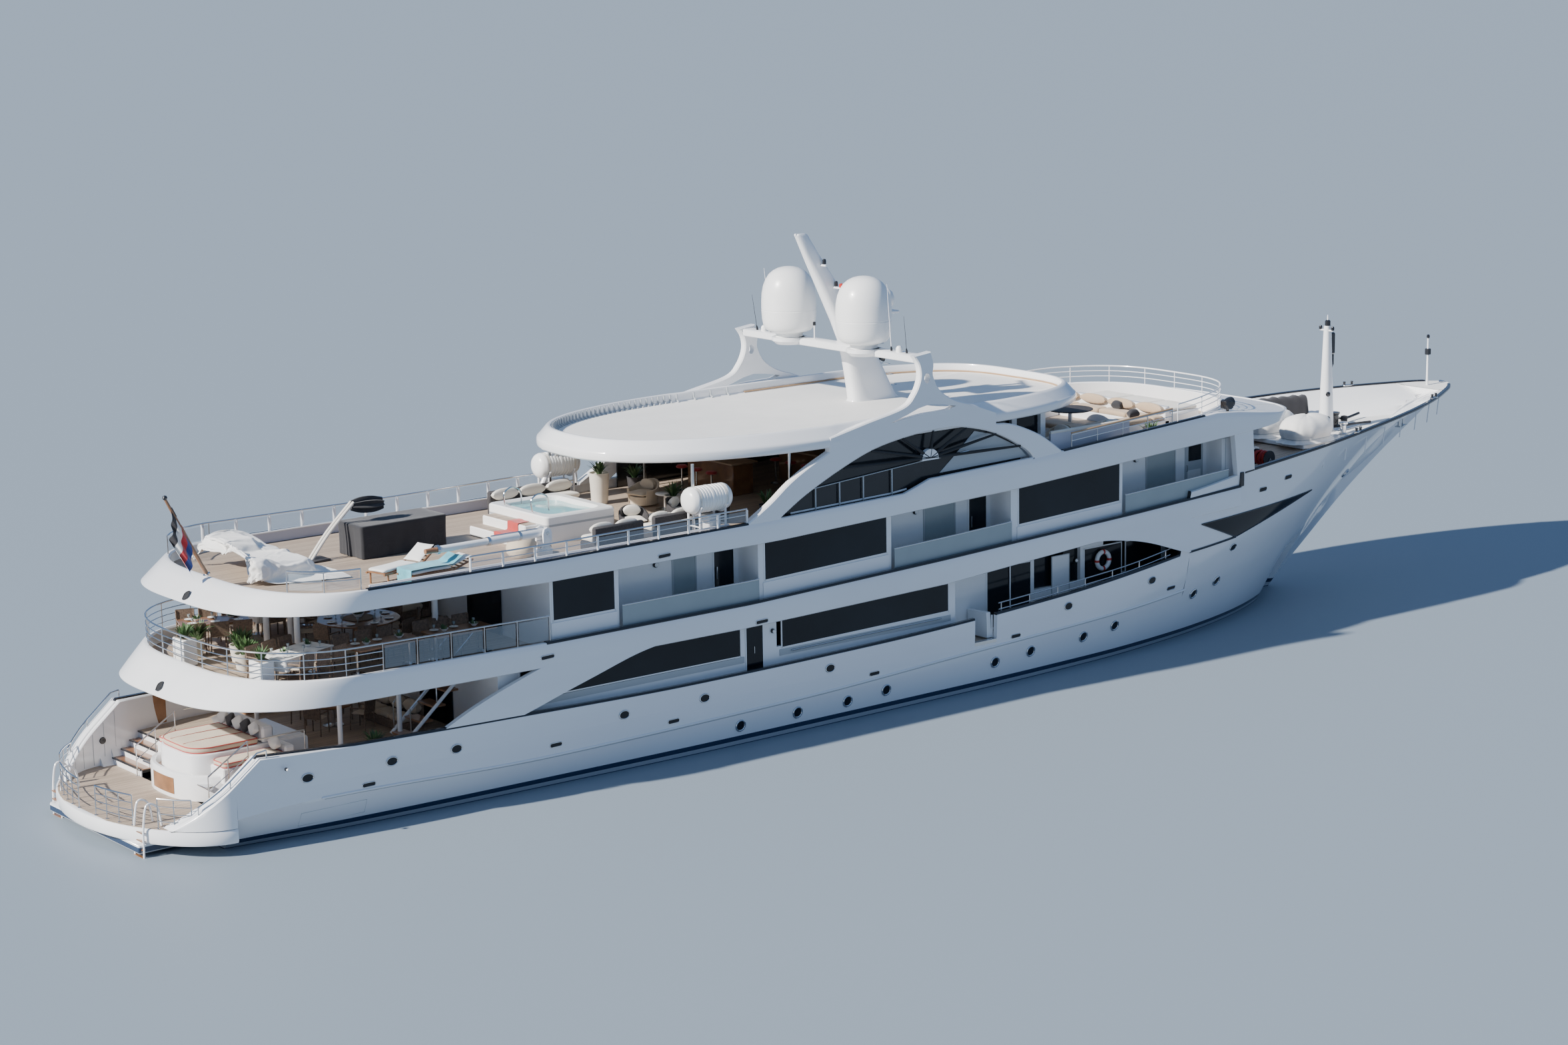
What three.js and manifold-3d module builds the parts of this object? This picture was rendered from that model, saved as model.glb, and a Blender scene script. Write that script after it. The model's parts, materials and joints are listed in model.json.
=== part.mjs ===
// Displacement motor yacht with three decks and a sundeck, as a 1:2 scale model.
// Every size below is in metres of the real vessel; the last group scales them to millimetres of the model.
// X runs forward from the aft edge of the swim platform, Y to port, Z up from the waterline.
import * as THREE from "three";
import { mergeVertices } from "three/addons/utils/BufferGeometryUtils.js";
import Module from "manifold-3d";

const wasm = await Module();
wasm.setup();

// Driving dimensions
const MODEL_SCALE = 0.5;
const LENGTH = 54.3;
const MIDSHIPS = LENGTH / 2;
const GAP = 0.0007; // seat gap between pieces, 0.35 mm in the model
const SIDE = 4.35; // half-breadth of the straight sides
const PLATE = 0.15; // thickness of the side plates
const WALL = 0.14; // thickness of a deckhouse wall with its lining
const PANE = 0.03; // thickness of the glass
const SLAB = 0.3; // thickness of a deck with its beams and ceiling
const MAIN_DECK = 1.5;
const PLATFORM = { top: 0.75, forward: 2.4 };
const RAISED_DECK_START = 36.8; // where the hull steps up to the foredeck

// Hull sections: x, z of the lowest point, then half-breadths at the bilge, water, knuckle, sheer and top.
const SECTIONS = [
  { x: 0.0, low: 0.35, bilge: 0, water: 0, knuckle: 1.1, sheer: 1.1, top: 1.1 },
  { x: 0.3, low: 0.35, bilge: 0, water: 0, knuckle: 2.15, sheer: 2.15, top: 2.15 },
  { x: 0.8, low: 0.35, bilge: 0, water: 0, knuckle: 3.05, sheer: 3.05, top: 3.05 },
  { x: 1.4, low: 0.35, bilge: 0, water: 0, knuckle: 3.7, sheer: 3.7, top: 3.7 },
  { x: 2.398, low: 0.35, bilge: 0, water: 0, knuckle: 4.15, sheer: 4.15, top: 4.15 },
  { x: 2.4, low: -0.62, bilge: 2.6, water: 3.3, knuckle: 4.15, sheer: 4.15, top: 4.15 },
  { x: 6.0, low: -0.85, bilge: 3.2, water: 3.75, knuckle: 4.28, sheer: SIDE, top: SIDE },
  { x: 12.0, low: -1.75, bilge: 3.65, water: 4.05, knuckle: 4.33, sheer: SIDE, top: SIDE },
  { x: 18.0, low: -2.35, bilge: 3.8, water: 4.2, knuckle: 4.34, sheer: SIDE, top: SIDE },
  { x: 27.0, low: -2.4, bilge: 3.65, water: 4.12, knuckle: 4.32, sheer: SIDE, top: SIDE },
  { x: 33.0, low: -2.4, bilge: 3.0, water: 3.85, knuckle: 4.26, sheer: SIDE, top: SIDE },
  { x: 36.8, low: -2.4, bilge: 2.2, water: 3.35, knuckle: 4.05, sheer: 4.3, top: 4.34 },
  { x: 40.0, low: -2.35, bilge: 1.35, water: 2.6, knuckle: 3.55, sheer: 4.05, top: 4.3 },
  { x: 43.0, low: -2.1, bilge: 0.55, water: 1.4, knuckle: 2.65, sheer: 3.6, top: 4.15 },
  { x: 45.1, low: 0.0, bilge: 0, water: 0, knuckle: 1.75, sheer: 3.05, top: 3.9 },
  { x: 47.0, low: 1.45, bilge: 0, water: 0, knuckle: 0.75, sheer: 2.4, top: 3.52 },
  { x: 49.0, low: 2.9, bilge: 0, water: 0, knuckle: 0, sheer: 1.45, top: 2.98 },
  { x: 51.0, low: 4.15, bilge: 0, water: 0, knuckle: 0, sheer: 0.5, top: 2.25 },
  { x: 52.7, low: 5.1, bilge: 0, water: 0, knuckle: 0, sheer: 0, top: 1.42 },
  { x: 53.8, low: 5.75, bilge: 0, water: 0, knuckle: 0, sheer: 0, top: 0.75 },
  { x: LENGTH, low: 6.08, bilge: 0, water: 0, knuckle: 0, sheer: 0, top: 0.2 },
];
const KEEL_HALF = 0.14;
const BILGE_RISE = 0.62; // the bilge lies this share of the way from the water down to the lowest point

// Heights along the vessel: [x, z] rows read by lineAt
const KNUCKLE = [
  [0, 0.76], [4.8, 1.1], [12, 0.92], [20.3, 1.02], [27, 1.28], [34.3, 1.58],
  [40, 2.05], [47, 2.75], [54.3, 6.1],
];
const SHEER = [
  [3.1, 2.46], [10.1, 2.24], [17.1, 2.11], [23.6, 2.17], [31.3, 2.49], [36.8, 3.05],
  [43.4, 4.12], [50, 5.1], [54.3, 6.15],
];
const TOP = [
  [0, 2.6], [3.1, 2.6], [36.8, 5.0], [39.5, 5.34], [42.6, 5.61], [46.9, 5.93],
  [54.3, 6.22],
];
const UPPER_DECK = [
  [2, 3.92], [10, 3.82], [20, 3.8], [29.1, 4.12], [36.8, 4.45], [40, 4.62],
  [46.9, 5.08], [54.3, 5.45],
];
const UPPER_PLATE_LOW = [
  [2, 3.52], [12, 3.42], [18.7, 3.41], [26.3, 3.56], [32.4, 3.95], [40, 4.3],
];
const UPPER_PLATE_TOP = [
  [2, 4.27], [12, 4.11], [19, 4.13], [26.3, 4.36], [34.3, 4.68], [39.3, 4.93],
];
const SUNDECK = [
  [2, 6.14], [17, 6.12], [24.6, 6.22], [30, 6.5], [38.2, 6.84], [42, 6.98],
];
const SUN_PLATE_LOW = [
  [2, 5.95], [12, 5.77], [20, 5.8], [29.3, 6.1], [38.8, 6.6], [42, 6.75],
];
const SUN_PLATE_TOP = [
  [2, 6.47], [12, 6.38], [20, 6.45], [24.9, 6.56], [25.6, 6.87], [30.6, 7.02],
  [38.2, 7.44], [42, 7.5],
];

// Piecewise linear reading of an [x, z] table
function lineAt(table, x) {
  let i = 1;
  while (i < table.length - 1 && table[i][0] < x) i += 1;
  const [x0, z0] = table[i - 1];
  const [x1, z1] = table[i];
  return z0 + ((z1 - z0) * (x - x0)) / (x1 - x0);
}

// Solids
function solidOf(geometry) {
  const g = geometry.index ? geometry.toNonIndexed() : geometry.clone();
  for (const name of Object.keys(g.attributes)) if (name !== "position") g.deleteAttribute(name);
  const merged = mergeVertices(g, 1e-6);
  const faces = merged.index.array;
  const kept = [];
  for (let i = 0; i < faces.length; i += 3) {
    const [a, b, c] = [faces[i], faces[i + 1], faces[i + 2]];
    if (a !== b && b !== c && c !== a) kept.push(a, b, c);
  }
  const make = (triVerts) =>
    new wasm.Manifold(
      new wasm.Mesh({
        numProp: 3,
        vertProperties: Float32Array.from(merged.attributes.position.array),
        triVerts: Uint32Array.from(triVerts),
      }),
    );
  const made = make(kept);
  if (made.volume() > 0) return made;
  for (let i = 0; i < kept.length; i += 3) [kept[i + 1], kept[i + 2]] = [kept[i + 2], kept[i + 1]];
  return make(kept);
}

function geometryOf(solid) {
  const m = solid.getMesh();
  const points = [];
  for (let i = 0; i < m.numVert; i += 1) {
    points.push(...m.vertProperties.subarray(i * m.numProp, i * m.numProp + 3));
  }
  const g = new THREE.BufferGeometry();
  g.setAttribute("position", new THREE.Float32BufferAttribute(points, 3));
  g.setIndex([...m.triVerts]);
  const flat = g.toNonIndexed();
  flat.computeVertexNormals();
  return flat;
}

const join = (...solids) => solids.reduce((a, b) => a.add(b));

// A box between two corners
function box([x0, y0, z0], [x1, y1, z1]) {
  const g = new THREE.BoxGeometry(x1 - x0, y1 - y0, z1 - z0);
  return solidOf(g.translate((x0 + x1) / 2, (y0 + y1) / 2, (z0 + z1) / 2));
}

// Corners as vectors, running counter-clockwise for sense 1 and clockwise for sense -1
function corners(rows, sense) {
  const points = rows.map(([a, b]) => new THREE.Vector2(a, b));
  return Math.sign(THREE.ShapeUtils.area(points)) === sense ? points : points.reverse();
}

// A side profile of [x, z] corners, thick from y0 to y1
function sidePrism(profile, y0, y1, holes = []) {
  const shape = new THREE.Shape(corners(profile, 1));
  shape.holes = holes.map((hole) => new THREE.Path(corners(hole, -1)));
  const g = new THREE.ExtrudeGeometry(shape, { depth: y1 - y0, bevelEnabled: false });
  return solidOf(g.rotateX(Math.PI / 2).translate(0, y1, 0));
}

// A plan outline of [x, y] corners, tall from z0 to z1
function planPrism(outline, z0, z1) {
  const shape = new THREE.Shape(corners(outline, 1));
  const g = new THREE.ExtrudeGeometry(shape, { depth: z1 - z0, bevelEnabled: false });
  return solidOf(g.translate(0, 0, z0));
}

// The half outline [x, half-breadth], closed on the other side by its mirror image
function bothSides(half) {
  const port = half.filter(([, y]) => y > 0).map(([x, y]) => [x, y]);
  const starboard = half.map(([x, y]) => [x, -y]).reverse();
  return [...port, ...starboard];
}

// Everything between two height tables, as wide as the vessel
function layer(lowTable, highTable, x0, x1, lift = [0, 0]) {
  const xs = [x0, x1];
  for (const [x] of [...lowTable, ...highTable]) if (x > x0 && x < x1) xs.push(x);
  xs.sort((a, b) => a - b);
  const unique = xs.filter((x, i) => i === 0 || x - xs[i - 1] > 1e-3);
  const low = unique.map((x) => [x, lineAt(lowTable, x) + lift[0]]);
  const high = unique.map((x) => [x, lineAt(highTable, x) + lift[1]]).reverse();
  return sidePrism([...low, ...high], -6, 6);
}

// A body through rings of equal numbers of points, closed by a fan at each end
function loft(rings) {
  const n = rings[0].length;
  const vertices = [];
  const tri = (a, b, c) => vertices.push(...a, ...b, ...c);
  for (let i = 0; i + 1 < rings.length; i += 1) {
    for (let j = 0; j < n; j += 1) {
      const k = (j + 1) % n;
      tri(rings[i][j], rings[i + 1][j], rings[i + 1][k]);
      tri(rings[i][j], rings[i + 1][k], rings[i][k]);
    }
  }
  const first = rings[0];
  const last = rings[rings.length - 1];
  for (let j = 1; j + 1 < n; j += 1) {
    tri(first[0], first[j], first[j + 1]);
    tri(last[0], last[j + 1], last[j]);
  }
  const g = new THREE.BufferGeometry();
  g.setAttribute("position", new THREE.Float32BufferAttribute(vertices, 3));
  return solidOf(g);
}

// A round bar from one point to another, tapering from one radius to the other
function bar(from, to, r0, r1 = r0, sides = 12) {
  const a = new THREE.Vector3(...from);
  const b = new THREE.Vector3(...to);
  const up = new THREE.Vector3(0, 1, 0);
  const g = new THREE.CylinderGeometry(r1, r0, a.distanceTo(b), sides);
  const turn = new THREE.Quaternion().setFromUnitVectors(up, b.clone().sub(a).normalize());
  return solidOf(g.applyQuaternion(turn).translate((a.x + b.x) / 2, (a.y + b.y) / 2, (a.z + b.z) / 2));
}

// A turned body: [radius, height] rows round a vertical axis at a point
function turned(rows, [x, y, z], sides = 20) {
  const g = new THREE.LatheGeometry(rows.map(([r, h]) => new THREE.Vector2(r, h)), sides);
  return solidOf(g.rotateX(Math.PI / 2).translate(x, y, z));
}

// Hull surface
function hullRing(section, inset) {
  const { x, low } = section;
  const bilgeZ = Math.min(-0.3, low * BILGE_RISE);
  const levels = [
    [KEEL_HALF, low],
    [section.bilge, bilgeZ],
    [section.water, 0],
    [section.knuckle, lineAt(KNUCKLE, x)],
    [section.sheer, lineAt(SHEER, x)],
    [section.top, lineAt(TOP, x)],
  ];
  const side = levels.map(([half, z]) => {
    if (z <= low && half !== KEEL_HALF) return [Math.min(KEEL_HALF, section.top), low];
    return [Math.max(half - inset(x), 0.02), z];
  });
  const port = side.map(([half, z]) => [x, half, z]);
  const starboard = side.map(([half, z]) => [x, -half, z]).reverse();
  return [...port, ...starboard];
}

const hullBody = (inset) => loft(SECTIONS.map((section) => hullRing(section, inset)));
const hullFull = hullBody(() => 0);
// The stern quarters are thick; the rest of the bulwark is a plate with its stiffeners
const bulwarkThickness = (x) => (x < 3.2 ? 0.55 : x < 5.5 ? 0.55 - ((x - 3.2) / 2.3) * 0.39 : 0.16);
// The bow is decked over at the cap, and the jackstaff stands there
const BOW_CAP = { aft: LENGTH - 1.2, staffX: 53.4, staffFoot: 5.9, staffTop: 8.0 };
const hullInside = hullBody(bulwarkThickness).intersect(box([-1, -6, -4], [BOW_CAP.aft, 6, 9]));
const hullShell = hullFull.subtract(hullInside);

const parts = new THREE.Group();
const MATERIALS = {
  paint: { color: 0xf2f3f4, roughness: 0.25, metalness: 0 },
  bottom: { color: 0x8b9399, roughness: 0.6, metalness: 0 },
  teak: { color: 0x9a6f47, roughness: 0.7, metalness: 0 },
  glass: { color: 0x0b0d10, roughness: 0.08, metalness: 0 },
  bronze: { color: 0xb08a4a, roughness: 0.35, metalness: 1 },
  dome: { color: 0xf5f5f2, roughness: 0.4, metalness: 0 },
  cushion: { color: 0xd9c8ac, roughness: 0.9, metalness: 0 },
  cover: { color: 0xeeeae2, roughness: 0.9, metalness: 0 },
  black_cover: { color: 0x15161a, roughness: 0.85, metalness: 0 },
};

function add(name, solid, finish) {
  const mesh = new THREE.Mesh(geometryOf(solid), new THREE.MeshStandardMaterial(MATERIALS[finish]));
  mesh.name = name;
  parts.add(mesh);
  return solid;
}

const SIDES = [["port", 1], ["starboard", -1]];
const mirrored = (solid) => {
  const g = geometryOf(solid).applyMatrix4(new THREE.Matrix4().makeScale(1, -1, 1));
  return solidOf(g);
};
// The same piece on both sides, drawn for the port side
function addPair(name, solid, finish) {
  add(`${name}_port`, solid, finish);
  add(`${name}_starboard`, mirrored(solid), finish);
}

const FAR = 60;
const half = (sign) => box([-1, sign > 0 ? 0.001 : -6, -4], [FAR, sign > 0 ? 6 : -0.001, 20]);
const aheadOf = (x) => box([x, -6, -4], [FAR, 6, 20]);
const between = (x0, x1) => box([x0, -6, -4], [x1, 6, 20]);
const above = (table, lift, x0 = -1, x1 = FAR) => layer(table, [[-1, 20], [FAR, 20]], x0, x1, [lift, 0]);
const below = (table, lift, x0 = -1, x1 = FAR) => layer([[-1, -4], [FAR, -4]], table, x0, x1, [0, lift]);

// Propulsion places
const SHAFT = {
  y: 1.75,
  propX: 4.75,
  propZ: -1.72,
  hullX: 11.5,
  hullZ: -1.1,
  radius: 0.09,
  propRadius: 0.72,
};
SHAFT.slope = Math.atan2(SHAFT.hullZ - SHAFT.propZ, SHAFT.hullX - SHAFT.propX);
const HUB = { aft: -0.3, fore: 0.19 };
const RUDDER = {
  stockX: 3.35,
  chordAft: 0.62,
  chordFore: 0.28,
  top: -0.72,
  bottom: -2.35,
  half: 0.09,
  stock: 0.08,
  seat: GAP * 20,
};
const FIN = {
  x: 23.0,
  y: 3.05,
  z: -1.95,
  chord: 1.7,
  span: 1.15,
  half: 0.1,
  stock: 0.09,
  slant: Math.PI / 4,
};

// A point on a shaft's axis, a distance ahead of its propeller
function shaftPoint(sign, ahead) {
  const { y, propX, propZ, slope } = SHAFT;
  return [propX + ahead * Math.cos(slope), sign * y, propZ + ahead * Math.sin(slope)];
}

// The shaft runs from the propeller's hub into the hull, in a bearing on two legs
const BRACKET = { aft: 0.25, middle: 0.5, fore: 0.75, radius: 0.17, spread: 0.55, hullZ: -0.55 };
function shaftLine(sign) {
  const hullEnd = [SHAFT.hullX, sign * SHAFT.y, SHAFT.hullZ];
  const line = bar(shaftPoint(sign, HUB.fore + GAP), hullEnd, SHAFT.radius);
  const [legX, legY] = shaftPoint(sign, BRACKET.fore);
  const legs = [-BRACKET.spread, BRACKET.spread].map((lean) =>
    bar(shaftPoint(sign, BRACKET.middle), [legX, legY + lean, BRACKET.hullZ], 0.09, 0.11, 8),
  );
  const bearing = bar(shaftPoint(sign, BRACKET.aft), shaftPoint(sign, BRACKET.fore), BRACKET.radius);
  return join(line, bearing, ...legs);
}

// Steps each side of the stern island, from the platform up to the main deck
const STAIRS = { x: 2.75, going: 0.3, count: 4, inner: 1.95 };
function sternCut() {
  const rise = (MAIN_DECK - PLATFORM.top) / STAIRS.count;
  const steps = [];
  for (let i = 0; i < STAIRS.count; i += 1) {
    const z = PLATFORM.top + i * rise;
    steps.push(box([-0.5, -4.4, z], [STAIRS.x + i * STAIRS.going, 4.4, 3]));
  }
  return join(...steps);
}

const FORE_HATCH = { aft: 43.0, forward: 44.0, half: 0.5, high: 0.16, thick: 0.06, lap: 0.03 };
const hatchTop = lineAt(UPPER_DECK, FORE_HATCH.forward) + FORE_HATCH.high;

function buildHull() {
  const hatchCoaming = box(
    [FORE_HATCH.aft, -FORE_HATCH.half, 4],
    [FORE_HATCH.forward, FORE_HATCH.half, hatchTop],
  );
  const rudderPads = SIDES.map(([, s]) => {
    const [x, y] = [RUDDER.stockX, s * SHAFT.y];
    return bar([x, y, -0.5], [x, y, RUDDER.top + RUDDER.seat], 0.2, 0.14);
  });
  const finPads = SIDES.map(([, s]) => finBar(s, -0.5, 0, 0.28, 0.2));
  const aft = hullFull
    .intersect(between(PLATFORM.forward, RAISED_DECK_START + 0.5))
    .intersect(box([0, -6, -4], [FAR, 6, MAIN_DECK]))
    .subtract(sternCut());
  const fore = hullFull.intersect(aheadOf(RAISED_DECK_START)).intersect(below(UPPER_DECK, 0));
  const skeg = sidePrism([[8.5, -1.2], [16, -2.2], [16, -2.0], [18, -1], [8.5, -0.9]], -0.12, 0.12);
  return join(aft, fore, skeg, hatchCoaming, shaftLine(1), shaftLine(-1), ...rudderPads, ...finPads);
}

// A point on a fin's stock, a distance out from the hull along the slanted stock
function finPoint(sign, along) {
  return [FIN.x, sign * (FIN.y + along * Math.cos(FIN.slant)), FIN.z - along * Math.sin(FIN.slant)];
}
const finBar = (sign, a, b, r0, r1) => bar(finPoint(sign, a), finPoint(sign, b), r0, r1);

add("hull", buildHull(), "paint");
add(
  "swim_platform",
  hullFull.intersect(box([-0.5, -6, 0], [PLATFORM.forward - GAP, 6, PLATFORM.top])),
  "teak",
);

// Bulwarks: the hull's own side above the main deck, with a boarding gate each side
const GATE = { aft: 27.5, forward: 28.4, sill: 0.06 };
// The underside of the stern quarters follows the steps from the main deck down to the platform
function stepUnderside() {
  const rows = [];
  const rise = (MAIN_DECK - PLATFORM.top) / STAIRS.count;
  for (let i = STAIRS.count; i > 0; i -= 1) {
    const x = STAIRS.x + (i - 1) * STAIRS.going - GAP;
    rows.push([x, PLATFORM.top + i * rise + GAP], [x, PLATFORM.top + (i - 1) * rise + GAP]);
  }
  return rows;
}
const bulwarkProfile = [
  [0.95, PLATFORM.top + GAP],
  [3.1, 2.46],
  ...SHEER.slice(1, 5),
  [RAISED_DECK_START - GAP, lineAt(SHEER, RAISED_DECK_START)],
  [RAISED_DECK_START - GAP, MAIN_DECK + GAP],
  ...stepUnderside(),
];
const gateGap = box([GATE.aft, -6, MAIN_DECK + GATE.sill], [GATE.forward, 6, 4]);
const sideBulwarks = hullShell.intersect(sidePrism(bulwarkProfile, -6, 6)).subtract(gateGap);
add(
  "bow_bulwark",
  hullShell
    .intersect(aheadOf(RAISED_DECK_START))
    .intersect(above(UPPER_DECK, GAP))
    .add(bar([BOW_CAP.staffX, 0, BOW_CAP.staffFoot], [BOW_CAP.staffX, 0, BOW_CAP.staffTop], 0.05, 0.035)),
  "paint",
);

// Gates: the starboard one stands open, square to the bulwark, and the port one is shut
const MOVING_CLEAR = 0.012; // 6 mm in the model round each moving leaf
const BARREL = 0.03; // radius of a hinge barrel
const SIDE_LEAN = 0.042; // the hull side leans in this much at the foot of a gate
const gateHinge = (sign) => [
  GATE.forward - MOVING_CLEAR,
  sign * (SIDE - bulwarkThickness(GATE.forward) - SIDE_LEAN - BARREL - GAP),
];
const gateFoot = MAIN_DECK + GATE.sill + MOVING_CLEAR;
// The bulwark's knuckle under a gate's hinge, which carries the gate
function gateKnuckle(sign) {
  const [x, y] = gateHinge(sign);
  const outer = sign * (SIDE - BARREL * 2);
  const tie = box(
    [x, Math.min(y, outer), MAIN_DECK + GAP],
    [GATE.forward + BARREL, Math.max(y, outer), gateFoot - GAP],
  );
  return join(bar([x, y, MAIN_DECK + GAP], [x, y, gateFoot - GAP], BARREL), tie);
}
for (const [side, sign] of SIDES) {
  add(`bulwark_${side}`, sideBulwarks.intersect(half(sign)).add(gateKnuckle(sign)), "paint");
}
function gateLeaf(sign) {
  const [x, y] = gateHinge(sign);
  const leaf = hullShell
    .intersect(box([GATE.aft + MOVING_CLEAR, -6, gateFoot], [GATE.forward - MOVING_CLEAR, 6, 4]))
    .intersect(half(sign))
    .intersect(below(SHEER, 0));
  const barrel = bar([x, y, gateFoot], [x, y, lineAt(SHEER, x) - 0.1], BARREL);
  const leafY = sign * (SIDE - 0.1);
  const strap = box(
    [x - 0.2, Math.min(y, leafY), gateFoot + 0.1],
    [x, Math.max(y, leafY), gateFoot + 0.25],
  );
  return join(leaf, barrel, strap);
}
function swung(solid, [x, y], degrees) {
  const g = geometryOf(solid).translate(-x, -y, 0).rotateZ(THREE.MathUtils.degToRad(degrees));
  return solidOf(g.translate(x, y, 0));
}
add("boarding_gate_port", gateLeaf(1), "paint");
add("boarding_gate_starboard", swung(gateLeaf(-1), gateHinge(-1), -90), "paint");

// Decks and side plates
const DECK_CLEAR = PLATE + GAP;
const STERN_ARCS = {
  upper: { aftLow: 2.2, aftTop: 3.1, corner: 6.0 },
  sun: { aftLow: 3.05, aftTop: 3.95, corner: 6.4 },
};
const BOW_ARC = { start: 35.5, tipLow: 41.0, tipTop: 40.5 };
const ARC_STEPS = 10;
const END_FULLNESS = 0.62;

// Half outline of a rounded end, from the straight side to the tip on the centre line.
// A fullness of 1 is an ellipse, and a smaller one is squarer.
function endOutline(straightX, tipX, halfBreadth, fullness = END_FULLNESS) {
  const rows = [];
  for (let i = 0; i < ARC_STEPS; i += 1) {
    const angle = (i / ARC_STEPS) * (Math.PI / 2);
    const x = straightX + (tipX - straightX) * Math.sin(angle);
    rows.push([x, halfBreadth * Math.cos(angle) ** fullness]);
  }
  rows.push([tipX, 0]);
  return rows;
}

// The rounded strip of a side plate at an end of a deck
function endStrip(lowTable, topTable, straightX, tipLow, tipTop, thick) {
  const outerLow = endOutline(straightX, tipLow, SIDE);
  const outerTop = endOutline(straightX, tipTop, SIDE);
  const inward = Math.sign(straightX - tipLow) * thick;
  const innerLow = endOutline(straightX, tipLow + inward, SIDE - thick);
  const innerTop = endOutline(straightX, tipTop + inward, SIDE - thick);
  const rings = [];
  const ring = (i, sign) => {
    const at = (rows, table) => [rows[i][0], sign * rows[i][1], lineAt(table, rows[i][0])];
    return [
      at(outerLow, lowTable),
      at(outerTop, topTable),
      at(innerTop, topTable),
      at(innerLow, lowTable),
    ];
  };
  for (let i = 0; i <= ARC_STEPS; i += 1) rings.push(ring(i, 1));
  for (let i = ARC_STEPS - 1; i >= 0; i -= 1) rings.push(ring(i, -1));
  return loft(rings);
}

// The straight part of a side plate on the port side
const sideStrip = (lowTable, topTable, x0, x1) =>
  layer(lowTable, topTable, x0, x1).intersect(box([0, SIDE - PLATE, 0], [FAR, SIDE, 12]));

// Swept wedges that tie the upper side plate down to the bulwark aft and forward
const AFT_SWEEP = [
  [8.6, 2.3], [10.1, 2.93], [11.9, 3.5], [16.2, 3.5], [14.7, 3.2], [13.5, 2.9], [12.4, 2.64], [11.1, 2.24],
];
const FORWARD_SWEEP = [
  [32.3, 4.0], [33.7, 3.86], [34.8, 3.69], [35.8, 3.34], [36.7, 3.06], [36.79, 3.06], [36.79, 4.2],
];

const sweep = (profile) =>
  sidePrism(profile, SIDE - PLATE, SIDE).intersect(above(SHEER, GAP));

const upperStern = STERN_ARCS.upper;
addPair(
  "upper_side_plate",
  join(
    sideStrip(UPPER_PLATE_LOW, UPPER_PLATE_TOP, upperStern.corner + GAP, RAISED_DECK_START - GAP),
    sweep(AFT_SWEEP),
    sweep(FORWARD_SWEEP),
  ),
  "paint",
);
add(
  "upper_stern_plate",
  endStrip(UPPER_PLATE_LOW, UPPER_PLATE_TOP, upperStern.corner, upperStern.aftLow, upperStern.aftTop, PLATE),
  "paint",
);

const sunStern = STERN_ARCS.sun;
addPair(
  "sundeck_side_plate",
  sideStrip(SUN_PLATE_LOW, SUN_PLATE_TOP, sunStern.corner + GAP, BOW_ARC.start - GAP),
  "paint",
);
add(
  "sundeck_stern_plate",
  endStrip(SUN_PLATE_LOW, SUN_PLATE_TOP, sunStern.corner, sunStern.aftLow, sunStern.aftTop, PLATE),
  "paint",
);
add(
  "sundeck_brow",
  endStrip(SUN_PLATE_LOW, SUN_PLATE_TOP, BOW_ARC.start, BOW_ARC.tipLow, BOW_ARC.tipTop, PLATE),
  "paint",
);

// A deck slab inside its side plates
function slab(table, aftEnd, forwardEnd) {
  const outline = bothSides([...aftEnd, ...forwardEnd]);
  return planPrism(outline, 0, 9).intersect(layer(table, table, -1, FAR, [-SLAB, 0]));
}
const insideSide = SIDE - PLATE - GAP * 2;
const END_CLEAR = 0.06; // a rounded deck end keeps this far inside its plate
const insideEnd = insideSide - END_CLEAR / 4;
const aftOutline = (arc) => endOutline(arc.corner, arc.aftTop + END_CLEAR, insideEnd).reverse();
add(
  "upper_deck",
  slab(UPPER_DECK, aftOutline(upperStern), [
    [RAISED_DECK_START - GAP, insideSide],
    [RAISED_DECK_START - GAP, 0],
  ]),
  "teak",
);
// The crane's pedestal is welded to the sundeck
const CRANE = {
  x: 12.4,
  y: -3.6,
  pedestalTop: 6.5,
  boomZ: 7.0,
  aftEnd: 8.6,
  earX: 0.14,
  earY: 0.17,
  earHalf: 0.035,
};
const cranePin = CRANE.earY - CRANE.earHalf - GAP;
const cranePedestal = bar([CRANE.x, CRANE.y, 6.0], [CRANE.x, CRANE.y, CRANE.pedestalTop], 0.28, 0.24, 16);
const sundeckForward = endOutline(BOW_ARC.start, BOW_ARC.tipTop - PLATE - END_CLEAR, insideEnd);
add("sundeck", slab(SUNDECK, aftOutline(sunStern), sundeckForward).add(cranePedestal), "teak");

// Deckhouses: hollow boxes of wall, open to the decks under and over them.
// Each outline is a half plan [x, half-breadth] drawn d inside its outer face.
const MAIN_HOUSE = { aft: 10.5, step: 27.0, wide: 4.0, narrow: 3.2 };
const mainOutline = (d) => [
  [MAIN_HOUSE.aft + d, 0],
  [MAIN_HOUSE.aft + d, MAIN_HOUSE.wide - d],
  [MAIN_HOUSE.step - d, MAIN_HOUSE.wide - d],
  [MAIN_HOUSE.step - d, MAIN_HOUSE.narrow - d],
  [RAISED_DECK_START - GAP - d, MAIN_HOUSE.narrow - d],
  [RAISED_DECK_START - GAP - d, 0],
];
const BALCONIES = [[14.5, 19.4], [24.4, 29.2], [33.95, 38.7]]; // aft and forward end of each recess
const UPPER_HALF = { wide: 4.1, recess: 3.15, bridge: 3.85 };
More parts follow.
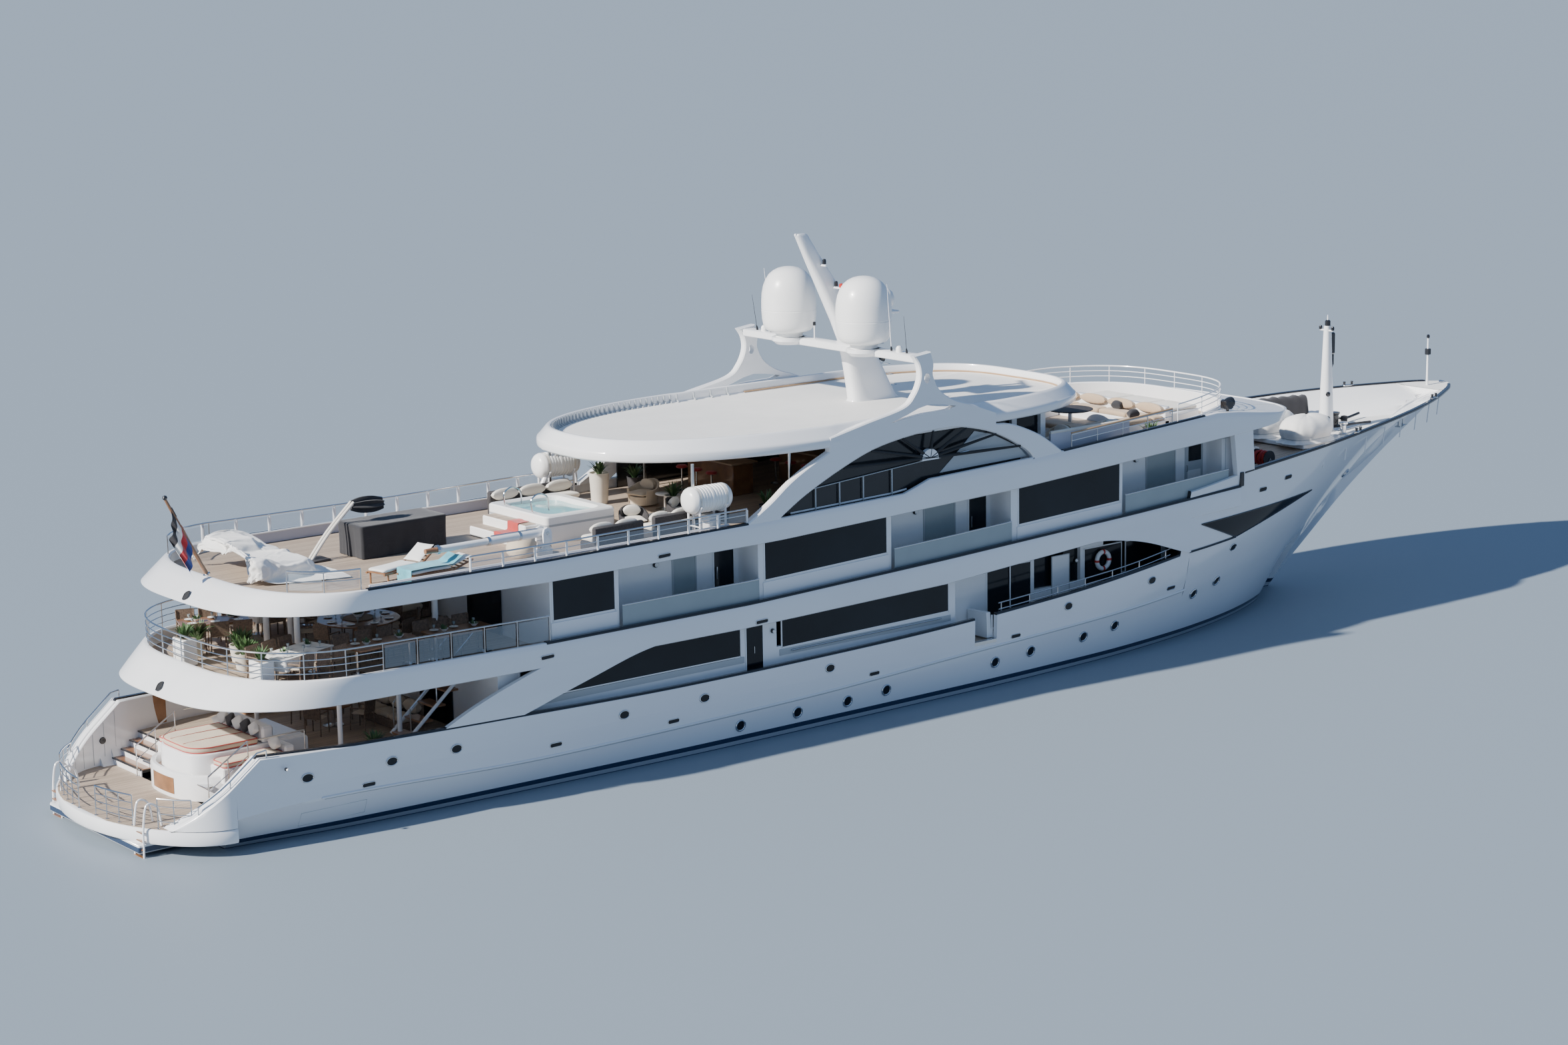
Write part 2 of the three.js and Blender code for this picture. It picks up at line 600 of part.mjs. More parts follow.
const upperOutline = (d) => {
  const rows = [[12.2 + d, 0], [12.2 + d, UPPER_HALF.wide - d]];
  for (const [aft, forward] of BALCONIES) {
    rows.push([aft - d, UPPER_HALF.wide - d], [aft - d, UPPER_HALF.recess - d]);
    const ahead = forward > 38 ? UPPER_HALF.bridge : UPPER_HALF.wide;
    rows.push([forward + d, UPPER_HALF.recess - d], [forward + d, ahead - d]);
  }
  rows.push([39.4 - d * 0.5, UPPER_HALF.bridge - d], [40.15 - d * 0.8, 3.1 - d * 0.8]);
  rows.push([40.6 - d, 1.7 - d * 0.2], [40.7 - d, 0]);
  return rows;
};
const helmOutline = (d) => [
  [28.4 + d, 0],
  [28.4 + d, 3.5 - d],
  [31.2 - d * 0.7, 3.5 - d],
  [32.0 - d, 2.6 - d * 0.5],
  [32.2 - d, 0],
];

const planBetween = (outline, low, lowLift, high, highLift) =>
  planPrism(bothSides(outline), 0, 12).intersect(layer(low, high, -1, FAR, [lowLift, highLift]));
const shellBetween = (outlineOf, outer, thick, low, lowLift, high, highLift) =>
  planBetween(outlineOf(outer), low, lowLift, high, highLift).subtract(
    planPrism(bothSides(outlineOf(outer + thick)), -1, 13),
  );

const flat = (z) => [[0, z], [FAR, z]];
const HARDTOP = {
  under: 8.24,
  shoulder: 8.54,
  deck: 8.58,
  rim: 8.87,
  rimWide: 0.4,
  slope: 0.2,
  aft: 15.5,
  aftFullness: 0.78,
  forward: 33.2,
  aftRun: 22.5,
  forwardRun: 28.4,
};
const LEVELS = {
  main: { low: flat(MAIN_DECK), high: UPPER_DECK, ceiling: -SLAB },
  upper: { low: UPPER_DECK, high: SUNDECK, ceiling: -SLAB },
  helm: { low: SUNDECK, high: flat(HARDTOP.under), ceiling: 0 },
};

// Window openings: [aft, forward, sill above the deck, head below the ceiling, inner and outer half-breadth]
const WINDOWS = {
  main: [
    [11.6, 18.6, 0.95, 0.1, 3.6, 5], [18.95, 19.5, 0.1, 0.1, 3.6, 5], [20.1, 26.5, 1.1, 0.1, 3.6, 5],
    [29.0, 29.8, 0.1, 0.25, 2.8, 5], [31.0, 33.0, 1.0, 0.25, 2.8, 5], [34.0, 36.0, 1.0, 0.25, 2.8, 5],
  ],
  upper: [
    [12.5, 14.2, 0.85, 0.1, 3.6, 5], [19.7, 24.1, 0.85, 0.1, 3.6, 5], [29.5, 33.7, 0.85, 0.1, 3.6, 5],
    [18.5, 19.25, 0.1, 0.2, 2.8, 5], [28.3, 29.05, 0.1, 0.2, 2.8, 5],
  ],
  helm: [[28.9, 29.8, 0.95, 0.12, 3.1, 5], [30.0, 31.0, 0.95, 0.12, 3.1, 5]],
};
// A tall block on one side, between two half-breadths
function sideBlock(aft, forward, inner, outer, sign) {
  const [y0, y1] = sign > 0 ? [inner, outer] : [-outer, -inner];
  return box([aft, y0, 0], [forward, y1, 12]);
}
function windowCuts(level) {
  const { low, high, ceiling } = LEVELS[level];
  return WINDOWS[level].map(([aft, forward, sill, head, inner, outer]) => {
    const band = layer(low, high, aft, forward, [sill, ceiling - head]);
    const blocks = SIDES.map(([, sign]) => sideBlock(aft, forward, inner, outer, sign));
    return band.intersect(join(...blocks));
  });
}

const SALOON_DOOR = { y0: -1.7, y1: 0.0, height: 1.95, lap: 0.1, sill: 0.06 };
function doorHole(wallX, deck) {
  const { y0, y1, height, lap, sill } = SALOON_DOOR;
  const low = deck + sill;
  return box([wallX - lap, y0 + lap, low], [wallX + WALL + lap, y1 - lap, low + height - lap]);
}

function deckhouse(level, outlineOf, extraCuts) {
  const { low, high, ceiling } = LEVELS[level];
  const walls = shellBetween(outlineOf, 0, WALL, low, GAP, high, ceiling - GAP);
  return [...windowCuts(level), ...extraCuts].reduce((a, b) => a.subtract(b), walls);
}
// The glass stands just inside the walls, one ribbon for each side
function glassRibbon(level, outlineOf, x0, x1, sign) {
  const { low, high, ceiling } = LEVELS[level];
  return shellBetween(outlineOf, WALL + GAP, PANE, low, 0.05, high, ceiling - 0.05)
    .intersect(between(x0, x1))
    .intersect(half(sign));
}

const AFT_WALL = { main: MAIN_HOUSE.aft, upper: 12.2 };
add("main_deckhouse", deckhouse("main", mainOutline, [doorHole(AFT_WALL.main, MAIN_DECK)]), "paint");
for (const [side, sign] of SIDES) {
  add(`main_glass_${side}`, glassRibbon("main", mainOutline, 11.0, 36.4, sign), "glass");
}

// Windows through a front wall, each between two half-breadths, in a band of heights
function frontWindows(panes, aft, forward, band) {
  return panes.flatMap(([inner, outer]) =>
    SIDES.map(([, sign]) => sideBlock(aft, forward, inner, outer, sign).intersect(band)),
  );
}
const FRONT_PANES = {
  wheelhouse: [[0.12, 1.1], [1.3, 2.2], [2.4, 3.25]],
  helm: [[0.1, 1.15], [1.3, 2.3]],
};
const wheelhouseBand = layer(UPPER_DECK, SUNDECK, 39.55, 42, [1.05, -SLAB - 0.3]);
const BRIDGE_DOOR = { aft: 37.7, forward: 38.55, height: 1.9, thick: 0.05 };
const bridgeDoorHole = box(
  [BRIDGE_DOOR.aft, -5, 0],
  [BRIDGE_DOOR.forward, 5, lineAt(UPPER_DECK, BRIDGE_DOOR.aft) + BRIDGE_DOOR.height + 0.05],
).intersect(above(UPPER_DECK, 0.07));
const upperHouse = deckhouse("upper", upperOutline, [
  ...frontWindows(FRONT_PANES.wheelhouse, 39.55, 42, wheelhouseBand),
  bridgeDoorHole,
  doorHole(AFT_WALL.upper, lineAt(UPPER_DECK, AFT_WALL.upper)),
]);
add("upper_deckhouse", upperHouse, "paint");
for (const [side, sign] of SIDES) {
  const ribbon = glassRibbon("upper", upperOutline, 12.8, 42, sign);
  const doorway = box([BRIDGE_DOOR.aft - 0.1, -5, 0], [BRIDGE_DOOR.forward + 0.1, 5, 6.05]);
  add(`upper_glass_${side}`, ribbon.subtract(doorway), "glass");
}

// Bridge doors hang on the forward jamb and swing out over the balcony
function bridgeDoor() {
  const { aft, forward, height, thick } = BRIDGE_DOOR;
  const floor = lineAt(UPPER_DECK, forward) + 0.07 + MOVING_CLEAR;
  const y = UPPER_HALF.recess;
  const axis = forward - GAP - BARREL;
  const leaf = box([aft + MOVING_CLEAR, y - thick, floor], [axis, y, floor + height - 0.1]);
  return join(leaf, bar([axis, y - thick / 2, floor], [axis, y - thick / 2, floor + height - 0.1], BARREL));
}
addPair("bridge_door", bridgeDoor(), "glass");

// Glass doors on the aft decks slide to port in front of the wall, on a sill
function slidingDoor(wallX, deck) {
  const face = wallX - MOVING_CLEAR;
  return box(
    [face - 0.05, SALOON_DOOR.y0, deck + GAP],
    [face, SALOON_DOOR.y1, deck + SALOON_DOOR.height],
  );
}
add("saloon_door", slidingDoor(AFT_WALL.main, MAIN_DECK), "glass");
add("upper_saloon_door", slidingDoor(AFT_WALL.upper, lineAt(UPPER_DECK, 12.12)), "glass");

// Helm station under the hardtop
const helmBand = layer(SUNDECK, flat(HARDTOP.under), 31.6, 34, [0.95, -0.12]);
const helmFront = frontWindows(FRONT_PANES.helm, 31.6, 34, helmBand);
const helmDoorway = box([28.0, -0.9, 0], [28.9, 0.9, 8.05]).intersect(above(SUNDECK, 0.06));
add("helm_house", deckhouse("helm", helmOutline, [...helmFront, helmDoorway]), "paint");
add(
  "helm_glass",
  shellBetween(helmOutline, WALL + GAP, PANE, SUNDECK, 0.1, flat(HARDTOP.under), -0.05).subtract(
    box([28, -1.1, 0], [28.9, 1.1, 9]),
  ),
  "glass",
);

// Side arches: leg, hardtop rim and radar wing in one moulding each side
const ARCH_OUTER = [
  [18.9, 6.3], [18.9, 6.47], [19.7, 6.93], [20.4, 7.42], [21.1, 7.8], [21.9, 8.15], [21.9, 8.9],
  [23.9, 8.95], [24.7, 9.12], [25.15, 9.45], [25.38, 9.9], [25.35, 10.3], [25.15, 10.6], [25.8, 10.68],
  [25.92, 10.3], [25.9, 9.95], [26.15, 9.5], [26.7, 9.15], [27.5, 8.98], [28.4, 8.95], [28.4, 8.22],
  [29.1, 8.12], [30.2, 7.67], [31.1, 7.08], [31.1, 6.8],
];
const ARCH_INNER = [
  [29.9, 6.8], [29.9, 7.04], [29.5, 7.37], [28.4, 7.92], [27.2, 8.24], [26.3, 8.32], [25.0, 8.25],
  [23.6, 8.02], [22.3, 7.57], [21.0, 6.99], [20.1, 6.47], [20.1, 6.3],
];
const ARCH = { outer: SIDE, inner: SIDE - 0.25 };
const EYE_SLOT = [[23.9, 8.62], [25.2, 8.86], [26.7, 8.9], [25.4, 8.72]];
const archSide = sidePrism([...ARCH_OUTER, ...ARCH_INNER], ARCH.inner, ARCH.outer, [EYE_SLOT]).intersect(
  above(SUN_PLATE_TOP, GAP),
);
addPair("side_arch", archSide, "paint");

// Dark glazing fills each arch down to the side plate
const ARCH_GLASS = [
  [20.3, 6.1], [20.3, 7.2], [21.1, 7.75], [21.9, 8.1], [22.4, 8.2], [28.6, 8.2], [29.1, 8.1],
  [29.6, 7.8], [29.6, 6.1],
];
addPair(
  "arch_glass",
  sidePrism(ARCH_GLASS, ARCH.inner - GAP - PANE * 2, ARCH.inner - GAP).intersect(above(SUNDECK, GAP)),
  "glass",
);

// Hardtop: an oval roof whose rim is set back from its edge and stands round a sunk deck
function hardtopOutline(inset) {
  const { aft, forward, aftRun, forwardRun, aftFullness } = HARDTOP;
  return [
    ...endOutline(aftRun, aft + inset, SIDE - inset, aftFullness).reverse(),
    ...endOutline(forwardRun, forward - inset, SIDE - inset),
  ];
}
const archPocket = [[21.9 - GAP, 7], [28.4 + GAP, 7], [28.4 + GAP, 10], [21.9 - GAP, 10]];
const hardtop = planPrism(bothSides(hardtopOutline(0)), HARDTOP.under + GAP, HARDTOP.shoulder)
  .add(planPrism(bothSides(hardtopOutline(HARDTOP.slope)), HARDTOP.shoulder - 0.1, HARDTOP.rim))
  .subtract(planPrism(bothSides(hardtopOutline(HARDTOP.rimWide)), HARDTOP.deck, HARDTOP.rim + 1))
  .subtract(sidePrism(archPocket, ARCH.inner - GAP, 6))
  .subtract(sidePrism(archPocket, -6, -ARCH.inner + GAP));
add("hardtop", hardtop, "paint");

// Mast and radar beam
const BEAM = { aft: 24.95, forward: 25.75, low: 10.36, high: 10.58 };
const MAST_HALF = 0.3;
const MAST = [
  [26.3, HARDTOP.deck + GAP], [28.0, HARDTOP.deck + GAP], [27.1, 10.5], [26.3, 11.5], [24.65, 13.95],
  [24.25, 13.95], [25.1, 12.2], [25.78, 10.7],
];
const DOME = { x: 25.35, y: 1.8, base: BEAM.high + GAP, seat: 0.55 };
const domeSeats = SIDES.map(([, sign]) =>
  bar([DOME.x, sign * DOME.y, BEAM.low], [DOME.x, sign * DOME.y, BEAM.high], DOME.seat, DOME.seat, 16),
);
const beamHalf = ARCH.inner - GAP;
add(
  "radar_beam",
  join(
    box([BEAM.aft + 0.35, -beamHalf, BEAM.low], [BEAM.forward, beamHalf, BEAM.high]),
    ...domeSeats,
  ),
  "paint",
);
const DOME_PROFILE = [
  [0, 0], [0.42, 0], [0.42, 0.12], [0.68, 0.2], [0.82, 0.42], [0.85, 0.8], [0.83, 1.3], [0.72, 1.75],
  [0.5, 2.02], [0.26, 2.13], [0, 2.17],
];
addPair("satcom_dome", turned(DOME_PROFILE, [DOME.x, DOME.y, DOME.base]), "dome");
const SCANNER = { x: 27.15, z: 12.15, length: 1.3, turn: 0.97 };
const mast = join(
  sidePrism(MAST, -MAST_HALF, MAST_HALF),
  box([26.0, -0.95, 11.35], [27.5, 0.35, 11.45]),
  bar([SCANNER.x, 0, 11.4], [SCANNER.x, 0, SCANNER.z - GAP], 0.1),
  turned([[0, 0], [0.2, 0], [0.34, 0.2], [0.36, 0.45], [0.2, 0.66], [0, 0.72]], [27.1, -0.62, 11.44], 12),
).subtract(box([BEAM.aft, -1, BEAM.low - GAP], [BEAM.forward + GAP, 1, BEAM.high + GAP]));
add("mast", mast, "paint");
const scannerBar = box([-SCANNER.length / 2, -0.07, 0.09], [SCANNER.length / 2, 0.07, 0.22]);
const scannerTurn = new THREE.Matrix4().makeRotationZ(SCANNER.turn).setPosition(SCANNER.x, 0, SCANNER.z);
add(
  "radar_scanner",
  solidOf(geometryOf(scannerBar.add(bar([0, 0, 0], [0, 0, 0.12], 0.1))).applyMatrix4(scannerTurn)),
  "paint",
);

// Sundeck outfit
const deckUnder = (x) => lineAt(SUNDECK, x) + GAP;
const TUB = { aft: 13.9, forward: 16.3, half: 1.5, rim: 6.9, depth: 0.6, wall: 0.3 };
function tub() {
  const shell = box([TUB.aft, -TUB.half, 6], [TUB.forward, TUB.half, TUB.rim]);
  const inside = TUB.half - TUB.wall;
  const basin = box([TUB.aft + TUB.wall, -inside, TUB.rim - TUB.depth], [TUB.forward - TUB.wall, inside, 8]);
  const steps = [0, 1].map((i) =>
    box([TUB.aft - 0.9 + i * 0.45, -1.1, 6], [TUB.aft + 0.1, 1.1, TUB.rim - 0.5 + i * 0.25]),
  );
  return join(shell.subtract(basin), ...steps).intersect(above(SUNDECK, GAP));
}
add("spa_tub", tub(), "paint");
function lifeRaft() {
  const y = 3.78;
  const z = 7.25;
  const cradle = [17.4, 18.3].map((x) => box([x - 0.05, y - 0.3, 6], [x + 0.05, y + 0.3, 7.0]));
  return join(bar([17.1, y, z], [18.6, y, z], 0.39, 0.39, 16), ...cradle).intersect(above(SUNDECK, GAP));
}
addPair("life_raft", lifeRaft(), "dome");
add("covered_bar", box([8.9, 0.15, deckUnder(8.9)], [11.7, 1.5, 7.08]), "black_cover");

// Deck crane, stowed along the starboard rail
add(
  "crane_post",
  join(
    bar([CRANE.x, CRANE.y, CRANE.pedestalTop + GAP], [CRANE.x, CRANE.y, 6.8], 0.22, 0.2, 16),
    ...[-1, 1].map((s) =>
      box(
        [CRANE.x - CRANE.earX, CRANE.y + s * CRANE.earY - CRANE.earHalf, 6.7],
        [CRANE.x + CRANE.earX, CRANE.y + s * CRANE.earY + CRANE.earHalf, CRANE.boomZ + 0.16],
      ),
    ),
  ),
  "paint",
);
add(
  "crane_boom",
  join(
    bar([CRANE.x, CRANE.y, CRANE.boomZ], [CRANE.aftEnd, CRANE.y, CRANE.boomZ], 0.12, 0.1),
    bar(
      [CRANE.x, CRANE.y - cranePin, CRANE.boomZ],
      [CRANE.x, CRANE.y + cranePin, CRANE.boomZ],
      0.1,
    ),
  ),
  "paint",
);

// Lounge furniture under its white cover, and the forward seating
// Cross-sections of a draped cover: x, half-breadth and height above the deck
function draped(sections, y, deck, shoulderOut, shoulderUp) {
  return loft(
    sections.map(([x, halfY, tall]) => {
      const z = deck(x);
      const shoulder = [halfY * shoulderOut, z + tall * shoulderUp];
      return [
        [x, y - halfY, z],
        [x, y - shoulder[0], shoulder[1]],
        [x, y, z + tall],
        [x, y + shoulder[0], shoulder[1]],
        [x, y + halfY, z],
      ];
    }),
  );
}
const LOUNGE_COVER = [
  [4.5, 0.9, 0.35], [5.0, 1.9, 0.72], [5.7, 2.15, 0.9], [6.6, 1.8, 0.6], [7.5, 1.1, 0.28],
];
add("covered_lounge", draped(LOUNGE_COVER, 0.9, deckUnder, 0.85, 0.7), "cover");
function forwardSeating() {
  const base = box([33.6, -2.6, 0], [37.6, 2.6, 7.25]);
  const well = box([34.4, -1.8, 0], [36.8, 1.8, 9]);
  const entry = box([33.0, -0.5, 0], [34.5, 0.5, 9]);
  const back = box([37.2, -2.6, 0], [37.6, 2.6, 7.6]);
  const sunpad = box([37.5, -2.2, 0], [39.4, 2.2, 7.35]);
  return join(base.subtract(well).subtract(entry), back, sunpad).intersect(above(SUNDECK, GAP));
}
add("forward_seating", forwardSeating(), "cushion");
add(
  "forward_table",
  join(
    bar([35.6, 0, lineAt(SUNDECK, 35.3) + GAP], [35.6, 0, 7.3], 0.12),
    bar([35.6, 0, 7.3], [35.6, 0, 7.36], 0.75, 0.75, 24),
  ).intersect(above(SUNDECK, GAP)),
  "teak",
);
// Upper aft deck
add(
  "dining_table",
  join(
    bar([8.6, 0, lineAt(UPPER_DECK, 8.35) + GAP], [8.6, 0, 4.5], 0.25),
    bar([8.6, 0, 4.5], [8.6, 0, 4.58], 1.15, 1.15, 28),
  ),
  "teak",
);

// Stern island with its sunpad
const ISLAND = {
  aft: 2.42,
  straight: 4.0,
  forward: 6.2,
  half: 1.9,
  top: 1.45,
  fullness: 0.8,
  bedAft: 2.75,
  bedStraight: 3.55,
  bedFullness: 0.4,
  bedHalf: 1.15,
  bedTop: 1.92,
  seatAft: 3.2,
  seatForward: 5.4,
  seatTop: 1.68,
};
function island() {
  const outline = [
    ...endOutline(ISLAND.straight, ISLAND.aft, ISLAND.half, ISLAND.fullness).reverse(),
    [ISLAND.forward, ISLAND.half],
    [ISLAND.forward, 0],
  ];
  const profile = [[0, 9], [FAR, 9], [FAR, MAIN_DECK + GAP], ...stepUnderside(), [0, PLATFORM.top + GAP]];
  const bed = [
    ...endOutline(ISLAND.bedStraight, ISLAND.bedAft, ISLAND.bedHalf, ISLAND.bedFullness).reverse(),
    [ISLAND.forward, ISLAND.bedHalf],
    [ISLAND.forward, 0],
  ];
  const around = planPrism(bothSides(outline), 0, ISLAND.bedTop);
  const seats = box([ISLAND.seatAft, -ISLAND.half, 0], [ISLAND.seatForward, ISLAND.half, ISLAND.seatTop]);
  return join(
    planPrism(bothSides(outline), 0, ISLAND.top),
    seats.intersect(around),
    planPrism(bothSides(bed), 0, ISLAND.bedTop),
  ).intersect(sidePrism(profile, -6, 6));
}
add("stern_island", island(), "paint");
add(
  "stern_sunpad",
  box([2.8, -1.08, ISLAND.bedTop + GAP], [4.75, 1.08, ISLAND.bedTop + 0.2]),
  "cushion",
);

// Foredeck outfit
const foredeck = (x) => lineAt(UPPER_DECK, x) + GAP;
const WINDLASS_COVER = [
  [45.3, 0.45, 0.35], [45.8, 0.5, 0.78], [46.6, 0.5, 0.84], [47.2, 0.5, 0.62], [47.5, 0.42, 0.3],
];
function windlass() {
  const baseZ = foredeck(45.2) + 0.03;
  const base = box([45.2, -1.5, foredeck(45.2)], [47.6, 1.5, foredeck(47.6) + 0.06]);
  const drums = SIDES.map(([, sign]) => draped(WINDLASS_COVER, sign * 0.85, () => baseZ, 0.8, 0.85));
  return join(base, ...drums).intersect(above(UPPER_DECK, GAP));
}
add("windlass_covers", windlass(), "cover");
const HATCH_AXIS = { x: FORE_HATCH.forward + 0.045, z: hatchTop + BARREL };
add(
  "foredeck_hatch_lid",
  join(
    box(
      [FORE_HATCH.aft - FORE_HATCH.lap, -FORE_HATCH.half - FORE_HATCH.lap, hatchTop + GAP],
      [FORE_HATCH.forward + FORE_HATCH.lap, FORE_HATCH.half + FORE_HATCH.lap, hatchTop + FORE_HATCH.thick],
    ),
    bar([HATCH_AXIS.x, -0.4, HATCH_AXIS.z], [HATCH_AXIS.x, 0.4, HATCH_AXIS.z], BARREL),
  ),
  "paint",
);
add(
  "foremast",
  join(
    bar([48.0, 0, foredeck(48.25)], [48.0, 0, 8.9], 0.26, 0.12, 14),
    bar([48.0, 0, 8.8], [48.0, 0, 9.27], 0.05),
    bar([48.0, 0, foredeck(48.4)], [48.0, 0, foredeck(48) + 0.15], 0.4, 0.36, 14),
  ).intersect(above(UPPER_DECK, GAP)),
  "paint",
);
const STAFF = { footX: 4.05, seat: 0.029, topX: 2.95, topZ: 8.67 };
const staffFoot = [STAFF.footX, 0, lineAt(SUN_PLATE_TOP, STAFF.footX) + STAFF.seat];
add("ensign_staff", bar(staffFoot, [STAFF.topX, 0, STAFF.topZ], 0.06, 0.04), "teak");

// Running gear
const BLADES = 5;
const BLADE_HALF = 0.34; // half the length of a blade
function propeller(sign) {
  const hub = bar([HUB.aft, 0, 0], [HUB.fore, 0, 0], 0.09, 0.16);
  const blades = [];
  for (let i = 0; i < BLADES; i += 1) {
    const blade = new THREE.SphereGeometry(1, 10, 8).scale(0.05, 0.2, BLADE_HALF);
    blade.translate(0, 0, SHAFT.propRadius - BLADE_HALF);
    const pitched = new THREE.Matrix4().makeRotationZ(sign * 0.6);
    const around = new THREE.Matrix4().makeRotationX((i / BLADES) * Math.PI * 2);
    blades.push(solidOf(blade.applyMatrix4(pitched).applyMatrix4(around)));
  }
  const place = new THREE.Matrix4().makeRotationY(-SHAFT.slope);
  place.setPosition(SHAFT.propX, sign * SHAFT.y, SHAFT.propZ);
  return solidOf(geometryOf(join(hub, ...blades)).applyMatrix4(place));
}
for (const [side, sign] of SIDES) add(`propeller_${side}`, propeller(sign), "bronze");

function rudder() {
  const { stockX, chordAft, chordFore, top, bottom, half: thick, stock } = RUDDER;
  const outline = [
    [stockX - chordAft, 0.015],
    [stockX - 0.1, thick],
    [stockX + 0.12, thick],
    [stockX + chordFore, 0],
  ];
  const plan = [...outline, ...outline.slice(0, 3).reverse().map(([x, y]) => [x, -y])];
  const blade = planPrism(plan, bottom, top - 0.05);
  const pin = bar([stockX, 0, top - 0.1], [stockX, 0, top + RUDDER.seat - GAP], stock);
  return solidOf(geometryOf(join(blade, pin)).translate(0, SHAFT.y, 0));
}
addPair("rudder", rudder(), "bottom");

function stabiliserFin() {
  const { chord, span, half: thick, stock } = FIN;
  const outline = [[-chord / 2, 0], [-chord * 0.1, thick], [chord * 0.3, thick * 0.8], [chord / 2, 0]];
  const plan = [...outline, ...outline.slice(1, 3).reverse().map(([x, y]) => [x, -y])];
  const blade = new THREE.ExtrudeGeometry(new THREE.Shape(plan.map(([x, y]) => new THREE.Vector2(x, y))), {
    depth: span,
    bevelEnabled: false,
  });
  const slanted = new THREE.Matrix4().makeRotationX(-(Math.PI / 2 + FIN.slant));
  const [x, y, z] = finPoint(1, 0.14);
  const turnedBlade = solidOf(blade.applyMatrix4(slanted).translate(x, y, z));
  return join(turnedBlade, finBar(1, GAP, 0.4, stock, stock));
}
addPair("stabiliser_fin", stabiliserFin(), "bottom");

const root = new THREE.Group();
root.add(parts);
const millimetres = 1000 * MODEL_SCALE;
parts.scale.setScalar(millimetres);
parts.position.x = -MIDSHIPS * millimetres;
export default root;
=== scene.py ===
# Looks of a three-deck motor yacht, stored as a 1:2 scale model afloat at its waterline
import json
import math
import random

import bmesh
import bpy
from mathutils import Matrix, Vector
from mathutils.geometry import tessellate_polygon

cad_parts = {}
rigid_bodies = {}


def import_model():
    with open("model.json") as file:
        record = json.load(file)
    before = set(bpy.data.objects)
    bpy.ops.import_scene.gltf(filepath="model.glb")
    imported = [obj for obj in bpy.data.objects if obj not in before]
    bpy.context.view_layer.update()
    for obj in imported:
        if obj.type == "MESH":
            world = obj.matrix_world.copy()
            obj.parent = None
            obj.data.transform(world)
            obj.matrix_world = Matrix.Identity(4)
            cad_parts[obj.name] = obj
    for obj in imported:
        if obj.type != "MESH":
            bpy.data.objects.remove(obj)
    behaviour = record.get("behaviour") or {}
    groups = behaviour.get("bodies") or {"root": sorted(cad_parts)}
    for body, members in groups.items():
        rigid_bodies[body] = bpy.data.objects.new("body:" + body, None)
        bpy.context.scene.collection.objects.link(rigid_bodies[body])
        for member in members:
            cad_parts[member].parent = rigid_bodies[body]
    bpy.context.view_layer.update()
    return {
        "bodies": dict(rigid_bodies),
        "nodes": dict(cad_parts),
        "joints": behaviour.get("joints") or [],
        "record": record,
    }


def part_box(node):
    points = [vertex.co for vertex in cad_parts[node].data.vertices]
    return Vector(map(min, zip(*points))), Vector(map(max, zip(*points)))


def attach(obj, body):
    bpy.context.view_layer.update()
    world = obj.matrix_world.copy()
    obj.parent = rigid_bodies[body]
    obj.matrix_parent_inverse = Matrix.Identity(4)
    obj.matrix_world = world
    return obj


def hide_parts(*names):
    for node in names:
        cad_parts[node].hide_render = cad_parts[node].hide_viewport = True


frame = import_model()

# Places below are metres of the real vessel: x forward from the aft edge of the swim platform, y to port and
# z up from the water
SCALE = 0.5
LENGTH = 54.3
SIDE = 4.35
PLATE = 0.15
MAIN_DECK = 1.5
PLATFORM_TOP = 0.75
SLAB = 0.3
STEP_UP = 36.8  # where the hull side rises to the foredeck
YACHT = "yacht"
SIDES = (("port", 1), ("starboard", -1))


def at(p):
    """A place on the real vessel, as a point of the model's frame"""
    return Vector(((p[0] - LENGTH / 2) * SCALE, p[1] * SCALE, p[2] * SCALE))


# Looks


def look(name, color, roughness=0.5, metallic=0, coat=0, sheen=0, transmission=0, alpha=1.0):
    """A material with its uniform values on the shader, and the shader's node tree to add texture to"""
    made = bpy.data.materials.new(name)
    made.use_nodes = True
    shader = made.node_tree.nodes["Principled BSDF"]
    shader.inputs["Base Color"].default_value = (*color, 1)
    shader.inputs["Roughness"].default_value = roughness
    shader.inputs["Metallic"].default_value = metallic
    shader.inputs["Coat Weight"].default_value = coat
    shader.inputs["Sheen Weight"].default_value = sheen
    shader.inputs["Transmission Weight"].default_value = transmission
    shader.inputs["Alpha"].default_value = alpha
    return made, made.node_tree, shader


def node(tree, kind, **values):
    """A node with some of its properties or input defaults set"""
    made = tree.nodes.new(kind)
    for key, value in values.items():
        if hasattr(made, key):
            setattr(made, key, value)
        else:
            made.inputs[key.replace("_", " ")].default_value = value
    return made


def placed(tree, stretch=(1, 1, 1)):
    """Texture coordinates in metres of the model, stretched along an axis"""
    where = node(tree, "ShaderNodeTexCoord")
    mapping = node(tree, "ShaderNodeMapping")
    mapping.inputs["Scale"].default_value = stretch
    tree.links.new(where.outputs["Object"], mapping.inputs["Vector"])
    return mapping.outputs["Vector"]


def noise(tree, vector, scale, detail=3.0):
    made = node(tree, "ShaderNodeTexNoise")
    made.inputs["Scale"].default_value = scale
    made.inputs["Detail"].default_value = detail
    made.inputs["Roughness"].default_value = 0.55
    tree.links.new(vector, made.inputs["Vector"])
    return made.outputs["Fac"]


def ramp(tree, value, stops, smooth=True):
    """A colour ramp over (position, colour) stops"""
    made = node(tree, "ShaderNodeValToRGB")
    made.color_ramp.interpolation = "LINEAR" if smooth else "CONSTANT"
    elements = made.color_ramp.elements
    while len(elements) < len(stops):
        elements.new(0.5)
    for element, (position, color) in zip(elements, stops):
        element.position = position
        element.color = (*color, 1)
    tree.links.new(value, made.inputs["Fac"])
    return made.outputs["Color"]


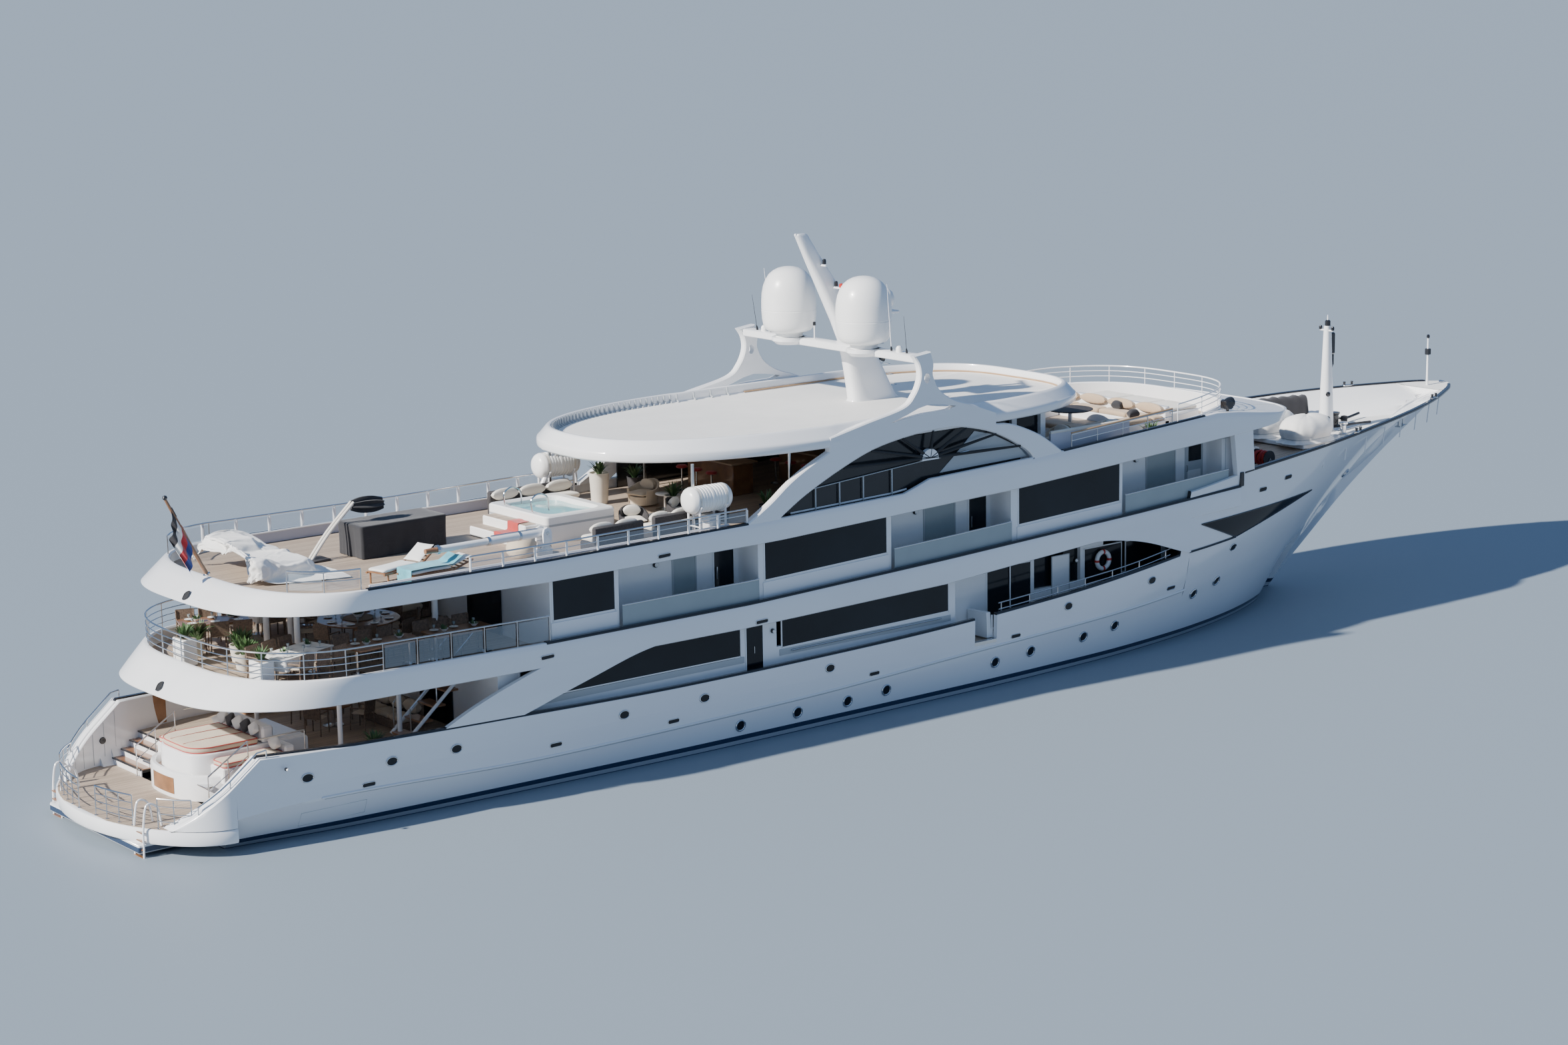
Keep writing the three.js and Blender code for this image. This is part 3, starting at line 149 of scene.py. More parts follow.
def bump(tree, shader, height, distance, strength=1.0):
    made = node(tree, "ShaderNodeBump")
    made.inputs["Distance"].default_value = distance
    made.inputs["Strength"].default_value = strength
    tree.links.new(height, made.inputs["Height"])
    tree.links.new(made.outputs["Normal"], shader.inputs["Normal"])


def shade(color, factor):
    return tuple(min(1.0, c * factor) for c in color)


def mottled(name, color, roughness, spread, scale=3.0, bump_size=0, **more):
    """A surface whose colour drifts a little, with a fine relief"""
    made, tree, shader = look(name, color, roughness, **more)
    vector = placed(tree)
    tone = noise(tree, vector, scale)
    tree.links.new(
        ramp(tree, tone, [(0.3, shade(color, 1 - spread)), (0.7, shade(color, 1 + spread))]),
        shader.inputs["Base Color"],
    )
    if bump_size:
        bump(tree, shader, noise(tree, vector, scale * 30), bump_size)
    return made


def painted_metal(name, color, roughness=0.22):
    """Gloss paint over faired plating: a slow drift of tone, a slight unfairness and a clear coat"""
    made, tree, shader = look(name, color, roughness, coat=0.5)
    vector = placed(tree, (0.25, 1, 1))
    tone = noise(tree, vector, 1.3, detail=4)
    tree.links.new(
        ramp(tree, tone, [(0.35, shade(color, 0.965)), (0.65, shade(color, 1.015))]),
        shader.inputs["Base Color"],
    )
    bump(tree, shader, noise(tree, placed(tree), 1.1, detail=1), 0.004, 0.5)
    return made


def planked(name, color, seam, width, under=None):
    """Planks laid fore and aft with dark caulked seams and their own grain, with paint below if under is given"""
    made, tree, shader = look(name, color, 0.62)
    split = node(tree, "ShaderNodeSeparateXYZ")
    tree.links.new(placed(tree), split.inputs["Vector"])
    across = node(tree, "ShaderNodeMath", operation="DIVIDE")
    across.inputs[1].default_value = width
    tree.links.new(split.outputs["Y"], across.inputs[0])
    index = node(tree, "ShaderNodeMath", operation="FLOOR")
    tree.links.new(across.outputs[0], index.inputs[0])
    share = node(tree, "ShaderNodeMath", operation="FRACT")
    tree.links.new(across.outputs[0], share.inputs[0])
    tone = node(tree, "ShaderNodeTexWhiteNoise", noise_dimensions="1D")
    tree.links.new(index.outputs[0], tone.inputs["W"])
    grain = noise(tree, placed(tree, (1.2, 26, 26)), 2.2, detail=5)
    mixed = node(tree, "ShaderNodeMath", operation="MULTIPLY_ADD")
    mixed.inputs[1].default_value = 0.45
    tree.links.new(tone.outputs["Value"], mixed.inputs[0])
    tree.links.new(grain, mixed.inputs[2])
    wood = ramp(
        tree, mixed.outputs[0],
        [(0.35, shade(color, 0.78)), (0.7, color), (1.0, shade(color, 1.2))],
    )
    seam_share = 0.09
    edge = ramp(tree, share.outputs[0], [(0, (1, 1, 1)), (seam_share, (0, 0, 0))], smooth=False)
    mix = node(tree, "ShaderNodeMix", data_type="RGBA")
    tree.links.new(edge, mix.inputs["Factor"])
    tree.links.new(wood, mix.inputs["A"])
    mix.inputs["B"].default_value = (*seam, 1)
    colour = mix.outputs["Result"]
    if under:
        facing = node(tree, "ShaderNodeSeparateXYZ")
        tree.links.new(node(tree, "ShaderNodeNewGeometry").outputs["Normal"], facing.inputs["Vector"])
        upward = node(tree, "ShaderNodeMath", operation="GREATER_THAN")
        upward.inputs[1].default_value = 0.5
        tree.links.new(facing.outputs["Z"], upward.inputs[0])
        choice = node(tree, "ShaderNodeMix", data_type="RGBA")
        tree.links.new(upward.outputs[0], choice.inputs["Factor"])
        choice.inputs["A"].default_value = (*under, 1)
        tree.links.new(colour, choice.inputs["B"])
        colour = choice.outputs["Result"]
    tree.links.new(colour, shader.inputs["Base Color"])
    bump(tree, shader, grain, 0.0006, 0.6)
    return made


def woven(name, color, thread, roughness=0.85, spread=0.07, crease=0):
    """Cloth of crossing threads, with a slow drift of tone"""
    made, tree, shader = look(name, color, roughness, sheen=0.25)
    vector = placed(tree)
    tone = noise(tree, vector, 4.0, detail=5)
    tree.links.new(
        ramp(tree, tone, [(0.3, shade(color, 1 - spread)), (0.72, shade(color, 1 + spread))]),
        shader.inputs["Base Color"],
    )
    warp = node(tree, "ShaderNodeTexWave", wave_type="BANDS", bands_direction="X")
    weft = node(tree, "ShaderNodeTexWave", wave_type="BANDS", bands_direction="Y")
    for wave in (warp, weft):
        wave.inputs["Scale"].default_value = 1 / thread
        tree.links.new(vector, wave.inputs["Vector"])
    height = node(tree, "ShaderNodeMath", operation="MAXIMUM")
    tree.links.new(warp.outputs["Fac"], height.inputs[0])
    tree.links.new(weft.outputs["Fac"], height.inputs[1])
    if crease:
        folds = node(tree, "ShaderNodeMath", operation="MULTIPLY_ADD")
        folds.inputs[1].default_value = crease / (thread * 0.3)
        tree.links.new(noise(tree, vector, 3.5, detail=6), folds.inputs[0])
        tree.links.new(height.outputs[0], folds.inputs[2])
        height = folds
    bump(tree, shader, height.outputs[0], thread * 0.3, 0.5)
    return made


def hull_paint():
    """White topsides with a blue boot stripe over a pale one, and dark antifouling below the water"""
    stripes = [
        (-3.0, (0.03, 0.05, 0.11)),
        (0.02, (0.42, 0.44, 0.46)),
        (0.13, (0.012, 0.03, 0.075)),
        (0.27, WHITE),
    ]
    made, tree, shader = look("hull_paint", WHITE, 0.2, coat=0.5)
    split = node(tree, "ShaderNodeSeparateXYZ")
    tree.links.new(placed(tree), split.inputs["Vector"])
    height = node(tree, "ShaderNodeMapRange")
    height.inputs["From Min"].default_value = -3.0 * SCALE
    height.inputs["From Max"].default_value = 3.0 * SCALE
    tree.links.new(split.outputs["Z"], height.inputs["Value"])
    bands = ramp(tree, height.outputs["Result"], [((z + 3) / 6, c) for z, c in stripes], smooth=False)
    tone = noise(tree, placed(tree, (0.2, 1, 1)), 1.1, detail=4)
    drift = ramp(tree, tone, [(0.35, (0.95, 0.955, 0.96)), (0.65, (1, 1, 1))])
    mix = node(tree, "ShaderNodeMix", data_type="RGBA", blend_type="MULTIPLY")
    mix.inputs["Factor"].default_value = 1
    tree.links.new(bands, mix.inputs["A"])
    tree.links.new(drift, mix.inputs["B"])
    tree.links.new(mix.outputs["Result"], shader.inputs["Base Color"])
    bump(tree, shader, noise(tree, placed(tree), 0.9, detail=1), 0.004, 0.5)
    return made


def water_look():
    made, tree, shader = look("spa_water", (0.35, 0.72, 0.75), 0.05, transmission=0.35)
    bump(tree, shader, noise(tree, placed(tree), 6.0, detail=4), 0.01, 0.6)
    return made


def glass_look(name, color):
    """Dark tinted panes: nearly black, with a tone that drifts a little"""
    made, tree, shader = look(name, color, 0.1)
    shader.inputs["Specular IOR Level"].default_value = 0.3
    tone = noise(tree, placed(tree), 0.8)
    tree.links.new(
        ramp(tree, tone, [(0.3, shade(color, 0.7)), (0.7, shade(color, 1.4))]), shader.inputs["Base Color"],
    )
    return made


WHITE = (0.86, 0.865, 0.87)
LOOKS = {
    "white": painted_metal("white_paint", WHITE),
    "hull": hull_paint(),
    "deck_white": mottled("white_deck_paint", (0.8, 0.79, 0.76), 0.6, 0.03, 2.0, 0.001),
    "ceiling": mottled("ceiling_panels", (0.7, 0.7, 0.69), 0.5, 0.02),
    "grey": painted_metal("grey_panels", (0.42, 0.45, 0.47), 0.35),
    "teak": planked("teak_deck", (0.42, 0.33, 0.25), (0.06, 0.05, 0.045), 0.045),
    "decking": planked(
        "teak_over_white", (0.42, 0.33, 0.25), (0.06, 0.05, 0.045), 0.045, under=(0.78, 0.77, 0.75)
    ),
    "tan": mottled("tan_leather", (0.42, 0.27, 0.15), 0.5, 0.1, 4.0, 0.001),
    "charcoal": mottled("dark_wicker", (0.045, 0.042, 0.045), 0.7, 0.3, 40.0, 0.002),
    "flag_blue": woven("blue_bunting", (0.03, 0.06, 0.25), 0.003, spread=0.1),
    "flag_red": woven("red_bunting", (0.5, 0.03, 0.04), 0.003, spread=0.1),
    "wood": mottled("varnished_wood", (0.26, 0.12, 0.05), 0.3, 0.25, 5.0, 0.0005, coat=0.6),
    "glass": glass_look("tinted_glass", (0.008, 0.011, 0.015)),
    "arch_pane": mottled("arch_glass", (0.014, 0.016, 0.019), 0.15, 0.3, 2.0),
    "frosted": mottled("frosted_parapet", (0.33, 0.38, 0.39), 0.25, 0.04, 2.0),
    "clear": mottled("clear_rail_glass", (0.55, 0.62, 0.66), 0.05, 0.03, 2.0, alpha=0.3),
    # Lavender-grey for white parapet faces: painted shade, the blue-grey that white takes in shade
    "parapet": mottled("parapet_painted_shade", (0.5, 0.5, 0.56), 0.5, 0.03, 2.0),
    "black": mottled("black_cap", (0.012, 0.012, 0.014), 0.25, 0.2, 3.0, coat=0.4),
    "rubber": mottled("black_rubber", (0.02, 0.02, 0.021), 0.7, 0.2, 5.0, 0.0005),
    "steel": mottled("polished_steel", (0.62, 0.63, 0.64), 0.16, 0.04, 4.0, metallic=1.0),
    "bronze": mottled("propeller_bronze", (0.62, 0.42, 0.19), 0.28, 0.12, 6.0, metallic=1.0),
    "bottom": mottled("antifouling", (0.03, 0.05, 0.11), 0.7, 0.15, 4.0, 0.001),
    "dome": mottled("moulded_glassfibre", (0.88, 0.88, 0.86), 0.32, 0.02, 2.0, coat=0.2),
    "cushion": woven("beige_cushion", (0.62, 0.52, 0.39), 0.004),
    "cream": woven("cream_cushion", (0.78, 0.74, 0.66), 0.004),
    "red_cushion": woven("red_cushion", (0.45, 0.04, 0.035), 0.004),
    "tan_cushion": woven("tan_cushion", (0.5, 0.37, 0.25), 0.004),
    "piping": woven("red_piping", (0.5, 0.05, 0.04), 0.003),
    "pillow_black": woven("black_pillow", (0.025, 0.025, 0.03), 0.003),
    "wicker": mottled("brown_wicker", (0.2, 0.14, 0.1), 0.7, 0.35, 40.0, 0.002),
    "canvas": woven("white_canvas", (0.84, 0.83, 0.8), 0.003, spread=0.05, crease=0.004),
    "black_canvas": woven("black_canvas", (0.02, 0.02, 0.024), 0.003, spread=0.2, crease=0.003),
    "water": water_look(),
    "leaf": mottled("leaves", (0.07, 0.14, 0.05), 0.5, 0.4, 9.0),
    "stone": mottled("pale_planter", (0.7, 0.66, 0.58), 0.6, 0.06, 5.0, 0.001),
    "red": mottled("red_plastic", (0.55, 0.03, 0.02), 0.35, 0.1),
    "towel": woven("turquoise_towel", (0.12, 0.45, 0.55), 0.006, roughness=0.95, spread=0.3),
    "interior": mottled("cabin_interior", (0.3, 0.24, 0.19), 0.7, 0.2, 1.5),
}


# Shapes


class Piece:
    """A mesh under construction, in metres of the real vessel, with a look for each face"""

    def __init__(self, name):
        self.name = name
        self.points = []
        self.faces = []
        self.looks = []
        self.stuffed = []
        self.stuffing = False

    def add(self, points, faces, which):
        start = len(self.points)
        self.points.extend(Vector(p) for p in points)
        self.faces.extend([start + i for i in face] for face in faces)
        self.looks.extend([which] * len(faces))
        self.stuffed.extend([self.stuffing] * len(faces))

    def face(self, points, which):
        """One face through a ring of points"""
        self.add(points, [range(len(points))], which)

    def ends(self, rows, which):
        """A face over the first row and one over the last"""
        self.face(rows[0], which)
        self.face(rows[-1], which)

    def grid(self, rows, which, close=False):
        """Faces between rows of equal numbers of points"""
        n = len(rows[0])
        faces = []
        for i in range(len(rows) - 1):
            for j in range(n if close else n - 1):
                k = (j + 1) % n
                faces.append((i * n + j, i * n + k, (i + 1) * n + k, (i + 1) * n + j))
        self.add([p for row in rows for p in row], faces, which)

    def box(self, low, high, which, soften=0, turn=0):
        """A box, with its edges and corners cut back where soften is given, turned about its own vertical"""
        low, high = (Vector([pick(pair) for pair in zip(low, high)]) for pick in (min, max))
        middle = (low + high) / 2
        half = (high - low) / 2
        cut = min(soften, *(0.49 * h for h in half)) if soften else 0
        rotation = Matrix.Rotation(turn, 3, "Z")
        corners = [(sx, sy, sz) for sx in (-1, 1) for sy in (-1, 1) for sz in (-1, 1)]
        if not cut:
            points = [middle + rotation @ Vector([k * h for k, h in zip(corner, half)]) for corner in corners]
            faces = [(0, 1, 3, 2), (4, 6, 7, 5), (0, 4, 5, 1), (2, 3, 7, 6), (0, 2, 6, 4), (1, 5, 7, 3)]
            self.add(points, faces, which)
            return
        points = []
        for corner in corners:
            for axis in range(3):
                p = [corner[i] * (half[i] - (0 if i == axis else cut)) for i in range(3)]
                points.append(middle + rotation @ Vector(p))

        def index(axis, signs, out):
            """Number of the point that stays out along one axis, at the corner with these signs"""
            others = list(signs[1:])
            others.insert(axis, signs[0])
            return 3 * corners.index(tuple(others)) + out

        faces = [range(3 * k, 3 * k + 3) for k in range(8)]
        for axis in range(3):
            b, c = [i for i in range(3) if i != axis]
            for sign in (-1, 1):
                round_face = ((-1, -1), (1, -1), (1, 1), (-1, 1))
                faces.append([index(axis, (sign, *pair), axis) for pair in round_face])
            for pair in ((-1, -1), (-1, 1), (1, -1), (1, 1)):
                edge = ((-1, b), (1, b), (1, c), (-1, c))
                faces.append([index(axis, (sign, *pair), out) for sign, out in edge])
        self.add(points, faces, which)

    def tube(self, path, radius, which, sides=8, closed=False):
        """A round bar along a path; radius is one number or one for each point"""
        path = [Vector(p) for p in path]
        count = len(path)
        radii = radius if isinstance(radius, (list, tuple)) else [radius] * count
        rows = []
        side = None
        for i, p in enumerate(path):
            ahead = path[(i + 1) % count] if closed or i + 1 < count else p
            behind = path[i - 1] if closed or i else p
            along = (ahead - behind).normalized()
            if side is None:
                side = along.orthogonal().normalized()
            side = (side - along * side.dot(along)).normalized()
            other = along.cross(side)
            rows.append([p + (side * c + other * s) * radii[i] for c, s in around(sides)])
        if closed:
            rows.append(rows[0])
        self.grid(rows, which, close=True)
        if not closed:
            self.face(rows[0], which)
            self.add(rows[-1], [tuple(range(sides - 1, -1, -1))], which)

    def lathe(self, profile, centre, which, sides=24, axis=(0, 0, 1)):
        """A body turned from (radius, height) rows about an axis through a point"""
        turn = Vector((0, 0, 1)).rotation_difference(Vector(axis))
        circle = around(sides)
        rows = [[Vector(centre) + turn @ Vector((r * c, r * s, h)) for c, s in circle] for r, h in profile]
        self.grid(rows, which, close=True)

    def prism(self, outline, low, high, which, plane="xz"):
        """A flat outline made thick: plane xz is thick along y, and xy along z"""
        low, high = sorted((low, high))
        n = len(outline)
        points = [(a, t, b) if plane == "xz" else (a, b, t) for t in (low, high) for a, b in outline]
        faces = [tuple(range(n)), tuple(range(2 * n - 1, n - 1, -1))]
        faces += [(i, (i + 1) % n, n + (i + 1) % n, n + i) for i in range(n)]
        self.add(points, faces, which)

    def pad(self, centre, size, which, turn=0, tilt=0, crown=0.35, edge=5.0, steps=10):
        """A stuffed cushion: crowned top and bottom, with sides that pull in between the corners"""
        hx, hy, hz = (s / 2 for s in size)
        rotation = Matrix.Rotation(turn, 3, "Z") @ Matrix.Rotation(tilt, 3, "Y")
        self.stuffing = True
        for sign in (1, -1):
            rows = []
            for i in range(steps + 1):
                row = []
                for j in range(steps + 1):
                    u, v = -1 + 2 * i / steps, -1 + 2 * j / steps
                    u, v = math.sin(u * math.pi / 2), math.sin(v * math.pi / 2)
                    fall = (1 - abs(u) ** edge) ** 0.5 * (1 - abs(v) ** edge) ** 0.5
                    full = 1 + crown * (math.cos(u * math.pi / 2) * math.cos(v * math.pi / 2) - 0.5)
                    pull = 0.035
                    p = Vector((
                        u * hx * (1 - pull * (1 - v * v)),
                        v * hy * (1 - pull * (1 - u * u)),
                        sign * hz * fall * full / (1 + crown * 0.5),
                    ))
                    row.append(Vector(centre) + rotation @ p)
                rows.append(row if sign > 0 else row[::-1])
            self.grid(rows, which)
        self.stuffing = False

    def furnish(self):
        """Furniture as two objects: its frame, and its stuffed forms"""
        parts = {False: Piece(self.name), True: Piece(self.name + "_cushions")}
        for face, which, stuffed in zip(self.faces, self.looks, self.stuffed):
            parts[stuffed].add([self.points[i] for i in face], [range(len(face))], which)
        parts[False].finish(slot="cushion")
        parts[True].finish(slot="cushion", sharp=50)

    def finish(self, body=YACHT, slot="paint", replaces=(), sharp=38, weld=1e-5):
        """The piece as an object in the model's frame, shaded smooth up to the sharp angle"""
        mesh = bpy.data.meshes.new(self.name)
        mesh.from_pydata([at(p) for p in self.points], [], self.faces)
        names = sorted(set(self.looks))
        for name in names:
            mesh.materials.append(LOOKS[name])
        order = {name: i for i, name in enumerate(names)}
        mesh.polygons.foreach_set("material_index", [order[name] for name in self.looks])
        work = bmesh.new()
        work.from_mesh(mesh)
        bmesh.ops.remove_doubles(work, verts=work.verts, dist=weld)
        bmesh.ops.dissolve_degenerate(work, edges=work.edges, dist=weld / 2)
        bmesh.ops.recalc_face_normals(work, faces=work.faces)
        limit = math.radians(sharp)
        for face in work.faces:
            face.smooth = True
        for edge in work.edges:
            edge.smooth = edge.is_manifold and edge.calc_face_angle(0) < limit
        work.to_mesh(mesh)
        work.free()
        made = bpy.data.objects.new(self.name, mesh)
        bpy.context.scene.collection.objects.link(made)
        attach(made, body)
        if replaces:
            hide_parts(*replaces)
        return made


# Lines of the hull


# x, z of the lowest point, then half-breadths at the bilge, water, knuckle, sheer and top
SECTIONS = [
    (2.4, -0.62, 2.6, 3.3, 4.15, 4.15, 4.15),
    (6.0, -0.85, 3.2, 3.75, 4.28, SIDE, SIDE),
    (12.0, -1.75, 3.65, 4.05, 4.33, SIDE, SIDE),
    (18.0, -2.35, 3.8, 4.2, 4.34, SIDE, SIDE),
    (27.0, -2.4, 3.65, 4.12, 4.32, SIDE, SIDE),
    (33.0, -2.4, 3.0, 3.85, 4.26, SIDE, SIDE),
    (36.8, -2.4, 2.2, 3.35, 4.05, 4.3, 4.34),
    (40.0, -2.35, 1.35, 2.6, 3.55, 4.05, 4.3),
    (43.0, -2.1, 0.55, 1.4, 2.65, 3.6, 4.15),
    (45.1, 0, 0, 0, 1.75, 3.05, 3.9),
    (47.0, 1.45, 0, 0, 0.75, 2.4, 3.52),
    (49.0, 2.9, 0, 0, 0, 1.45, 2.98),
    (51.0, 4.15, 0, 0, 0, 0.5, 2.25),
    (52.7, 5.1, 0, 0, 0, 0, 1.42),
    (53.8, 5.75, 0, 0, 0, 0, 0.75),
    (54.3, 6.08, 0, 0, 0, 0, 0.2),
]
KNUCKLE = [
    (0, 0.76), (4.8, 1.1), (12, 0.92), (20.3, 1.02), (27, 1.28), (34.3, 1.58), (40, 2.05), (47, 2.75),
    (54.3, 6.1),
]
SHEER = [
    (3.1, 2.46), (10.1, 2.24), (17.1, 2.11), (23.6, 2.17), (31.3, 2.49), (36.8, 3.05), (43.4, 4.12), (50, 5.1),
    (54.3, 6.15),
]
TOP = [(0, 2.6), (3.1, 2.6), (36.8, 5.0), (39.5, 5.34), (42.6, 5.61), (46.9, 5.93), (54.3, 6.22)]
UPPER_DECK = [
    (2, 3.92), (10, 3.82), (20, 3.8), (29.1, 4.12), (36.8, 4.45), (40, 4.62), (46.9, 5.08), (54.3, 5.45)
]
UPPER_LOW = [(2, 3.52), (12, 3.42), (18.7, 3.41), (26.3, 3.56), (32.4, 3.95), (40, 4.3)]
UPPER_TOP = [(2, 4.27), (12, 4.11), (19, 4.13), (26.3, 4.36), (34.3, 4.68), (39.3, 4.93)]
SUNDECK = [(2, 6.14), (17, 6.12), (24.6, 6.22), (30, 6.5), (38.2, 6.84), (42, 6.98)]
SUN_LOW = [(2, 5.95), (12, 5.77), (20, 5.8), (29.3, 6.1), (38.8, 6.62), (41, 6.78), (43, 6.84)]
SUN_TOP = [
    (2, 6.47), (12, 6.38), (20, 6.45), (24.9, 6.56), (25.6, 6.87), (30.6, 7.02), (38, 7.46), (38.9, 7.39),
    (41, 7.13), (43, 7.0),
]
COAMING_TOP = [(35.5, 7.3), (38.2, 7.46), (42, 7.52)]
KEEL_HALF = 0.14
STEM_HALF = 0.05
BILGE_RISE = 0.62


def line_at(table, x):
    """Straight reading of a table of (x, value) rows"""
    i = 1
    while i < len(table) - 1 and table[i][0] < x:
        i += 1
    (x0, v0), (x1, v1) = table[i - 1], table[i]
    return v0 + (v1 - v0) * (x - x0) / (x1 - x0)


def curve_at(table, x):
    """Smooth reading of a table of (x, value) rows that never overshoots them"""
    n = len(table)
    x = min(max(x, table[0][0]), table[-1][0])
    i = 0
    while i < n - 2 and table[i + 1][0] < x:
        i += 1
    steps = [table[k + 1][0] - table[k][0] for k in range(n - 1)]
    slopes = [(table[k + 1][1] - table[k][1]) / steps[k] for k in range(n - 1)]

    def tangent(k):
        if k in (0, n - 1):
            return slopes[min(k, n - 2)]
        a, b = slopes[k - 1], slopes[k]
        if a * b <= 0:
            return 0
        wa, wb = 2 * steps[k] + steps[k - 1], steps[k] + 2 * steps[k - 1]
        return (wa + wb) / (wa / a + wb / b)

    h = steps[i]
    t = (x - table[i][0]) / h
    return (
        table[i][1] * (1 + 2 * t) * (1 - t) ** 2
        + tangent(i) * h * t * (1 - t) ** 2
        + table[i + 1][1] * t * t * (3 - 2 * t)
        + tangent(i + 1) * h * t * t * (t - 1)
    )


LEVELS = {
    name: [(row[0], row[k]) for row in SECTIONS]
    for k, name in enumerate(("low", "bilge", "water", "knuckle", "sheer", "top"), start=1)
}


def section_at(x):
    """(z, half-breadth) of the hull's levels at x, from the lowest up"""
    low = curve_at(LEVELS["low"], x)
    half = {name: curve_at(LEVELS[name], x) for name in LEVELS if name != "low"}
    stem = KEEL_HALF if x < 43 else STEM_HALF
    rows = [(low, stem)]
    if low < -0.3:
        rows.append((min(-0.3, low * BILGE_RISE), max(half["bilge"], stem)))
    if low < -0.05:
        rows.append((0, max(half["water"], stem)))
    heights = (curve_at(KNUCKLE, x), curve_at(SHEER, x), curve_at(TOP, x))
    for name, z in zip(("knuckle", "sheer", "top"), heights):
        if z > rows[-1][0] + 0.05:
            rows.append((z, max(half[name], stem)))
    return rows


def half_at(x, z):
    """Half-breadth of the hull at a place along and a height"""
    rows = section_at(x)
    knuckle_z = curve_at(KNUCKLE, x)
    below = [row for row in rows if row[0] <= knuckle_z + 1e-6]
    over = [row for row in rows if row[0] >= knuckle_z - 1e-6]
    part = below if z <= knuckle_z and len(below) > 1 else over
    if len(part) < 2:
        part = rows
    return curve_at(part, z)


def on_hull(x, z, sign, out=0):
    """A point on the hull's side, and the outward direction there"""
    step = 0.05
    p = Vector((x, half_at(x, z), z))
    along = Vector((2 * step, half_at(x + step, z) - half_at(x - step, z), 0))
    up = Vector((0, half_at(x, z + step) - half_at(x, z - step), 2 * step))
    outward = up.cross(along).normalized()
    if outward.y < 0:
        outward = -outward
    p += outward * out
    return Vector((p.x, sign * p.y, p.z)), Vector((outward.x, sign * outward.y, outward.z))


def spread(start, end, count):
    return [start + (end - start) * i / (count - 1) for i in range(count)]


def along_side(table, y, x0, x1, count, lift=0):
    """Points at half-breadth y whose heights follow a table"""
    return [Vector((x, y, line_at(table, x) + lift)) for x in spread(x0, x1, count)]


def around(count):
    """Cosine and sine of evenly spaced angles round a circle"""
    return [(math.cos(a), math.sin(a)) for a in spread(0, 2 * math.pi, count + 1)[:-1]]


def bent(value, power):
    """A value raised to a power, with its sign kept"""
    return math.copysign(abs(value) ** power, value)


def mirrored(half):
    """The closed outline whose port half runs between two points of the centre line"""
    return [*half, *((x, -y) for x, y in half[::-1][1:-1])]


# Camera, lights and floor

CAMERA_PLACE = (-33.62, -72.59, 23.78)
CAMERA_AIM = (23.6, 0, 5.2)
CAMERA_LENS = 71
CAMERA_ROLL = -0.945
SKY_COLOR = (0.35, 0.57, 1.0)
SUN_POWER = 9.0
FILL_POWER = 420
FLOOR_COLOR = (0.25, 0.3, 0.35)
FLOOR_REACH = 400


def make_camera():
    camera = bpy.data.cameras.new("camera")
    camera.lens = CAMERA_LENS
    camera.sensor_width = 36
    camera.clip_end = 500
    made = bpy.data.objects.new("camera", camera)
    bpy.context.scene.collection.objects.link(made)
    place, aim = at(CAMERA_PLACE), at(CAMERA_AIM)
    roll = Matrix.Rotation(math.radians(CAMERA_ROLL), 3, "Z")
    facing = (aim - place).to_track_quat("-Z", "Y").to_matrix() @ roll
    made.matrix_world = Matrix.Translation(place) @ facing.to_4x4()
    bpy.context.scene.camera = made


def light(name, kind, power, place, aim, size, color):
    lamp = bpy.data.lights.new(name, kind)
    lamp.energy = power
    lamp.color = color
    if kind == "SUN":
        lamp.angle = size
    else:
        lamp.shape = "SQUARE"
        lamp.size = size
    made = bpy.data.objects.new(name, lamp)
    bpy.context.scene.collection.objects.link(made)
    made.location = place
    made.rotation_mode = "QUATERNION"
    made.rotation_quaternion = (Vector(aim) - Vector(place)).to_track_quat("-Z", "Y")


def make_studio():
    world = bpy.data.worlds.new("studio")
    world.use_nodes = True
    background = world.node_tree.nodes["Background"]
    background.inputs["Color"].default_value = (*SKY_COLOR, 1)
    background.inputs["Strength"].default_value = 0.5
    bpy.context.scene.world = world
    light("key", "SUN", SUN_POWER, (-30, 4.5, 22), (0, 0, 2), math.radians(1.2), (1.0, 0.96, 0.9))
    light("fill", "AREA", FILL_POWER, (-14, -44, 20), (0, 0, 3), 26, (0.5, 0.72, 1.0))
    floor_mesh = bpy.data.meshes.new("floor")
    corners = [(x * FLOOR_REACH, y * FLOOR_REACH, 0) for x, y in ((-1, -1), (1, -1), (1, 1), (-1, 1))]
    floor_mesh.from_pydata(corners, [], [(0, 1, 2, 3)])
    floor = bpy.data.objects.new("floor", floor_mesh)
    floor_look, _, _ = look("pale_floor", FLOOR_COLOR, 0.55)
    floor_mesh.materials.append(floor_look)
    bpy.context.scene.collection.objects.link(floor)


make_camera()
make_studio()


# Materials of the carried-over solids

NODE_LOOKS = {
    "glass": ("main_glass", "upper_glass", "helm_glass", "bridge_door", "saloon_door", "upper_saloon_door"),
    "arch_pane": ("arch_glass",),
    "decking": ("swim_platform", "upper_deck", "sundeck"),
    "wood": ("forward_table", "dining_table", "ensign_staff"),
    "dome": ("satcom_dome", "life_raft", "radar_scanner"),
    "cushion": ("forward_seating", "stern_sunpad"),
    "canvas": ("covered_lounge", "windlass_covers"),
    "black_canvas": ("covered_bar",),
    "bronze": ("propeller",),
    "bottom": ("rudder", "stabiliser_fin"),
}


def dress_nodes():
    for name, solid in frame["nodes"].items():
        chosen = "white"
        for which, starts in NODE_LOOKS.items():
            if any(name == start or name in (start + "_port", start + "_starboard") for start in starts):
                chosen = which
        solid.data.materials.clear()
        solid.data.materials.append(LOOKS[chosen])


dress_nodes()


# Hull

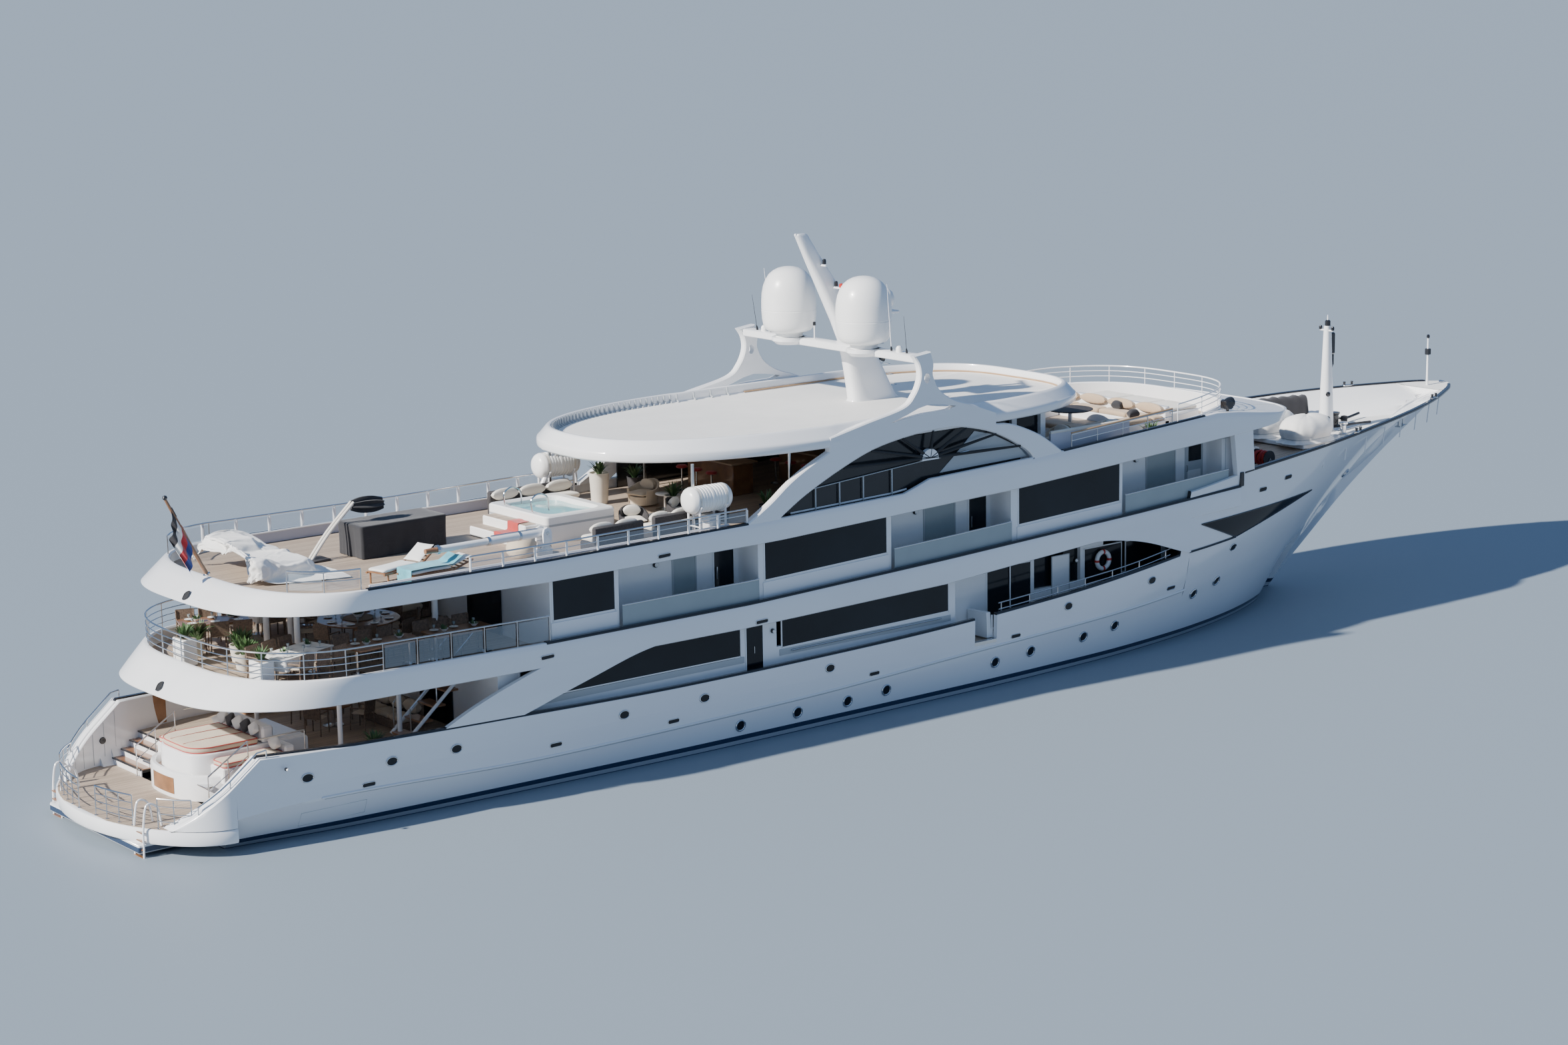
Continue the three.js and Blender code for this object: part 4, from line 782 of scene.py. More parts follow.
PLATFORM_HALF = 4.15
PLATFORM_END = 2.4  # where the platform meets the hull
PLATFORM_POWER = 1.9  # how full its rounded end is
WING_TIP = 0.95  # foot of the stern quarters' slope
WING_END = 3.1
STAIRS_AFT = 2.75
STAIRS_GOING = 0.3
STAIRS_COUNT = 4
GATE_AFT = 27.5
GATE_FORE = 28.4
FOREDECK_WHITE = 46.9  # the teak ends here
CAP_HALF = 0.075
BOW_WALL = 53.1  # closes the foredeck forward
DECK_LIFT = 0.004  # thickness of what is laid on a deck
SHAFT_HALF = 1.75
SHAFT_END = (4.75, -1.72)
SHAFT_SLOPE = math.atan2(0.62, 6.75)
FIN_FOOT = (23, 3.05, -1.95)


def platform_half(x):
    """Half-breadth of the swim platform's rounded aft end"""
    return PLATFORM_HALF * math.sqrt(max(0, 1 - ((PLATFORM_END - x) / PLATFORM_END) ** PLATFORM_POWER))


def side_half(x, z):
    """Half-breadth of the outer side, with the platform's rounding aft of the hull"""
    return half_at(x, z) if x >= PLATFORM_END else platform_half(x)


def wing_top(x):
    """Height of the side's top edge: the stern wing's slope, then the bulwark, then the bow"""
    if x < WING_TIP:
        return PLATFORM_TOP
    if x < WING_END:
        rise = curve_at(SHEER, WING_END) - PLATFORM_TOP
        return PLATFORM_TOP + rise * (x - WING_TIP) / (WING_END - WING_TIP)
    return curve_at(SHEER, x) if x < STEP_UP else curve_at(TOP, x)


def side_thick(x):
    """Thickness of the bulwark: heavy at the stern quarters, thin further forward"""
    if x < 3.2:
        return 0.5
    return 0.5 - 0.34 * min(1.0, (x - 3.2) / 2.3)


def inner_half(x, z):
    return max(side_half(x, z) - side_thick(x), 0.02)


def stern_floor(x):
    """Height of the deck or step under the bulwark at x"""
    if x < STAIRS_AFT:
        return PLATFORM_TOP
    step = int((x - STAIRS_AFT) / STAIRS_GOING) + 1
    if step >= STAIRS_COUNT:
        return MAIN_DECK
    return PLATFORM_TOP + step * (MAIN_DECK - PLATFORM_TOP) / STAIRS_COUNT


def make_hull():
    hull = Piece("hull_skin")
    aft = [2.4, 2.7, 3.1, 3.6] + spread(4.2, STEP_UP, 56)
    fore = spread(STEP_UP, 53.8, 80) + [54.05, 54.3]
    for sign in (1, -1):
        for xs, cover in ((aft, lambda x: MAIN_DECK), (fore, lambda x: curve_at(TOP, x))):
            low_rows, high_rows = [], []
            for x in xs:
                low, top = curve_at(LEVELS["low"], x), cover(x)
                fold = min(max(curve_at(KNUCKLE, x), low), top)
                low_rows.append([(x, sign * half_at(x, z), z) for z in spread(low, fold, 24)])
                high_rows.append([(x, sign * half_at(x, z), z) for z in spread(fold, top, 16)])
            hull.grid(low_rows, "hull")
            hull.grid(high_rows, "hull")
    keel = [(x, curve_at(LEVELS["low"], x)) for x in aft + fore[1:]]
    transom = [(PLATFORM_END, z) for z in spread(-0.62, PLATFORM_TOP, 12)]
    for line in (keel, transom):
        hull.grid([[(x, sign * half_at(x, z), z) for sign in (1, -1)] for x, z in line], "hull")
    skeg = [(8.5, -1.2), (16, -2.2), (16.6, -2.1), (18, -1), (8.5, -0.9)]
    hull.prism(skeg, -0.12, 0.12, "hull")
    for sign in (1, -1):
        shaft_line(hull, sign)
        hull.lathe([(0.2, 0.22), (0.2, 0.1), (0.14, -0.01)], (3.35, sign * SHAFT_HALF, -0.706), "bottom")
        x, y, z = FIN_FOOT
        hull.tube([(x, sign * (y - 0.35), -1.6), (x, sign * y, z)], [0.28, 0.2], "bottom", 16)
    hull.finish(replaces=["hull"], sharp=26)


def shaft_line(piece, sign):
    """Shaft with its bracket, from the propeller's hub into the hull"""
    x, z = SHAFT_END

    def along(d):
        return Vector((x + d * math.cos(SHAFT_SLOPE), sign * SHAFT_HALF, z + d * math.sin(SHAFT_SLOPE)))

    piece.tube([along(0.195), along(6.8)], 0.09, "steel", 16)
    piece.tube([along(0.25), along(0.3), along(0.7), along(0.75)], [0.13, 0.17, 0.17, 0.13], "bottom", 20)
    for lean in (-0.55, 0.55):
        top = along(0.7) + Vector((0, lean, 0))
        top.z = -0.5
        piece.tube([along(0.5), top], [0.09, 0.11], "bottom", 10)


def bulwark_run(piece, sign, xs, floor_of):
    """Outer face, rounded top and inner face of a bulwark along places x"""
    rows = []
    for x in xs:
        top = wing_top(x)
        floor = min(floor_of(x), top - 0.001)
        outer_low = min(MAIN_DECK, top) if x >= PLATFORM_END and x < STEP_UP else floor
        outer_low = min(outer_low, top - 0.001)
        y_top, inner = side_half(x, top), inner_half(x, top)
        round_off = min(0.03, (y_top - inner) / 3)
        row = [(x, sign * side_half(x, z), z) for z in spread(outer_low, top - round_off, 6)]
        row += [(x, sign * (y_top - round_off), top), (x, sign * (inner + round_off), top)]
        row += [(x, sign * inner_half(x, z), z) for z in spread(top - round_off, floor, 6)]
        rows.append(row)
    piece.grid(rows, "white")
    piece.ends(rows, "white")


def make_bulwarks():
    for side, sign in SIDES:
        bulwark = Piece("bulwark_skin_" + side)
        risers = [STAIRS_AFT + k * STAIRS_GOING for k in range(STAIRS_COUNT)]
        aft = [WING_TIP + 0.001, *spread(1.2, 2.39, 7), PLATFORM_END, WING_END, *spread(3.9, GATE_AFT, 50)]
        aft = sorted(aft + [x + d for x in risers for d in (-0.001, 0.001)])
        bulwark_run(bulwark, sign, aft, stern_floor)
        forward = spread(GATE_FORE, STEP_UP, 20)
        bulwark_run(bulwark, sign, forward, stern_floor)
        sill = [[
            (x, sign * half(x, z), z - drop)
            for half, z, drop in (
                (side_half, 1.5, 0.05), (side_half, 1.56, 0), (inner_half, 1.56, 0), (inner_half, 1.5, 0.05),
            )
        ] for x in (GATE_AFT, GATE_FORE)]
        bulwark.grid(sill, "steel")
        for xs, which, half_width in (
            ([x for x in aft if x > 2.9], "black", CAP_HALF),
            (spread(1.05, 3.0, 16), "white", 0.12),
            (forward, "black", CAP_HALF),
        ):
            cap = [
                Vector(
                    (x, sign * (side_half(x, wing_top(x)) - side_thick(x) / 2), wing_top(x) + 0.012)
                ) for x in xs
            ]
            cap_strip(bulwark, cap, which, half_width)
        x, y = GATE_FORE - 0.012, sign * 4.1173
        bulwark.tube([(x, y, 1.4), (x, y, 1.571)], 0.03, "steel", 12)
        bulwark.box((x, y, 1.45), (GATE_FORE + 0.03, sign * 4.29, 1.571), "steel", 0.004)
        bulwark.finish(replaces=["bulwark_" + side])


def cap_strip(piece, path, which, half_width):
    """A low rounded strip lying along a bulwark's top"""
    rows = []
    for p in path:
        rows.append([p + Vector((0, dy, dz)) for dy, dz in (
            (-half_width, -0.05), (-half_width, 0), (-half_width + 0.02, 0.03), (half_width - 0.02, 0.03),
            (half_width, 0), (half_width, -0.05),
        )])
    piece.grid(rows, which)
    piece.ends(rows, which)


def make_bow():
    bow = Piece("bow_bulwark_skin")
    for sign in (1, -1):
        rows = []
        for x in spread(STEP_UP, BOW_WALL, 60):
            top = curve_at(TOP, x)
            floor = line_at(UPPER_DECK, x) + 0.002
            y_top = half_at(x, top)
            inner = max(y_top - 0.16, 0.02)
            rows.append(
                [
                    (x, sign * (y_top - 0.002), top - 0.004), (x, sign * (y_top - 0.02), top + 0.004),
                    (x, sign * inner, top),
                ]
                + [(x, sign * max(half_at(x, z) - 0.16, 0.02), z) for z in spread(top - 0.03, floor, 7)]
            )
        bow.grid(rows, "white")
        cap = []
        for x in spread(39.3, 53.9, 60):
            top = curve_at(TOP, x)
            cap.append(Vector((x, sign * max(half_at(x, top) - 0.07, 0), top + 0.03)))
        cap_strip(bow, cap, "black", 0.085)
    tops = [(x, curve_at(TOP, x)) for x in spread(53.0, 54.28, 8)]
    bow.grid(
        [[(x, half_at(x, z) * k, z + 0.006) for k in (-1, -0.5, 0, 0.5, 1)] for x, z in tops], "deck_white"
    )
    heights = spread(line_at(UPPER_DECK, BOW_WALL), curve_at(TOP, BOW_WALL), 4)
    bow.grid([[(BOW_WALL, half_at(BOW_WALL, z) * s, z) for s in (-1, 1)] for z in heights], "white")
    bow.tube([(53.4, 0, 5.9), (53.4, 0, 6.9), (53.4, 0, 8.0)], [0.05, 0.042, 0.03], "white", 12)
    bow.lathe([(0, 0.1), (0.05, 0.08), (0.06, 0), (0.03, -0.05)], (53.4, 0, 7.94), "black", 12)
    bow.box((53.32, -0.09, 7.3), (53.48, 0.09, 7.52), "black", 0.02)
    bow.finish(replaces=["bow_bulwark"], sharp=30)


def make_decks():
    """Teak laid on the platform, steps and main deck, and the painted foredeck"""
    decks = Piece("teak_decks")

    def lay(xs, half_of, height_of, which, columns=9):
        rows = [(x, height_of(x) + DECK_LIFT) for x in xs]
        decks.grid([[(x, half_of(x, z) * k, z) for k in spread(-1, 1, columns)] for x, z in rows], which)

    def platform(x, z):
        return max(platform_half(x) - 0.13, 0.05) if x < PLATFORM_END else 3.8

    def foredeck(x, z):
        return max(half_at(x, z) - 0.13, 0.03)

    lay(spread(0.14, PLATFORM_END + 0.33, 24), platform, lambda x: PLATFORM_TOP, "teak", 13)
    rise = (MAIN_DECK - PLATFORM_TOP) / STAIRS_COUNT
    for i in range(STAIRS_COUNT):
        x = STAIRS_AFT + i * STAIRS_GOING
        z = PLATFORM_TOP + (i + 1) * rise
        for sign in (1, -1):
            y0, y1 = sign * 1.92, sign * (inner_half(x, z) + 0.02)
            decks.box((x, y0, z - rise - 0.02), (x + 0.03, y1, z), "white")
            if i < STAIRS_COUNT - 1:
                decks.box((x + 0.01, y0, z - 0.03), (x + STAIRS_GOING, y1, z + DECK_LIFT), "wood", 0.006)
            decks.box((x - 0.03, y0, z - 0.035), (x + 0.03, y1, z + DECK_LIFT * 2), "black", 0.008)
    end = STAIRS_AFT + (STAIRS_COUNT - 1) * STAIRS_GOING
    lay(
        spread(end, STEP_UP, 40), lambda x, z: inner_half(x, MAIN_DECK + 0.05) + 0.02, lambda x: MAIN_DECK,
        "teak",
    )
    lay(spread(STEP_UP, FOREDECK_WHITE, 30), foredeck, lambda x: line_at(UPPER_DECK, x), "teak")
    lay(spread(FOREDECK_WHITE, BOW_WALL, 16), foredeck, lambda x: line_at(UPPER_DECK, x), "deck_white")
    decks.finish(slot="teak")


def platform_edge(angle, inset):
    """A point (x, y) of the platform's rounded edge, drawn in by an inset"""
    share = math.sin(angle)
    along = max(0, 1 - abs(share) ** 2) ** (1 / PLATFORM_POWER)
    return PLATFORM_END - (PLATFORM_END - inset) * along, (PLATFORM_HALF - inset) * share


def make_platform():
    platform = Piece("platform_skin")
    profile = [(0.03, 0.36), (0, 0.42), (0, 0.68), (0.02, 0.73), (0.06, 0.75), (0.14, 0.75)]
    angles = spread(-math.pi / 2, math.pi / 2, 61)
    rows = [[(*platform_edge(a, inset), z) for a in angles] for inset, z in profile]
    platform.grid(rows, "white")
    platform.face(rows[0], "white")
    platform.face([(x, y, 0.748) for x, y, _ in rows[-1]], "white")
    platform.box((0.35, -2.6, 0.1), (2.38, 2.6, 0.36), "hull", 0.03)
    platform.finish(replaces=["swim_platform"])


make_hull()
make_bulwarks()
make_bow()
make_decks()
make_platform()


# Fittings on the hull


def local_frame(x, z, sign):
    """A place on the hull with directions along it, up it and out of it"""
    centre, out = on_hull(x, z, sign)
    along = Vector((1, 0, 0))
    along = (along - out * along.dot(out)).normalized()
    up = out.cross(along) * (1 if sign < 0 else -1)
    if up.z < 0:
        up = -up
    return centre, along, up, out


def ringed(piece, frame_at, half_long, half_tall, tube, inside):
    """A dark recess or pane in an oval steel rim, lying on the hull"""
    centre, along, up, out = frame_at
    steps, lift = 20, 0.012
    path = [centre + along * half_long * c + up * half_tall * s + out * lift for c, s in around(steps)]
    piece.tube(path, tube, "steel", 8, closed=True)
    inner = [p - out * (lift * 0.4) for p in path]
    fan = [(k, (k + 1) % steps, steps) for k in range(steps)]
    piece.add([*inner, centre + out * lift * 0.4], fan, inside)


def slot_ring(piece, frame_at, half_long, half_tall, rim, inside):
    """A freeing port: a stadium-shaped dark slot in a thin rim"""
    centre, along, up, out = frame_at
    straight = half_long - half_tall
    path = []
    for c, s in around(24):
        shift = straight if c >= 0 else -straight
        path.append(centre + along * (shift + half_tall * c) + up * half_tall * s + out * 0.006)
    piece.tube(path, 0.012, rim, 6, closed=True)
    piece.face(path, inside)


PORTS_OVAL = [
    (4.4, 1.73), (6.9, 1.72), (8.9, 1.69), (14.4, 1.65), (17.2, 1.64), (21.8, 1.74), (31.4, 2.11), (35.1, 2.37),
    (39.1, 2.84),
]
PORTS_ROUND = [
    (18.5, 0.59), (20.6, 0.61), (22.5, 0.61), (24.0, 0.69), (28.4, 0.8), (29.9, 0.9), (32.2, 0.98),
    (33.6, 1.11), (37.4, 1.52), (38.6, 1.75),
]
HULL_SLOTS = [(6.2, 1.21), (12.1, 1.21), (16.1, 1.16), (23.5, 1.29), (29.2, 1.51), (36.1, 1.95)]
FAIRLEADS = [(40.3, 4.63), (41.6, 4.86)]
BOW_WINDOW = [(37.3, 3.89), (39.1, 3.2), (43.4, 4.12)]


def make_hull_fittings():
    fittings = Piece("hull_fittings")
    for _, sign in SIDES:
        for x, z in PORTS_OVAL:
            ringed(fittings, local_frame(x, z, sign), 0.17, 0.12, 0.018, "glass")
        for x, z in PORTS_ROUND:
            ringed(fittings, local_frame(x, z, sign), 0.16, 0.16, 0.03, "glass")
        for x, z in HULL_SLOTS:
            slot_ring(fittings, local_frame(x, z, sign), 0.2, 0.06, "steel", "rubber")
        for x, z in FAIRLEADS:
            slot_ring(fittings, local_frame(x, z, sign), 0.2, 0.075, "steel", "rubber")
        ringed(fittings, local_frame(46.6, 4.1, sign), 0.17, 0.15, 0.035, "rubber")
        knuckle = [on_hull(x, curve_at(KNUCKLE, x), sign)[0] for x in spread(4.8, 36.9, 90)]
        fittings.tube(knuckle, 0.035, "white", 8)
        # A grey strip just under the knuckle moulding: painted shadow of the ledge on the white side
        painted_shadow_rows = [[], []]
        for x in spread(4.9, 36.7, 90):
            p, _ = on_hull(x, curve_at(KNUCKLE, x) - 0.06, sign, 0.004)
            painted_shadow_rows[0].append(p)
            painted_shadow_rows[1].append(on_hull(x, curve_at(KNUCKLE, x) - 0.035, sign, 0.004)[0])
        fittings.grid(painted_shadow_rows, "grey")
        seam = [on_hull(x, z, sign, 0.003)[0] for x, z in ((4.3, 0.35), (6.2, 0.4), (6.2, 0.78), (4.3, 0.74))]
        fittings.tube(seam, 0.008, "grey", 4, closed=True)
        window = []
        for x in spread(BOW_WINDOW[0][0] + 0.01, BOW_WINDOW[2][0] - 0.01, 50):
            top = line_at([BOW_WINDOW[0], BOW_WINDOW[2]], x)
            low = line_at(BOW_WINDOW, x)
            window.append([on_hull(x, z, sign, 0.012)[0] for z in spread(low, top, 8)])
        fittings.grid(window, "glass")
        edge = [row[0] for row in window] + [row[-1] for row in reversed(window)]
        fittings.tube(edge, 0.02, "black", 6, closed=True)
        path = [
            on_hull(x, line_at([(36.8, 3.05), (39.1, 3.2)], x), sign, 0.01)[0] for x in spread(36.8, 39.1, 12)
        ]
        fittings.tube(path, 0.035, "black", 8)
    fittings.tube([(54.15, 0, 6.0), (54.33, 0, 6.05), (54.33, 0, 6.2), (54.1, 0, 6.26)], 0.045, "steel", 10)
    fittings.finish(slot="steel")


make_hull_fittings()


# Bands round the decks


END_FULLNESS = 0.62


def stern_outline(straight_x, tip_x, half, steps=36, fullness=END_FULLNESS):
    """Half outline of a rounded end, from its straight side round to the centre line"""
    rows = []
    for i in range(steps + 1):
        a = i / steps * math.pi / 2
        rows.append((straight_x + (tip_x - straight_x) * math.sin(a), half * max(0, math.cos(a)) ** fullness))
    rows[-1] = (tip_x, 0)
    return rows


def band_section(low, top, normal):
    """Ring of a side plate: outer low, outer top with a rounded lip, inner top and inner low"""
    n = Vector((*normal, 0)).normalized()
    rise = top - low
    lip = 0.045
    return [
        low - n * PLATE, low - n * 0.03, low + rise * 0.03, low + rise * 0.35 + n * 0.012,
        low + rise * 0.7 + n * 0.008, top - rise.normalized() * lip,
        top - n * lip * 0.3 - Vector((0, 0, lip * 0.3)), top - n * lip, top - n * (PLATE - lip),
        top - n * PLATE - Vector((0, 0, lip)), low - n * PLATE,
    ]


def band_loop(low_table, top_table, stern, bow, x_end=None):
    """Cross-sections of a side plate from the stern's middle forward on one side (sign 1)"""

    def section(low, top, normal):
        low, top = (Vector((x, y, line_at(table, x))) for table, (x, y) in ((low_table, low), (top_table, top)))
        return band_section(low, top, normal)

    def arc(straight, tip_low, tip_top, flip):
        low, top = stern_outline(straight, tip_low, SIDE), stern_outline(straight, tip_top, SIDE)
        rows = []
        for i in range(len(low)):
            a, b = low[max(i - 1, 0)], low[min(i + 1, len(low) - 1)]
            nx, ny = b[1] - a[1], a[0] - b[0]
            if nx * flip < 0 or ny < 0:
                nx, ny = -nx, -ny
            if i == len(low) - 1:
                nx, ny = flip, 0
            if i == 0:
                nx, ny = 0, 1
            rows.append(section(low[i], top[i], (nx, ny)))
        return rows

    start = stern["corner"]
    end = bow["start"] if bow else x_end
    sections = arc(start, stern["low"], stern["top"], -1)[::-1]
    for x in spread(start, end, int((end - start) / 0.5))[1:]:
        sections.append(section((x, SIDE), (x, SIDE), (0, 1)))
    if bow:
        sections += arc(end, bow["low"], bow["top"], 1)[1:]
    return sections


def both_sides(piece, sections, which, closed_end=True):
    for sign in (1, -1):
        rows = [[(p.x, sign * p.y, p.z) for p in row] for row in sections]
        piece.grid(rows, which)
        if closed_end:
            piece.face(rows[-1], which)


UPPER_STERN = {"corner": 6.0, "low": 2.2, "top": 3.1}
SUN_STERN = {"corner": 6.4, "low": 3.05, "top": 3.95}
BROW = {"start": 40.0, "low": 42.8, "top": 43.0}
COAMING = {"start": 35.5, "tip": 40.5}  # the forward lounge's rounded front, inside the brow
BROW_FIN = [(38.78, 6.7), (38.95, 5.28), (39.75, 5.34), (39.65, 6.74)]
SEARCHLIGHT = (38.83, -3.95)
AFT_SWEEP_UP = [(8.6, 2.3), (9.3, 2.62), (10.1, 2.93), (11.0, 3.23), (11.9, 3.5), (12.6, 3.6)]
AFT_SWEEP_DOWN = [
    (16.9, 3.6), (16.2, 3.52), (15.5, 3.43), (14.7, 3.27), (13.5, 2.93), (12.4, 2.62), (11.6, 2.38),
    (11.1, 2.24),
]
FORE_SWEEP = [
    (31.6, 4.05), (32.3, 4.0), (33.0, 3.96), (33.7, 3.87), (34.4, 3.75), (35.1, 3.57), (35.8, 3.34),
    (36.3, 3.17), (36.7, 3.06),
]


def on_curve(p0, p1, p2, p3, t):
    """A place between p1 and p2 on the smooth curve through four points"""
    bend = 2 * p0 - 5 * p1 + 4 * p2 - p3
    return 0.5 * (2 * p1 + (p2 - p0) * t + bend * t * t + (3 * p1 - p0 - 3 * p2 + p3) * t ** 3)


def smooth_line(points):
    """A curve through points, with some more points between them"""
    points = [Vector((*p, 0)) if len(p) == 2 else Vector(p) for p in points]
    out = []
    for i in range(len(points) - 1):
        p0, p1, p2, p3 = (points[min(max(k, 0), len(points) - 1)] for k in range(i - 1, i + 3))
        out += [on_curve(p0, p1, p2, p3, t) for t in (0, 0.2, 0.4, 0.6, 0.8)]
    out.append(points[-1])
    return out


def make_bands():
    upper = Piece("upper_band")
    sections = band_loop(UPPER_LOW, UPPER_TOP, UPPER_STERN, None, STEP_UP + 2.3)
    both_sides(upper, sections, "white")
    for _, sign in SIDES:
        inner, outer = sign * (SIDE - PLATE), sign * (SIDE + 0.004)
        sweep = smooth_line(AFT_SWEEP_UP) + smooth_line(AFT_SWEEP_DOWN)
        upper.prism([(p.x, max(p.y, curve_at(SHEER, p.x) + 0.005)) for p in sweep], inner, outer, "white")
        outline = [(p.x, p.y) for p in smooth_line(FORE_SWEEP)] + [(STEP_UP, 3.06), (STEP_UP, 4.2), (33, 4.1)]
        upper.prism(outline, inner, outer, "white")
        cap_strip(upper, along_side(UPPER_TOP, sign * (SIDE - PLATE / 2), 11.9, 39.1, 60), "black", 0.078)
        low = (39.06, sign * (SIDE - PLATE - 0.01), line_at(UPPER_TOP, 39) - 0.02)
        upper.box(low, (39.24, sign * (SIDE + 0.01), line_at(TOP, 39.1) + 0.08), "black", 0.02)
        for x, z in ((11.9, 3.72), (19.3, 3.54)):
            band_slot(upper, x, z, sign)
    stern_fairlead(upper, (2.43, -0.14, 3.72), 0.17, 0.1)
    stern_fairlead(upper, (2.505, -1.25, 3.65), 0.04, 0.1)
    upper.finish(replaces=["upper_side_plate_port", "upper_side_plate_starboard", "upper_stern_plate"])
    sun = Piece("sundeck_band")
    sections = band_loop(SUN_LOW, SUN_TOP, SUN_STERN, BROW)
    both_sides(sun, sections, "white", closed_end=False)
    for _, sign in SIDES:
        band_slot(sun, 15.9, 5.96, sign)
        for run in ((6.4, 18.9, 30), (31.2, 37.4, 14)):
            cap_strip(sun, along_side(SUN_TOP, sign * (SIDE - PLATE / 2), *run, -0.004), "black", 0.07)
        sun.prism(BROW_FIN, sign * 4.12, sign * 4.32, "white")
    stern_fairlead(sun, (3.27, -0.3, 6.07), 0.17, 0.1)
    brow_roof(sun)
    sun.finish(
        replaces=[
            "sundeck_side_plate_port", "sundeck_side_plate_starboard", "sundeck_stern_plate", "sundeck_brow"
        ]
    )


def along_path(path, count):
    """Points evenly spaced along a path in plan"""
    path = [Vector((p[0], p[1])) for p in path]
    runs = [0]
    for a, b in zip(path, path[1:]):
        runs.append(runs[-1] + (b - a).length)
    out = []
    for d in spread(0, runs[-1], count):
        i = max(k for k in range(len(path) - 1) if runs[k] <= d + 1e-9)
        share = (d - runs[i]) / max(runs[i + 1] - runs[i], 1e-9)
        out.append(path[i].lerp(path[i + 1], min(share, 1.0)))
    return out


def brow_roof(piece):
    """Roof and ceiling between the lounge's rounded front and the brow's edge, with the lounge's coaming"""
    count = 41
    edge = [(COAMING["start"], SIDE - 0.05)] + [
        (x, max(y - 0.05, 0)) for x, y in stern_outline(BROW["start"], BROW["top"] - 0.05, SIDE)
    ]
    outer = along_path(edge, count)
    inner = along_path(stern_outline(COAMING["start"], COAMING["tip"], SIDE - 0.06), count)
    middle = Vector((COAMING["start"], 0))
    for sign in (1, -1):
        roof, coaming, ceiling = [], [], []
        for a, b in zip(inner, outer):
            between = [a.lerp(b, k) for k in spread(0, 1, 5)]
            roof.append([(p.x, sign * p.y, line_at(SUN_TOP, p.x) - 0.025) for p in between])
            into = (middle - a).normalized()
            c, top = a + into * PLATE, line_at(COAMING_TOP, a.x)
            coaming.append([
                (a.x, sign * a.y, min(line_at(SUN_TOP, a.x) - 0.05, top)),
                (a.x, sign * a.y, top - 0.03),
                (a.x + into.x * 0.03, sign * (a.y + into.y * 0.03), top),
                (c.x - into.x * 0.03, sign * (c.y - into.y * 0.03), top),
                (c.x, sign * c.y, top - 0.03),
                (c.x, sign * c.y, line_at(SUNDECK, c.x) - 0.05),
            ])
        for x in spread(COAMING["start"], BROW["low"] - 0.1, 24):
            turn = min(max((x - BROW["start"]) / (BROW["low"] - BROW["start"]), 0), 1.0)
            half = SIDE * (1 - turn ** 2) ** (END_FULLNESS / 2) - 0.06
            ceiling.append([(x, sign * half * k, line_at(SUN_LOW, x) + 0.03) for k in (0, 0.5, 1)])
        piece.grid(roof, "white")
        piece.grid(coaming, "white")
        piece.grid(ceiling, "ceiling")
        for k in (10, 20, 30):
            piece.tube([Vector(p) + Vector((0, 0, 0.004)) for p in roof[k]], 0.006, "grey", 4)
    x, y = SEARCHLIGHT
    foot = line_at(SUN_TOP, x) - 0.03
    piece.lathe([(0.05, 0), (0.05, 0.12), (0.03, 0.14)], (x, y, foot), "black", 12)
    piece.box((x - 0.2, y - 0.17, foot + 0.07), (x + 0.14, y + 0.17, foot + 0.38), "black", 0.05)
    form = [(0, -0.1), (0.13, -0.1), (0.17, 0.04), (0.17, 0.18), (0, 0.18)]
    piece.lathe(form, (x, y, foot + 0.27), "black", 20, (1, 0, 0.1))


def stern_fairlead(piece, place, length, height):
    """A dark mooring eye in a band's sloping stern"""
    out = Vector((-0.56, 0, 0.83))
    slope = Vector((0.66, 0.6, 0.45)).normalized()
    across = out.cross(slope)
    slot_ring(piece, (Vector(place) + out * 0.012, slope, across, out), length, height, "black", "rubber")


def band_slot(piece, x, z, sign):
    """A freeing port in a side plate"""
    place = [Vector(p) for p in ((x, sign * (SIDE + 0.013), z), (1, 0, 0.02), (0, 0, 1), (0, sign, 0))]
    slot_ring(piece, place, 0.22, 0.055, "steel", "rubber")


make_bands()

# Windows, panels and doors


def side_sheet(piece, sign, y, xs, low, high, which, thick=0.03):
    """An upright panel at half-breadth y, between two heights given as functions of x"""
    rows = []
    for x in xs:
        a, b = low(x), high(x)
        rows.append(
            [(x, sign * (y - thick), a), (x, sign * y, a), (x, sign * y, b), (x, sign * (y - thick), b)]
        )
    piece.grid(rows, which, close=True)
    piece.ends(rows, which)


def framed_pane(piece, sign, y, x0, x1, low, high, which="glass", frame="white", lip=0.035):
    """A flush pane with a narrow frame round it"""
    side_sheet(piece, sign, y + 0.012, spread(x0, x1, 9), low, high, which)
    upright = [((x - lip / 2, x + lip / 2), low, high) for x in (x0, x1)]
    level = [(spread(x0, x1, 9), edge, edge) for edge in (low, high)]
    for xs, a, b in upright + level:
        side_sheet(piece, sign, y + 0.022, xs, lambda v: a(v) - lip / 2, lambda v: b(v) + lip / 2, frame)


def over(table, lift):
    return lambda x: line_at(table, x) + lift


MAIN_WALL = 4.0
CABIN_WALL = 3.2
UPPER_WALL = 4.1
RECESS_WALL = 3.15
BRIDGE_WALL = 3.85
RECESSES = (  # aft and fore ends, lamp, panel, then glass door
    (14.5, 19.4, 16.45, (17.05, 17.87), (18.5, 19.25)),
    (24.4, 29.2, 26.15, (26.5, 27.75), (28.3, 29.05)),
    (33.95, 38.7, 35.45, (35.95, 37.25), None),
)
UPPER_PANES = ((12.28, 14.36, 4.62), (19.62, 24.22, 4.66), (29.5, 33.82, 4.92))


